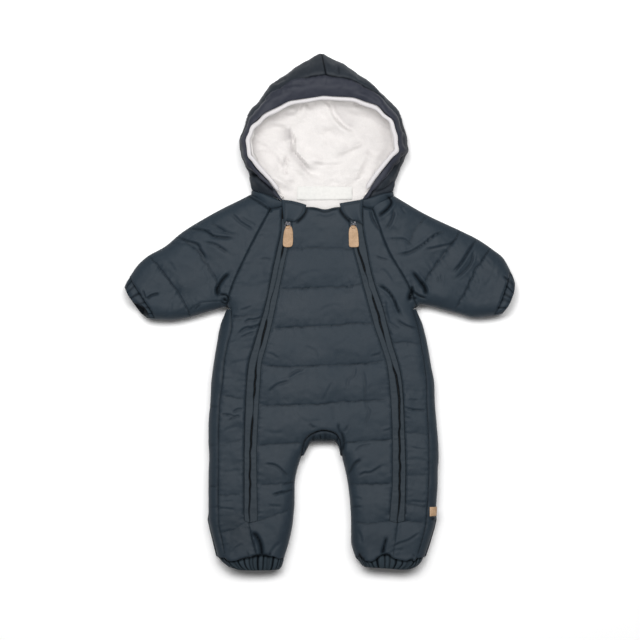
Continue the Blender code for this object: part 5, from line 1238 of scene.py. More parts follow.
def band(name, pleats, depth, mat, slot, high, set_back=(0, 0, 0), seed=1):
    """A gathered tube: pleats run along it, deepest at its seam."""
    table = BAND[name]
    last = len(table) - 1
    u = np.linspace(0, last, 17)
    vt, vb = ring_shares(150, 90)
    v = np.concatenate([vt, vb])
    plan = table_plan(table, u, v)
    under = np.zeros(len(v), bool)
    under[len(vt):] = True
    size = np.hypot(*np.moveaxis(np.diff(table_plan(table, u, np.linspace(0, 1, 30)), axis=1), 2, 0)).sum(1)
    x, y = plan[..., 0].copy(), plan[..., 1].copy()
    d = np.minimum(v, 1 - v)[None, :] * size[:, None]
    puff = smooth(np.arange(last + 1), [r[10] for r in table], u)
    tall = 21.5 + (high - 21.5) * np.sin(np.clip(puff, 0, 1) * math.pi / 2)
    z = np.where(under[None, :], EDGE_Z * (1 - rise(d, ROUND_LOW)), EDGE_Z + (tall[:, None] - EDGE_Z) * rise(d, 13.0))
    rng = np.random.default_rng(seed)
    step = np.convolve(rng.uniform(0.1, 2.0, len(v) + 8), np.ones(5) / 5, "same")[4:-4]
    phase = np.cumsum(step)
    turns = phase / phase[-1] * 2 * math.pi
    fold = (np.sin(turns * pleats) + 0.55 * np.sin(turns * round(pleats * 1.7) + 1.3)) / 1.25
    patchy = np.clip(np.convolve(rng.standard_normal(len(v) + 40), np.hanning(21) / 4, "same")[20:-20] * 0.5 + 0.6, 0.1, 1.2)
    share = (u / last)[:, None]
    strong = depth * np.clip(d / 4.0, 0.0, 1) * (0.4 + 0.6 * patchy)[None, :]
    lean = 1 - 0.5 * share
    z = z + np.where(under[None, :], -1.0, 1.0) * strong * (fold[None, :] * lean - 0.7 * patchy[None, :] * np.exp(-(share / 0.12) ** 2))
    z = np.maximum(z, 0.05)
    if name.startswith("hem"):
        y += np.where(under[None, :], 0.0, hem_rise(x) * (1 - share) ** 1.4)
    back_share, back_at, back_wide = set_back
    if back_share:
        pull = back_share * np.exp(-((v - back_at) / back_wide) ** 2) * ~under
        toward = table_plan(table, np.array([0.0]), v)[0] - table_plan(table, np.array([float(last)]), v)[0]
        k = (pull[None, :] * share**1.5)[..., None]
        x, y = x + (toward[None] * k)[..., 0], y + (toward[None] * k)[..., 1]
    inset = np.clip(EDGE_WALL / size, 0.0, 0.42)[:, None]
    q = inset + v[None, :] * (1 - 2 * inset)
    inner = np.zeros(x.shape + (3,))
    for i in range(len(u)):
        inner[i, :, :2] = table_plan(table, u[i:i + 1], q[i])[0]
    inner[..., :2] += np.stack([x, y], 2) - plan
    inner[..., 2] = np.where(under[None, :], BACK_WALL - 3.0, FRONT_IN + 2.0)
    lens = rise(np.minimum(v, 1 - v)[None, :] * size[:, None], 16.0)
    inner[..., 2] = EDGE_Z + (inner[..., 2] - EDGE_Z) * lens
    inner[:, 0, 2] = inner[:, len(vt) - 1, 2] = EDGE_Z
    # painted shade in the hollows of the pleats and along the seam
    deep = 0.95 if name.startswith("hem") else 0.6
    shade = np.clip(-fold, 0, 1)[None, :] ** 1.2 * deep * np.ones_like(share) + (0.25 + 0.5 * patchy[None, :]) * np.exp(-(share / 0.09) ** 2)
    shade = np.maximum(shade, np.where(under[None, :], 0.0, read(dark, x, y) * (1 - share)))
    # painted shadow inside the cuff's open mouth, where the top is pulled back
    if back_share:
        mouth = np.exp(-((v - back_at) / (back_wide * 0.85)) ** 2)[None, :] * np.clip((share - 0.42) / 0.2, 0, 1)
        shade = np.maximum(shade, np.where(under[None, :], 0.0, 1.1 * mouth))
    made[name] = wall(name + "_cloth", np.stack([x, y, z], 2), inner, mat, [name], ring=True, shades=np.clip(shade, 0, 0.95))


def foot_cover(side):
    sign, letter = (1, "l") if side == "left" else (-1, "r")
    ys = np.linspace(FLAP_Y - 1.0, -353.0, 34)
    a = body(side, ys) - sign * np.interp(ys, (-353, -300, -289), (2.4, 1.8, 0.1))
    b = body("in_" + letter, ys) - sign * 5.0
    s = (1 - np.cos(np.linspace(0, math.pi, 46))) / 2
    x = mix(a[:, None], b[:, None], s)
    y = np.repeat(ys[:, None], len(s), 1)
    puff = rise(np.minimum(s, 1 - s)[None, :] * np.abs(b - a)[:, None], 4.0)
    ridge = 0.35 * np.sin(ys / 7.0)[:, None] * puff
    outer = np.stack([x, y, FLAP * (0.5 + 0.44 * puff) + ridge * 0.2], 2)
    inner = np.stack([x, y, FLAP * 0.5 * (1 - puff)], 2)
    made["foot_cover_" + side] = wall("foot_cover_%s_cloth" % side, outer, inner, M_SHELL, ["foot_cover_" + side],
                                      shades=np.full(x.shape, 0.3), hidden=0.0)


# ---- hood ----
def coarse_hood(side):
    """The same net of points as the part's solids: rows from crown to neck."""
    sign = -1 if side == "left" else 1
    fine, table = [], HOOD[side]
    for a, b in zip(table, table[1:]):
        fine += [tuple(mix(np.array(a), np.array(b), k / 2)) for k in range(2)]
    fine.append(table[-1])
    grid, inwards = [], []
    for n, row in enumerate(fine):
        r = dict(zip(HOOD_COLS, row))
        rim = np.array([r["rim_x"], r["rim_y"], r["rim_z"]])
        brim = np.array([r["brim_x"], r["brim_y"], r["brim_z"]])
        edge = np.array([r["edge_x"], r["edge_y"], EDGE_Z + 1.5])
        inward = (rim - edge) * (1, 1, 0)
        inward[:2] = np.array([HOOD_MID - edge[0], 255.0 - edge[1]]) if n < 15 else inward[:2]
        inward /= max(float(np.linalg.norm(inward)), 1e-6)
        over = mix(rim, brim, 0.5) + (0, 0, 2.5)
        full_ = min(1.0, max(0.0, (brim[2] - 25.0) / 18.0))
        bulge = mix(brim, edge, 0.5) - inward * (0.4 + 2.1 * full_) + (0, 0, 4.0 * full_)
        turn = edge + inward * 3.5 - (0, 0, edge[2] - 3.6)
        rest = edge + inward * 13.0 - (0, 0, edge[2])
        centre = np.array([HOOD_MID, r["floor_y"], 0.0])
        line = [rim, over, brim, bulge, edge, turn, rest, mix(rest, centre, 0.5), centre]
        if n == 0:
            line = [np.array([HOOD_MID, p[1], p[2]]) for p in line]
        grid.append(line)
        inwards.append(inward)
    grid = np.array(grid)
    normal = np.cross(np.gradient(grid, axis=0), np.gradient(grid, axis=1))
    normal /= np.maximum(np.linalg.norm(normal, axis=2, keepdims=True), 1e-9)
    if normal[len(grid) // 2, -1, 2] < 0:
        normal = -normal
    normal[0, :, 0] = 0.0
    normal[-1, :, 1] *= 0.0
    normal /= np.maximum(np.linalg.norm(normal, axis=2, keepdims=True), 1e-9)
    normal[:, 4, 2] = np.maximum(normal[:, 4, 2], 0.15)
    normal[:, 5] = np.array(inwards) * 0.65 + (0.0, 0.0, 0.92)
    normal[:, 6:] = (0.0, 0.0, 1.0)
    return grid, normal


PER = (9, 9, 7, 7, 5, 5, 18, 18)      # columns between neighbouring lines of the net
COLS = np.concatenate([[0.0]] + [k + np.linspace(0, 1, n + 1)[1:] for k, n in enumerate(PER)])
BRIM_COL, EDGE_COL = sum(PER[:2]), sum(PER[:4])


def fine_hood(side, rows=190):
    grid, normal = coarse_hood(side)
    u = np.linspace(0, 16, rows)
    out = []
    for g in (grid, normal):
        a = smooth(np.arange(17), g, u)
        b = smooth(np.arange(9), np.moveaxis(a, 1, 0), COLS)
        out.append(np.moveaxis(b, 0, 1))
    out[1] /= np.maximum(np.linalg.norm(out[1], axis=2, keepdims=True), 1e-9)
    return out


HOODS = {side: fine_hood(side) for side in ("left", "right")}


def from_middle(grid, side, gap):
    sign = -1 if side == "left" else 1
    grid = grid.copy()
    x = grid[..., 0] - HOOD_MID
    grid[..., 0] = HOOD_MID + sign * np.maximum(sign * x, gap)
    return grid


# creases of the hood, in the same columns as CREASES
HOOD_CREASES = (
    (((338.3, 68), (338.8, 76)), 1.6, 1.7, 0.4, 0.45),
    (((327, 66), (329, 74)), 0.6, 2.0, 0.3, 0.05),
    (((311, 64), (312.6, 73.6)), 1.0, 1.8, 0.4, 0.15),
    (((275, 86), (281, 82.4), (289, 80)), 1.4, 2.0, 0.5, 0.3),
    (((283, 90), (296, 86), (308, 85.6)), 1.3, 3.0, 0.9, 0.12),
    (((262, 105), (272, 98), (284, 94), (294, 92)), 1.0, 3.0, 0.6, 0.08),
    (((306, 82), (320, 84), (336, 83), (350, 86)), 0.7, 4.0, 0.5, 0.0),
    (((352, 91), (364, 94), (374, 99), (380, 105)), 1.0, 3.2, -0.6, 0.06),
    (((344, 66), (352, 73), (361, 80)), 0.8, 2.2, 0.4, 0.06),
    (((294, 69), (286, 76), (279, 82)), 0.8, 2.4, 0.4, 0.06),
    (((403, 128), (402, 140), (404.6, 150)), 1.2, 1.8, 0.5, 0.2),
    (((248, 168.6), (251.4, 172.4), (256.2, 177.6), (266.0, 186.4), (276.0, 193.6)), 3.4, 3.2, 1.4, 1.0),
    (((249, 174), (253, 177), (257, 178.4)), 2.4, 3.0, 0.0, 0.97),
    (((252, 178), (262, 183), (274, 193)), 1.4, 2.0, 0.6, 0.2),
    (((394, 181), (388, 187.4), (379, 191.6), (370, 192.6)), 1.8, 1.9, 0.7, 0.4),
    (((399.6, 154.4), (403, 154.6)), 1.8, 1.6, 0.2, 0.6),
    (((397, 163), (392, 172), (382, 183)), 1.2, 2.4, 0.6, 0.1),
)
hood_relief, hood_dark = np.zeros((NY, NX)), np.zeros((NY, NX))
keep_r, keep_d = relief, dark
relief, dark = hood_relief, hood_dark
for entry in HOOD_CREASES:
    press(*entry)
relief, dark = keep_r, keep_d
hood_relief += 0.35 * noise(41, 48.0) + 0.3 * noise(42, 20.0) + 0.1 * noise(43, 8.0)
flat_side = noise(44, 30.0)


def seam_shows(x):
    """The brim's seam is crisp over the crown and lies flat down both sides."""
    px = x / 1.45 + 319.5
    return np.clip(np.minimum((px - 299.0) / 9.0, (387.0 - px) / 10.0), 0.05, 1)


def under_side(y):
    """The hood's flanks turn under, out of the light."""
    return 0.46 * np.clip((292.0 - y) / 26.0, 0, 1) * np.clip((y - 196.0) / 14.0, 0, 1)


def crown_lean(x, y):
    """The crown seam leans: how far it is moved over, in mm."""
    return np.clip(5.9 * (374.0 - y) / 29.0 - 2.1, -2.1, 3.8) * np.exp(-((x - HOOD_MID) / 15.0) ** 2) * np.clip((y - 330.0) / 12.0, 0, 1)


def hood_half(side):
    grid, normal = HOODS[side]
    grid, normal = grid[:, BRIM_COL:], normal[:, BRIM_COL:]
    x, y = grid[..., 0], grid[..., 1]
    n_edge = EDGE_COL - BRIM_COL
    k = np.arange(grid.shape[1])
    upper = np.clip(1.15 - (k - n_edge) / 5.0, 0, 1)[None, :]
    s = np.linalg.norm(grid - grid[:, :1], axis=2)
    room = np.clip(np.linalg.norm(grid[:, n_edge] - grid[:, 0], axis=1) / 14.0, 0.12, 1)[:, None]
    lift_ = read(hood_relief, x, y) * upper * np.clip(room + 0.3, 0, 1)
    seam = seam_shows(x)
    lift_ -= 2.4 * room * seam * np.exp(-(s / 2.4) ** 2)                            # sewn to the brim
    middle = np.abs(x - HOOD_MID)
    lift_ -= 1.9 * np.exp(-(middle / 1.7) ** 2) * upper                      # crown seam
    pillow = 1.4 * (1 - np.exp(-s / 9.0)) * (1 - np.exp(-middle / 12.0)) * np.clip((n_edge - k) / 4.0, 0, 1)[None, :]
    lift_ += pillow * upper * (y > 285)
    rows = np.arange(len(grid))[:, None]
    pucker = noise(45, 7.5, 30.0)
    lift_ += 0.35 * read(pucker, x, y) * np.exp(-s / 7.0) * upper
    lift_ *= np.clip((len(grid) - 1 - rows) / 5.0, 0.2, 1)
    up = np.zeros_like(grid)
    on_floor = np.clip((k - n_edge - 9) / 6.0, 0, 1)[None, :]
    up[..., 2] = read(under_relief, x, y) * on_floor + 1.4 * np.exp(-(middle / 1.6) ** 2) * on_floor
    outer = from_middle(grid - normal * lift_[..., None] + up, side, 0.0)
    outer[..., 2] = np.maximum(outer[..., 2], 0.0)
    inner = from_middle(grid + normal * HOOD_WALL, side, 0.0)
    for g in (outer, inner):
        g[..., 0] += crown_lean(g[..., 0], g[..., 1])
    inner[..., 2] = np.where((COLS[BRIM_COL:] >= 6)[None, :], BACK_WALL, inner[..., 2])
    # painted shade: creases, the brim seam, the flanks turned under, a little over the whole left half, the crown seam
    # and the last rows at the neck
    shade = read(hood_dark, x, y) * upper
    shade = np.maximum(shade, 0.8 * seam * np.exp(-(s / 1.5) ** 2))
    shade = np.maximum(shade, np.maximum(under_side(y), 0.10 * (x < HOOD_MID)) * upper)
    shade = np.maximum(shade, 0.85 * np.exp(-(middle / 1.2) ** 2) * upper)
    shade = np.maximum(shade, 0.6 * np.exp(-((len(grid) - 1 - rows) / 1.2) ** 2))
    seen = EDGE_COL - BRIM_COL + sum(PER[4:6])
    use = np.r_[0:seen, seen:grid.shape[1]:2]
    outer, inner, shade = outer[:, use], inner[:, use], shade[:, use]
    made["hood_" + side] = wall("hood_%s_cloth" % side, outer, inner, M_HOOD, ["hood_" + side], shades=shade)


def hood_brim():
    outers, inners, shades = [], [], []
    for side in ("left", "right"):
        grid, normal = HOODS[side]
        grid, normal = grid[:, :BRIM_COL + 1], normal[:, :BRIM_COL + 1]
        x, y = grid[..., 0], grid[..., 1]
        width = np.linalg.norm(grid[:, -1] - grid[:, 0], axis=1)[:, None]
        s = np.linspace(0, 1, grid.shape[1])[None, :]
        puff = np.clip(width / 30.0, 0.15, 1) * 2.2 * np.sin(s * math.pi) ** 0.8
        rise_ = puff + read(hood_relief, x, y)
        seam = seam_shows(x)
        rise_ -= 1.5 * seam * np.exp(-((1 - s) * width / 2.2) ** 2)
        rise_ += 0.35 * read(noise(46, 9.0, 26.0), x, y) * np.exp(-(1 - s) * width / 7.0)
        outers.append(grid - normal * rise_[..., None])
        inners.append(grid + normal * (HOOD_WALL - 0.5))
        # painted shade: creases, the flanks turned under and the seam to the hood
        shade = np.maximum(read(hood_dark, x, y), under_side(y) * np.clip((s - 0.25) / 0.4, 0, 1))
        shades.append(np.maximum(shade, 0.6 * seam * np.exp(-((1 - s) * width / 1.4) ** 2)))
    outer = np.concatenate([outers[0][:0:-1], outers[1]])
    inner = np.concatenate([inners[0][:0:-1], inners[1]])
    shade = np.concatenate([shades[0][:0:-1], shades[1]])
    made["hood_brim"] = wall("hood_brim_cloth", outer, inner, M_BRIM, ["hood_brim"], shades=shade)


# Folds of the lining, in the same columns as CREASES; depth below 0 is a ridge.
FOLDS = (
    (((323.3, 98), (330.7, 105), (335.7, 115), (342, 123.4), (349.4, 128.3), (359, 131)), 2.4, 3.2, -1.4, 0.10),
    (((302, 101), (300, 108), (297.8, 117)), 1.8, 2.8, 0.8, 0.06),
    (((290.6, 127), (291.4, 134), (293, 141), (293.4, 152), (301.6, 162), (312, 175)), 3.6, 2.3, 1.8, 0.32),
    (((289.7, 153), (286.4, 162), (284.7, 178)), 2.0, 2.0, 0.9, 0.14),
    (((279.7, 155), (279.4, 176)), 1.1, 2.2, 0.5, 0.06),
    (((259.8, 143.3), (268, 149), (274.8, 157), (278.5, 166)), 1.4, 2.6, 0.7, 0.06),
    (((258, 153), (263, 152), (268, 155)), 1.0, 2.0, 0.5, 0.05),
    (((364, 141.6), (350.6, 148.4), (334.5, 154.8)), -1.8, 3.0, 0.0, 0.0),
    (((365.5, 143.3), (365.5, 154.5), (359.3, 169.4), (355, 181)), -1.6, 2.8, 0.0, 0.0),
    (((377, 162), (370.5, 178)), 1.2, 2.6, 0.5, 0.05),
    (((388, 146), (379, 153), (373, 164)), 1.0, 3.0, 0.5, 0.03),
    (((312, 164), (330, 166), (344, 164)), 1.1, 2.6, 0.5, 0.04),
    (((318, 172), (332, 175), (346, 172)), 0.8, 3.2, 0.4, 0.02),
    (((329, 128), (328, 140), (332, 152)), 1.1, 3.2, 0.5, 0.03),
    (((344, 104), (352, 105.4), (360, 104)), 1.6, 3.2, 0.6, 0.10),
    (((280, 119), (288, 116.6), (297, 115)), 1.6, 3.0, 0.6, 0.10),
    (((262, 130), (275, 127), (288, 130)), 1.0, 3.6, 0.6, 0.03),
    (((371, 121), (382, 126), (392, 134)), 1.2, 3.4, 0.6, 0.04),
    (((305, 142), (300, 150), (302, 162)), -1.2, 3.4, 0.0, 0.0),
    (((366, 108), (382, 124), (386, 146), (374, 170)), 1.2, 9.0, 0.0, 0.13),
    (((266, 118), (256, 134), (256, 150), (268, 168)), 1.0, 7.0, 0.0, 0.08),
    (((346, 120), (362, 136), (360, 158)), 0.8, 9.0, 0.0, 0.05),
    (((284, 124), (284, 140), (290, 150)), 1.4, 4.0, 0.6, 0.05),
    (((344, 112), (356, 116), (372, 118)), 1.0, 4.0, 0.5, 0.04),
    (((300, 186), (286, 181), (276, 172)), 1.0, 2.8, 0.5, 0.04),
    (((352, 183), (362, 178), (370, 170)), 1.0, 2.8, 0.5, 0.04),
)
fold_relief, fold_dark = np.zeros((NY, NX)), np.zeros((NY, NX))
relief, dark = fold_relief, fold_dark
for entry in FOLDS:
    press(entry[0], entry[1] * 1.8, entry[2] * 1.15, entry[3] * 1.9, entry[4] * 1.9, ends=0.25)
relief, dark = keep_r, keep_d
# one side of a fold out of the light: points, reach, amount, side (+1 left)
for points, reach, amount, which in (
        (((329, 99), (333, 108), (339, 118), (347, 126), (358, 131)), 26.0, 0.30, 1),
        (((291.4, 127), (291.6, 134), (293, 141)), 13.0, 0.75, -1),
        (((292.6, 138), (293.4, 150), (301.6, 162), (312, 174)), 7.0, 0.6, -1),
        (((290, 152), (286.4, 162), (284.7, 176)), 6.0, 0.28, -1),
        (((302, 102), (299, 109), (296, 117)), 12.0, 0.34, -1),
        (((279.7, 155), (279.4, 174)), 8.0, 0.20, -1),
        (((336, 103.4), (348, 104.6), (360, 101)), 9.0, 0.36, -1),
        (((364.6, 142), (350.6, 148.4), (334.5, 154.8)), 8.0, 0.16, -1),
        (((365.5, 143.3), (365.5, 154.5), (359.3, 169.4)), 9.0, 0.16, 1),
        (((282, 113), (290, 117), (297, 115)), 10.0, 0.30, 1)):
    where, d, along, turn, size = near(curve(at(points), 2.5), reach * 2.4)
    taper = np.clip(np.minimum(along, 1 - along) / 0.22, 0, 1)
    lit = np.clip(0.5 + 0.5 * turn * which * np.minimum(d / 1.3, 1), 0, 1)
    fold_dark[where] = np.maximum(fold_dark[where], amount * taper * lit * np.exp(-(d / reach) ** 2))
rim_line = np.concatenate([[r[:2] for r in HOOD["left"][::-1]], [r[:2] for r in HOOD["right"][1:]]])
rim_near = np.full((NY, NX), 70.0)
pull_in(rim_near, curve(rim_line, 4.0), 70.0)
inside = np.zeros((NY, NX), bool)
for (xa, ya), (xb, yb) in zip(rim_line, np.roll(rim_line, -1, axis=0)):
    if ya != yb:
        inside ^= ((ya > gy) != (yb > gy)) & (gx < xa + (gy - ya) * (xb - xa) / (yb - ya))
room_under = np.interp(gy, (161, 187, 207, 226, 249, 269, 285, 302), (0, 3, 6, 8, 9, 8, 4, 0))
bowl = room_under * np.where(inside, np.exp(-(rim_near / 17.0) ** 2), np.exp(-(rim_near / 3.0) ** 2))
# broad patches of painted shade on the lining's sides and upper corners
for cx, cy, wx, wy, deep_ in ((392, 138, 26, 36, 0.30), (252, 142, 20, 34, 0.22), (274, 116, 15, 9, 0.26), (366, 110, 16, 9, 0.12)):
    fold_dark = np.maximum(fold_dark, 0) + deep_ * np.exp(-((px_x - cx) / wx) ** 2 - ((px_y - cy) / wy) ** 2)
fold_relief += 1.5 * noise(51, 42.0) + 0.6 * noise(52, 18.0, 40.0, 0.9) + 0.16 * noise(53, 7.0)


def lining_half(side):
    grid, normal = HOODS[side]
    base = LINING_GAP + HOOD_WALL
    outer, inner = grid + normal * base, grid + normal * (base + PILE)
    floor = (COLS >= 6)[None, :]
    for g, z in ((outer, BACK_WALL + GAP), (inner, BACK_WALL + GAP + PILE)):
        g[..., 2] = np.where(floor, z, g[..., 2])
        turned = np.clip((COLS - 5) / 1.0, 0, 1)
        # the last rows run on under the front
        k = np.arange(len(g))[:, None]
        last = np.clip((k - (len(g) - 9)) / 8.0, 0, 1)
        g[..., 1] += last * mix(3.6, -12.0, turned)[None, :]
    x, y = inner[..., 0], inner[..., 1]
    s = np.clip(COLS / 0.7, 0, 1)[None, :]
    k = np.arange(len(grid))[:, None]
    amount = read(fold_relief, x, y) * s * np.clip((len(grid) - 1 - k) / 12.0, 0, 1)
    border = np.exp(-(COLS / 0.9) ** 2)[None, :] * np.clip((len(grid) - 1 - k) / 12.0, 0, 1)
    lift_ = np.maximum(amount, -3.4) + 2.2 * s + 1.6 * border * s
    lift_ += read(bowl, x, y) * np.clip((COLS - 4.6) / 1.0, 0, 1)[None, :] * np.clip((len(grid) - 1 - k) / 26.0, 0, 1)
    inner = inner + normal * lift_[..., None]
    shade = read(fold_dark, x, y)
    made["lining_" + side] = wall("lining_%s_cloth" % side, from_middle(inner, side, -0.05), from_middle(outer, side, 0.0), M_LINING,
                                  ["lining_" + side], shades=shade, hidden=0.0)


def lining_rim():
    path = []
    for side in ("left", "right"):
        grid, normal = coarse_hood(side)
        n = normal[:, 0]
        into = grid[:, 0] - grid[:, 1]
        along = np.gradient(grid[:, 0], axis=0)
        along /= np.linalg.norm(along, axis=1, keepdims=True)
        n = n - along * (along * n).sum(1, keepdims=True)
        n /= np.linalg.norm(n, axis=1, keepdims=True)
        into -= along * (into * along).sum(1, keepdims=True)
        into -= n * (into * n).sum(1, keepdims=True)
        into /= np.linalg.norm(into, axis=1, keepdims=True)
        path.append((grid[:, 0] + into * (RIM_ROLL + GAP + 0.7) + n * (RIM_ROLL + 0.8))[:-1])
    path = np.concatenate([path[0][:0:-1], path[1]])
    line = smooth(np.arange(len(path)), path, np.linspace(0, len(path) - 1, 420))
    rng = np.random.default_rng(8)
    wob = np.convolve(rng.standard_normal(480), np.hanning(31) / 6, "same")[30:450]
    tight = np.convolve(rng.standard_normal(480), np.hanning(9) / 3, "same")[30:450]
    ends = np.minimum(np.arange(420), np.arange(420)[::-1]) / 6.0
    rad = (RIM_ROLL + 0.25 + 0.28 * wob + 0.10 * tight) * np.clip(ends + 0.35, 0, 1) ** 0.5
    along = np.gradient(line, axis=0)
    along /= np.linalg.norm(along, axis=1, keepdims=True)
    side = np.cross(along, (0, 0, 1.0))
    side /= np.linalg.norm(side, axis=1, keepdims=True)
    up = np.cross(side, along)
    sides = 18
    a = np.linspace(0, 2 * math.pi, sides, endpoint=False)
    ring = line[:, None] + rad[:, None, None] * (np.cos(a)[None, :, None] * side[:, None] + np.sin(a)[None, :, None] * up[:, None])
    points = ring.reshape(-1, 3)
    i, j = np.meshgrid(np.arange(419), np.arange(sides), indexing="ij")
    i, j = i.ravel(), j.ravel()
    jn = (j + 1) % sides
    quads = np.stack([i * sides + j, i * sides + jn, (i + 1) * sides + jn, (i + 1) * sides + j], 1)
    caps = []
    for first, row in ((True, 0), (False, 419)):
        centre = len(points)
        points = np.vstack([points, ring[row].mean(0)])
        for k in range(0, sides, 2):
            quad = [row * sides + k, row * sides + (k + 1) % sides, row * sides + (k + 2) % sides, centre]
            caps.append(quad[::-1] if first else quad)
    made["lining_rim"] = make("lining_rim_cloth", points, np.vstack([quads, caps]), M_RIM, ["lining_rim"],
                              np.zeros(len(points)))


# ---- neck ----
def neck_band():
    halves = []
    for side, sign in (("left", -1), ("right", 1)):
        hood_end = HOOD[side][-1]
        up, a = SLEEVE[side][0][0:2], SLEEVE[side][0][2:4]
        zip_x = float(body("zo_" + side[0], 152.2)) + sign * 0.2
        low_ = [(zip_x, 153.2), (a[0], a[1] + 0.5), (mix(a[0], up[0], 0.5), mix(a[1], up[1], 0.5) + 0.3),
                (mix(a[0], up[0], 0.9), mix(a[1], up[1], 0.9) + 0.3), (up[0], up[1] + 0.3)]
        high_ = [(sign * max(abs(hood_end[0]), abs(zip_x) + 0.2), hood_end[1] + 0.6),
                 (mix(hood_end[0], hood_end[6], 0.33), mix(hood_end[1], hood_end[7], 0.33) + 0.6),
                 (mix(hood_end[0], hood_end[6], 0.65), mix(hood_end[1], hood_end[7], 0.65) + 0.6),
                 (mix(hood_end[0], hood_end[6], 0.93), mix(hood_end[1], hood_end[7], 0.93) - 0.8), (hood_end[6], hood_end[7] - 0.6)]
        under_low = [low_[3], low_[2], (a[0], a[1] + 0.7), (a[0] * 0.5, 150.0), (HOOD_MID, 150.0)]
        reach = abs(hood_end[6] - sign * 13.0 - HOOD_MID)
        under_high = [(xx, float(np.interp(abs(xx - HOOD_MID), (0.0, reach), (hood_end[8], hood_end[7] - 4.6))) - 0.9)
                      for xx in (high_[4][0] - sign * 9, high_[4][0] - sign * 20, a[0] * 0.95, a[0] * 0.5, HOOD_MID)]
        f = np.linspace(0, 1, 30)
        k = np.concatenate([np.linspace(0, 3, 60), 3 + spread(14, 0.8)[1:]])
        lo, hi = smooth(np.arange(5), low_, k), smooth(np.arange(5), high_, k)
        p = mix(lo[None], hi[None], f[:, None, None])
        # its inner edge runs on under the chin guard
        tuck = np.clip(f / 0.3, 0, 1) * np.clip((1.02 - f) / 0.15, 0, 1)
        x, y = p[..., 0] - sign * 4.5 * tuck[:, None] * np.clip(1 - k[None, :] / 0.6, 0, 1), p[..., 1]
        end = mix(low_[4][0], high_[4][0], f)[:, None]
        d = np.abs(x - end)
        tall = VALLEY + 1.0 + 4.0 * f[:, None] + 1.2 * np.sin(f * math.pi)[:, None] + read(relief, x, y)
        z = EDGE_Z + (tall - EDGE_Z) * rise(d, ROUND_TOP)
        z -= 2.2 * np.exp(-(f[:, None] / 0.12) ** 2) * rise(d, 10) + 1.8 * np.exp(-((1 - f[:, None]) / 0.12) ** 2) * rise(d, 10)
        # painted shade along the band's upper edge, under the hood
        shade = np.maximum(read(dark, x, y), 0.6 * np.exp(-((1 - f[:, None]) / 0.09) ** 2))
        keep = end - sign * EDGE_WALL
        xi = sign * np.minimum(sign * x, sign * keep + np.interp(k, (3, 4), (0, 0.7))[None, :])
        top_o, top_i = np.stack([x, y, z], 2), np.stack([xi, y, np.interp(k, (3.6, 4), (FRONT_IN, EDGE_Z))[None, :] + 0 * x], 2)
        ku = np.linspace(0, 4, 30)
        lo, hi = smooth(np.arange(5), under_low, ku), smooth(np.arange(5), under_high, ku)
        p = mix(lo[None], hi[None], f[:, None, None])
        xu, yu = p[..., 0], p[..., 1]
        d = np.abs(xu - end)
        z = EDGE_Z * (1 - rise(d, ROUND_LOW))
        keep = end - sign * (EDGE_WALL + 0.5)
        xi = sign * np.minimum(sign * xu, sign * keep)
        low_o, low_i = np.stack([xu, yu, z], 2), np.stack([xi, yu, np.full(xu.shape, BACK_WALL)], 2)
        halves.append((np.concatenate([top_o, low_o], 1), np.concatenate([top_i, low_i], 1),
                       np.concatenate([shade, np.zeros(xu.shape)], 1)))
    outer = np.concatenate([halves[0][0], halves[1][0][:, -2::-1]], axis=1)
    inner = np.concatenate([halves[0][1], halves[1][1][:, -2::-1]], axis=1)
    shade = np.concatenate([halves[0][2], halves[1][2][:, -2::-1]], axis=1)
    made["neck_band"] = wall("neck_band_cloth", outer, inner, M_SHELL, ["neck_band"], shades=shade)


GUARD_EDGES = {
    # the four sides of each chin guard, each from its first to its last corner
    "left": {
        "top": ((281.6, 199.9), (292, 201.2), (300, 203.2), (306.4, 205.2)),
        "inside": ((306.4, 205.2), (305.6, 211), (301.6, 217), (294.6, 222.4)),
        "bottom": ((284.2, 223.4), (287.9, 221.5), (294.6, 222.4)),
        "outside": ((281.6, 199.9), (282.8, 212), (284.2, 223.4)),
    },
    "right": {
        "top": ((363.2, 199.7), (353, 201.4), (346, 202.6), (339.4, 203.8)),
        "inside": ((339.4, 203.8), (341, 210), (345.6, 216.2), (352.4, 220.8)),
        "bottom": ((362.6, 224.8), (357.6, 222.6), (352.4, 220.8)),
        "outside": ((363.2, 199.7), (362.0, 213), (362.6, 224.8)),
    },
}


def chin_guard(side):
    g = GUARD_EDGES[side]
    n = 30
    t = mix(np.linspace(0, 1, n), (1 - np.cos(np.linspace(0, math.pi, n))) / 2, 0.6)

    def line(name):
        p = at(g[name])
        s = np.concatenate([[0], np.cumsum(np.hypot(*np.diff(p, axis=0).T))])
        return smooth(s / s[-1], p, t)
    a, b, c, d = line("top"), line("bottom"), line("outside"), line("inside")
    s, u = t[:, None, None], t[None, :, None]
    plan = (1 - s) * a[None] + s * b[None] + (1 - u) * c[:, None] + u * d[:, None]
    plan -= (1 - s) * (1 - u) * a[0] + (1 - s) * u * a[-1] + s * (1 - u) * b[0] + s * u * b[-1]
    x, y = plan[..., 0], plan[..., 1]
    sx = s[..., 0] * np.ones((1, n))
    ux = u[..., 0] * np.ones((n, 1))
    lift_ = mix(np.full((n, n), 31.2), np.interp(sx * 1.4, (0, 1), (31.0, 34.0)), np.clip((0.75 - ux) / 0.5, 0, 1))
    border = np.minimum(np.minimum(sx, 1 - sx), np.minimum(ux, 1 - ux))
    body_ = rise(border * 22.0, 3.0)
    outer = np.stack([x, y, lift_ + 0.9 + 2.6 * body_ + 0.4 * np.sin(ux * 5 + sx * 3) * body_], 2)
    inner = np.stack([x, y, lift_ + 0.5 - 0.3 * body_], 2)
    shade = 0.35 * np.exp(-((border * 22 - 2.6) / 0.6) ** 2)
    made["chin_guard_" + side] = wall("chin_guard_%s_cloth" % side, outer, inner, M_SHELL, ["chin_guard_" + side],
                                      shades=shade, hidden=0.6)


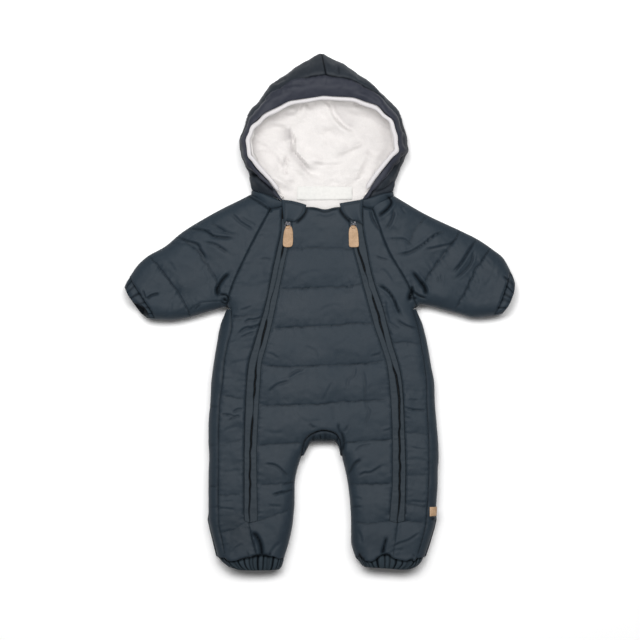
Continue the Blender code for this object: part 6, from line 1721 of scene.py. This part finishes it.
def neck_label():
    left, right, lo, hi = LABEL
    base = BACK_WALL + GAP + PILE + GAP + 3.2
    s, t = np.linspace(0, 1, 60), np.linspace(0, 1, 18)
    x = mix(left, right, s)[None, :] + 0 * t[:, None]
    y = mix(lo, hi, t)[:, None] + 0.6 * np.sin(s * 5.2)[None, :] * (t[:, None] - 0.4)
    bow = 0.5 * np.sin(s * math.pi)[None, :] + 0.25 * np.sin(s * 9 + 1)[None, :] + 0.3 * np.sin(t * math.pi)[:, None]
    border = np.minimum(np.minimum(s[None, :], 1 - s[None, :]) * (right - left), np.minimum(t[:, None], 1 - t[:, None]) * (hi - lo))
    rim = rise(border, 0.8)
    outer = np.stack([x, y, base + 0.45 + 0.45 * rim + bow], 2)
    inner = np.stack([x, y, base + 0.1 + bow + 0.3 * (1 - rim)], 2)
    # painted shadow along the label's edges
    shade = 0.16 * np.exp(-((border - 1.6) / 0.45) ** 2)
    made["neck_label"] = wall("neck_label_cloth", outer, inner, M_LABEL, ["neck_label"], shades=shade, hidden=0.2)


# ---- zips ----
# How wide each zip's slit gapes: row y in the 640-pixel frame, mm from its middle.
GAPES = {
    "left": ((200, 0.25), (228, 0.25), (240, 1.5), (252, 1.6), (262, 0.25), (288, 0.2), (296, 0.6), (318, 0.3), (322, 1.6), (334, 2.0), (344, 1.2),
             (352, 0.25), (364, 0.9), (376, 1.8), (392, 1.9), (400, 0.7), (412, 0.4), (424, 1.9), (440, 1.9), (452, 1.2), (470, 1.4), (486, 1.5),
             (500, 1.2), (512, 1.0), (519, 0.6)),
    "right": ((200, 0.25), (236, 0.25), (248, 1.3), (258, 2.0), (268, 2.1), (274, 0.7), (292, 0.2), (300, 1.7), (312, 1.9), (326, 2.1), (334, 1.2),
              (350, 0.2), (364, 0.6), (372, 2.0), (388, 2.3), (400, 2.2), (412, 1.8), (424, 1.4), (440, 1.7), (456, 1.5), (470, 1.8), (488, 1.7),
              (504, 1.4), (516, 0.8)),
}
ZIP_YS = np.concatenate([np.linspace(158.0, ZIP_END + 0.2, 290), np.linspace(ZIP_END - 0.4, -303.2, 8)])


def gape(side, y):
    rows = [(313 - p[0], p[1]) for p in GAPES[side]]
    rows = sorted((a * 1.45, b) for a, b in rows)
    return smooth([r[0] for r in rows], [r[1] for r in rows], y)


def tape_top(side, y):
    letter = side[0]
    mid = (body("zo_" + letter, y) + body("zi_" + letter, y)) / 2
    calm = blur(height, 6.0) if "calm" not in made else made["calm"]
    made["calm"] = calm
    return read(calm, mid, y) + 0.0 - ZIP_SINK


def zip_parts(side):
    letter, sign = side[0], (1 if side == "left" else -1)
    ys = ZIP_YS
    zo = body("zo_" + letter, ys) + sign * 0.05
    zi = body("zi_" + letter, ys) - sign * 0.05
    zs = body("zs_" + letter, ys)
    tape = tape_top(side, ys)
    # tape, under both welts
    f = np.linspace(0, 1, 7)
    x = mix(zo[:, None], zi[:, None], f)
    y = ys[:, None] + 0 * x
    outer = np.stack([x, y, tape[:, None] - 0.5 + 0.4 * np.sin(f * math.pi)], 2)
    inner = np.stack([x, y, np.full(x.shape, FRONT_IN)], 2)
    made["zip_tape_" + side] = wall("zip_tape_%s_weave" % side, outer, inner, M_TAPE, ["zip_tape_" + side], hidden=0.5)
    # welts
    use = ys < 136.0
    yw = ys[use]
    open_ = 0.30 * np.maximum(gape(side, yw) - 0.35, 0.0)
    wob = read(noise(61 if side == "left" else 62, 26.0), zs[use], yw) * 0.35
    fine_ = read(noise(63 if side == "left" else 64, 7.0), zs[use], yw)
    for which in ("outer", "inner"):
        far = (zo if which == "outer" else zi)[use]
        into = sign * (1 if which == "outer" else -1)
        near_ = zs[use] - into * (open_ - 0.02) + wob
        near_ = far + into * np.maximum(into * (near_ - far), 0.1)
        f = mix(np.linspace(0, 1, 15), (1 - np.cos(np.linspace(0, math.pi, 15))) / 2, 0.7)
        x = mix(far[:, None], near_[:, None], f)
        y = yw[:, None] + 0 * x
        base = tape[use][:, None] + GAP
        across = np.abs(near_ - far)[:, None]
        e = np.minimum(f[None, :] * across / 1.5, (1 - f)[None, :] * across / (0.9 + 1.4 * open_[:, None]))
        slit = np.clip(open_ / 0.35, 0.0, 1.0)[:, None]
        shut = np.where(f[None, :] > 0.5, 0.16 + 0.84 * slit, 0.62 if which == "outer" else 0.34)
        roll = 5.1 * (1 - (1 - rise(e, 1.0)) * shut) + 0.35 * np.sin(f * math.pi)[None, :]
        roll = roll + (0.16 * fine_[:, None] + 0.3 * wob[:, None]) * np.sin(f * math.pi)[None, :]
        z = base + np.maximum(roll, 0.25) + 0.55
        crease = np.exp(-((f - 0.42) / 0.10) ** 2)[None, :]
        z = z - 0.2 * crease
        outer = np.stack([x, y, z], 2)
        inner = np.stack([x, y, base + 0 * x], 2)
        away, closer = f[None, :] * across, (1 - f)[None, :] * across
        # painted shade along the welt's outer edge and in the slit between the welts
        shade = (0.5 if which == "outer" else 0.16) * np.exp(-(away / 0.9) ** 2) * np.clip(0.75 + 0.3 * fine_[:, None], 0.3, 1.0)
        shade = shade + (0.06 + 0.9 * slit) * np.exp(-(closer / (0.55 + 0.45 * slit)) ** 2)
        node_name = "zip_%s_welt_%s" % (side, which)
        made[node_name] = wall(node_name + "_cloth", outer, inner, M_STRIP, [node_name], shades=np.clip(shade, 0, 0.97), hidden=0.9)
    # the coil: one loop of monofilament for each side in turn
    pitch = 1.5
    rows = np.arange(ZIP_END + 3.0, 134.0, pitch)
    mid = body("zs_" + letter, rows)
    zt = tape_top(side, rows)
    shape = np.array([(-1, -0.35, 0), (1, -0.35, 0), (1, 0.35, 0), (-1, 0.35, 0), (-0.8, -0.25, 1), (0.8, -0.25, 1), (0.8, 0.25, 1), (-0.8, 0.25, 1)], float)
    quads = np.array([(0, 3, 2, 1), (4, 5, 6, 7), (0, 1, 5, 4), (1, 2, 6, 5), (2, 3, 7, 6), (3, 0, 4, 7)])
    turn = np.where(np.arange(len(rows)) % 2 == 0, 0.55, -0.55)
    pts = shape[None] * np.array([1.3, 1.1, 1.0]) + np.stack([mid + turn, rows, zt + 0.15], 1)[:, None]
    faces = (quads[None] + (np.arange(len(rows)) * 8)[:, None, None]).reshape(-1, 4)
    coil = make("zip_coil_" + side, pts.reshape(-1, 3), faces, M_COIL, (), None)
    made["zip_coil_" + side] = coil


# ---- hard pieces and leather ----
def plate(name, outline_mm, z_low, z_high, round_, mat, nodes, ride, rings=4, dome=0.25, shade_rim=0.9):
    """A thin plate of the outline with rounded edges, as stacked loops."""
    p = np.asarray(outline_mm, float)
    centre = p.mean(0)
    nxt, prv = np.roll(p, -1, 0), np.roll(p, 1, 0)
    tangent = nxt - prv
    normal = np.stack([tangent[:, 1], -tangent[:, 0]], 1)
    normal /= np.maximum(np.hypot(*normal.T), 1e-9)[:, None]
    if ((p - centre) * normal).sum() < 0:
        normal = -normal
    loops, shades = [], []
    angles = np.linspace(-90, 90, 2 * rings + 1)
    for a in angles:
        c, s = math.cos(math.radians(a)), math.sin(math.radians(a))
        half = (z_high - z_low) / 2
        loops.append(np.column_stack([p - normal * round_ * (1 - c), np.full(len(p), (z_low + z_high) / 2 + half * s)]))
        shades.append(shade_rim * (1 - abs(s)) ** 0.5)
    top_loops = []
    for k, f in enumerate((0.9, 0.75, 0.5, 0.25)):
        ring = centre + (p - normal * round_ - centre) * f
        top_loops.append((np.column_stack([ring, np.full(len(p), z_high + dome * (1 - f))]), 0.0))
    low_loops = []
    for f in (0.9, 0.5):
        ring = centre + (p - normal * round_ - centre) * f
        low_loops.append((np.column_stack([ring, np.full(len(p), z_low)]), 0.0))
    stack = [l for l, _ in low_loops[::-1]] + loops + [l for l, _ in top_loops]
    values = [0.0] * len(low_loops) + shades + [0.0] * len(top_loops)
    n = len(p)
    pts = np.vstack(stack + [[[centre[0], centre[1], z_low]], [[centre[0], centre[1], z_high + dome]]])
    vals = np.concatenate([np.full(n, v) for v in values] + [[0.0, 0.0]])
    quads = []
    j = np.arange(n)
    jn = (j + 1) % n
    for k in range(len(stack) - 1):
        quads.append(np.stack([k * n + j, k * n + jn, (k + 1) * n + jn, (k + 1) * n + j], 1))
    last = len(stack) - 1
    even = np.arange(0, n, 2)
    bottom, crown = len(pts) - 2, len(pts) - 1
    quads.append(np.stack([np.full(len(even), bottom), (even + 2) % n, (even + 1) % n, even], 1))
    quads.append(np.stack([np.full(len(even), crown), last * n + even, last * n + (even + 1) % n, last * n + (even + 2) % n], 1))
    return make(name, pts, np.vstack(quads), mat, nodes, vals, 60.0, ride)


def leather_pull(side):
    x0, base, half = PULL_X[side], PULL_Y - BAIL_LONG, PULL_W / 2
    aside, long_ = (1.2 if side == "left" else -0.5), PULL_L - 1.4
    if side == "left":
        tongue = [(0.0, 0.10), (-0.30, 0.085), (-0.54, 0.03), (-0.72, -0.07), (-0.87, -0.22), (-0.95, -0.40), (-1.0, -0.62), (-0.98, -0.82), (-0.84, -0.94), (-0.46, -0.992)]
    else:
        tongue = [(0.0, 0.10), (-0.34, 0.085), (-0.62, 0.02), (-0.80, -0.09), (-0.91, -0.25), (-0.95, -0.45), (-0.97, -0.68), (-0.98, -0.87), (-0.90, -0.96), (-0.55, -0.996)]
    lean = 0.02 if side == "left" else -0.015
    left = [(x0 + aside + (u + lean * v * 10) * half, base + v * long_) for u, v in tongue]
    right = [(x0 + aside + (-u + lean * v * 10) * half, base + v * long_) for u, v in tongue[1:]]
    loop = np.array(left + [(x0 + aside + lean * -10 * half, base - long_)] + right[::-1])
    line = curve(np.vstack([loop, loop[:1]]), 0.5)[:-1]
    if len(line) % 2:
        line = line[:-1]
    # the left pull gets the darker copy of the leather, a painted shade
    tab = plate("leather_pull_%s_hide" % side, line, PULL_Z - 1.5, PULL_Z + 0.55, 0.55, M_LEATHER_SHADED if side == "left" else M_LEATHER, ["leather_pull_" + side], "pull_" + side)
    made["leather_pull_" + side] = tab
    # the fold of leather round the bail
    rows = np.linspace(-half * 0.36, half * 0.36, 12)
    a = np.linspace(0, 2 * math.pi, 20, endpoint=False)
    ring = np.stack([np.repeat(x0 + rows[:, None], 20, 1), base + 1.9 * np.cos(a)[None] + 0 * rows[:, None], PULL_Z + 1.7 * np.sin(a)[None] + 0 * rows[:, None]], 2)
    hole = np.stack([np.repeat(x0 + rows[:, None], 20, 1), base + 1.0 * np.cos(a)[None] + 0 * rows[:, None], PULL_Z + 0.95 * np.sin(a)[None] + 0 * rows[:, None]], 2)
    i, j = np.meshgrid(np.arange(11), np.arange(20), indexing="ij")
    i, j = i.ravel(), j.ravel()
    jn = (j + 1) % 20
    n = 240
    quads = [np.stack([i * 20 + j, i * 20 + jn, (i + 1) * 20 + jn, (i + 1) * 20 + j], 1)]
    quads.append(quads[0][:, ::-1] + n)
    k = np.arange(20)
    kn = (k + 1) % 20
    quads.append(np.stack([kn, k, k + n, kn + n], 1))
    quads.append(np.stack([220 + k, 220 + kn, 220 + kn + n, 220 + k + n], 1))
    fold = make("leather_loop_" + side, np.concatenate([ring.reshape(-1, 3), hole.reshape(-1, 3)]), np.vstack(quads), M_LEATHER, (), None, 60.0, "pull_" + side)
    made["leather_loop_" + side] = fold
    # a row of stitches across the top of the tongue
    pts, faces = [], []
    for n_, s in enumerate(np.linspace(-0.30, 0.30, 4)):
        cx, cy = x0 + s * half, base - 3.4
        stitch(pts, faces, (cx - 0.45, cy, PULL_Z + 0.72), (cx + 0.45, cy, PULL_Z + 0.72), 0.17)
    made["leather_stitches_" + side] = make("leather_stitches_" + side, np.array(pts), np.array(faces), M_RIM, (), None, 0, "pull_" + side)


def stitch(points, faces, a, b, half):
    """One stitch: a short plump strand from a to b."""
    a, b = np.array(a, float), np.array(b, float)
    along = b - a
    side = np.array([-along[1], along[0], 0.0])
    side = side / max(float(np.linalg.norm(side)), 1e-9) * half
    up = np.array([0.0, 0.0, half * 0.9])
    first = len(points)
    for c, s in ((a, 0.45), (mix(a, b, 0.5), 1.0), (b, 0.45)):
        lift_ = up * (0.5 if s < 1 else 1.0)
        points += [tuple(c + side * s + lift_ * 0.0), tuple(c + lift_ * 1.2), tuple(c - side * s), tuple(c - up * 1.2)]
    for k in (0, 1):
        for j in range(4):
            p, q = first + 4 * k + j, first + 4 * k + (j + 1) % 4
            faces.append((p, q, q + 4, p + 4))
    faces.append((first + 3, first + 2, first + 1, first))
    faces.append((first + 8, first + 9, first + 10, first + 11))


def side_tag():
    left, right, lo, hi = TAG
    ys = np.linspace(hi, lo, 16)
    f = np.linspace(0, 1, 18)
    edge = body("right", ys)[:, None]
    x = mix(left, edge - 0.6, f[None, :])
    y = ys[:, None] + 0 * x
    d = edge - x
    z = EDGE_Z + (read(made["calm"], x, y) - EDGE_Z) * rise(d, ROUND_TOP)
    nx, nz = 14.0 / np.hypot(14.0, d + 4.0), (d + 4.0) / np.hypot(14.0, d + 4.0)
    border = np.minimum(np.minimum(f, 1 - f)[None, :] * 11.0, np.minimum(np.arange(16), np.arange(16)[::-1])[:, None] * 0.9)
    rim = rise(border, 0.8)
    inner = np.stack([x + nx * 0.6, y, z + nz * 0.6 + 0.4], 2)
    outer = np.stack([x + nx * (1.5 + 0.7 * rim), y, z + nz * (1.5 + 0.7 * rim) + 0.4], 2)
    made["side_tag"] = wall("side_tag_hide", outer, inner, M_LEATHER, ["side_tag"], shades=0.35 * (1 - rim), hidden=0.0)
    pts, faces = [], []
    zt = lambda px, py, e: float(EDGE_Z + (read(made["calm"], px, py) - EDGE_Z) * rise(e - px, ROUND_TOP))
    for y_ in np.arange(lo + 1.4, hi - 1.0, 1.9):
        e = float(body("right", y_))
        px = left + 1.3
        stitch(pts, faces, (px + 1.0, y_, zt(px, y_, e) + 2.9), (px + 1.0, y_ + 1.2, zt(px, y_ + 1.2, e) + 2.9), 0.16)
    made["side_tag_stitches"] = make("side_tag_stitches", np.array(pts), np.array(faces), M_RIM, (), None, 0)


def stitches():
    """Rows of thread in the quilting and beside the seams."""
    pts, faces = [], []
    rows = [(line, 0.0) for line, strength in stitch_paths if strength > 0.3]
    for side in ("left", "right"):
        out = -1 if side == "left" else 1
        rag = raglan_line(side)
        rows.append((rag - (out * 2.4, 0), 0.0))
        letter = side[0]
        for name, off in (("zo_" + letter, out * 2.2), ("zi_" + letter, -out * 2.2), ("seam_" + letter, -out * 2.2)):
            c = column(name, 118.0 if name[0] == "z" else 0.0, -296.0)
            rows.append((c + (off, 0), 0.0))
    for line, _ in rows:
        s = np.concatenate([[0], np.cumsum(np.hypot(*np.diff(line, axis=0).T))])
        starts = np.arange(1.0, s[-1] - 2.6, 3.1)
        ax, ay = np.interp(starts, s, line[:, 0]), np.interp(starts, s, line[:, 1])
        bx, by = np.interp(starts + 2.1, s, line[:, 0]), np.interp(starts + 2.1, s, line[:, 1])
        za, zb = top(ax, ay), top(bx, by)
        for k in range(len(starts)):
            stitch(pts, faces, (ax[k], ay[k], za[k] + 0.06), (bx[k], by[k], zb[k] + 0.06), 0.24)
    made["stitching"] = make("stitching_front", np.array(pts), np.array(faces), M_THREAD, (), None, 0)


front_centre()
for side in ("left", "right"):
    front_side(side)
gusset()
back()
for side in ("left", "right"):
    sleeve(side)
    foot_cover(side)
    zip_parts(side)
    hood_half(side)
    lining_half(side)
    chin_guard(side)
    leather_pull(side)
band("cuff_left", 12, 0.8, M_SHELL, "padded_cloth", 25.0, (0.55, 0.72, 0.26), 71)
band("cuff_right", 12, 0.8, M_SHELL, "padded_cloth", 25.0, (0, 0, 0), 72)
band("hem_left", 27, 1.7, M_BAND, "elastic_cloth", 25.0, (0, 0, 0), 73)
band("hem_right", 27, 1.7, M_BAND, "elastic_cloth", 25.0, (0, 0, 0), 74)
hood_brim()
lining_rim()
neck_band()
neck_label()
side_tag()
stitches()

for name, mat in (("slider_left", M_METAL), ("slider_right", M_METAL), ("bail_left", M_METAL), ("bail_right", M_METAL)):
    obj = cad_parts[name]
    for s in obj.material_slots:
        s.material = mat


# ---- stage ----
def floor():
    mesh = bpy.data.meshes.new("floor")
    r = 4.0
    mesh.from_pydata([(-r, -r, -0.0004), (r, -r, -0.0004), (r, r, -0.0004), (-r, r, -0.0004)], [], [(0, 1, 2, 3)])
    m, nt, bsdf = base_material("pale_floor")
    bsdf.inputs["Base Color"].default_value = (0.95, 0.95, 0.95, 1)
    bsdf.inputs["Roughness"].default_value = 0.9
    bsdf.inputs["Specular IOR Level"].default_value = 0.1
    bsdf.inputs["Emission Color"].default_value = (1, 1, 1, 1)
    bsdf.inputs["Emission Strength"].default_value = 0.04
    mesh.materials.append(m)
    obj = bpy.data.objects.new("floor", mesh)
    bpy.context.scene.collection.objects.link(obj)


floor()


def lamp(name, place, target, size, power):
    data = bpy.data.lights.new(name, "AREA")
    data.shape, data.size, data.energy = "DISK", size, power
    obj = bpy.data.objects.new(name, data)
    obj.location = place
    from mathutils import Vector
    obj.rotation_mode = "QUATERNION"
    obj.rotation_quaternion = (Vector(target) - Vector(place)).to_track_quat("-Z", "Y")
    bpy.context.scene.collection.objects.link(obj)
    return obj


key = lamp("key", (-0.11, 0.95, 1.99), (0.0, 0.02, 0.0), 0.9, 21.0)
on_floor = lamp("floor_from_left", (-1.25, 1.20, 2.7), (0.0, 0.0, 0.0), 1.9, 51.0)
on_floor_too = lamp("floor_from_right", (1.15, 1.20, 2.7), (0.0, 0.0, 0.0), 1.9, 51.0)
overhead = lamp("overhead", (0.0, 0.10, 1.3), (0.0, 0.08, 0.0), 1.4, 9.6)
front = lamp("front", (0.0, 0.06, 3.4), (0.0, 0.04, 0.0), 0.5, 36.0)
for lamp_, state in ((on_floor, "INCLUDE"), (on_floor_too, "INCLUDE"), (overhead, "EXCLUDE"), (front, "EXCLUDE")):
    group = bpy.data.collections.new(lamp_.name + "_lights")
    group.objects.link(bpy.data.objects["floor"])
    group.collection_objects[0].light_linking.link_state = state
    lamp_.light_linking.receiver_collection = group
scene = bpy.context.scene
world = bpy.data.worlds.new("studio")
world.use_nodes = True
world.node_tree.nodes["Background"].inputs[0].default_value = (1, 1, 1, 1)
world.node_tree.nodes["Background"].inputs[1].default_value = 0.10
scene.world = world
scene.view_settings.view_transform = "Standard"
scene.view_settings.look = "None"

camera = bpy.data.cameras.new("camera")
camera.sensor_width = 36.0
camera.lens = 36.0 * 5.0 / 0.928
camera.clip_end = 50.0
eye = bpy.data.objects.new("camera", camera)
eye.location = (0.0007, -0.01015, 5.0125)
scene.collection.objects.link(eye)
scene.camera = eye
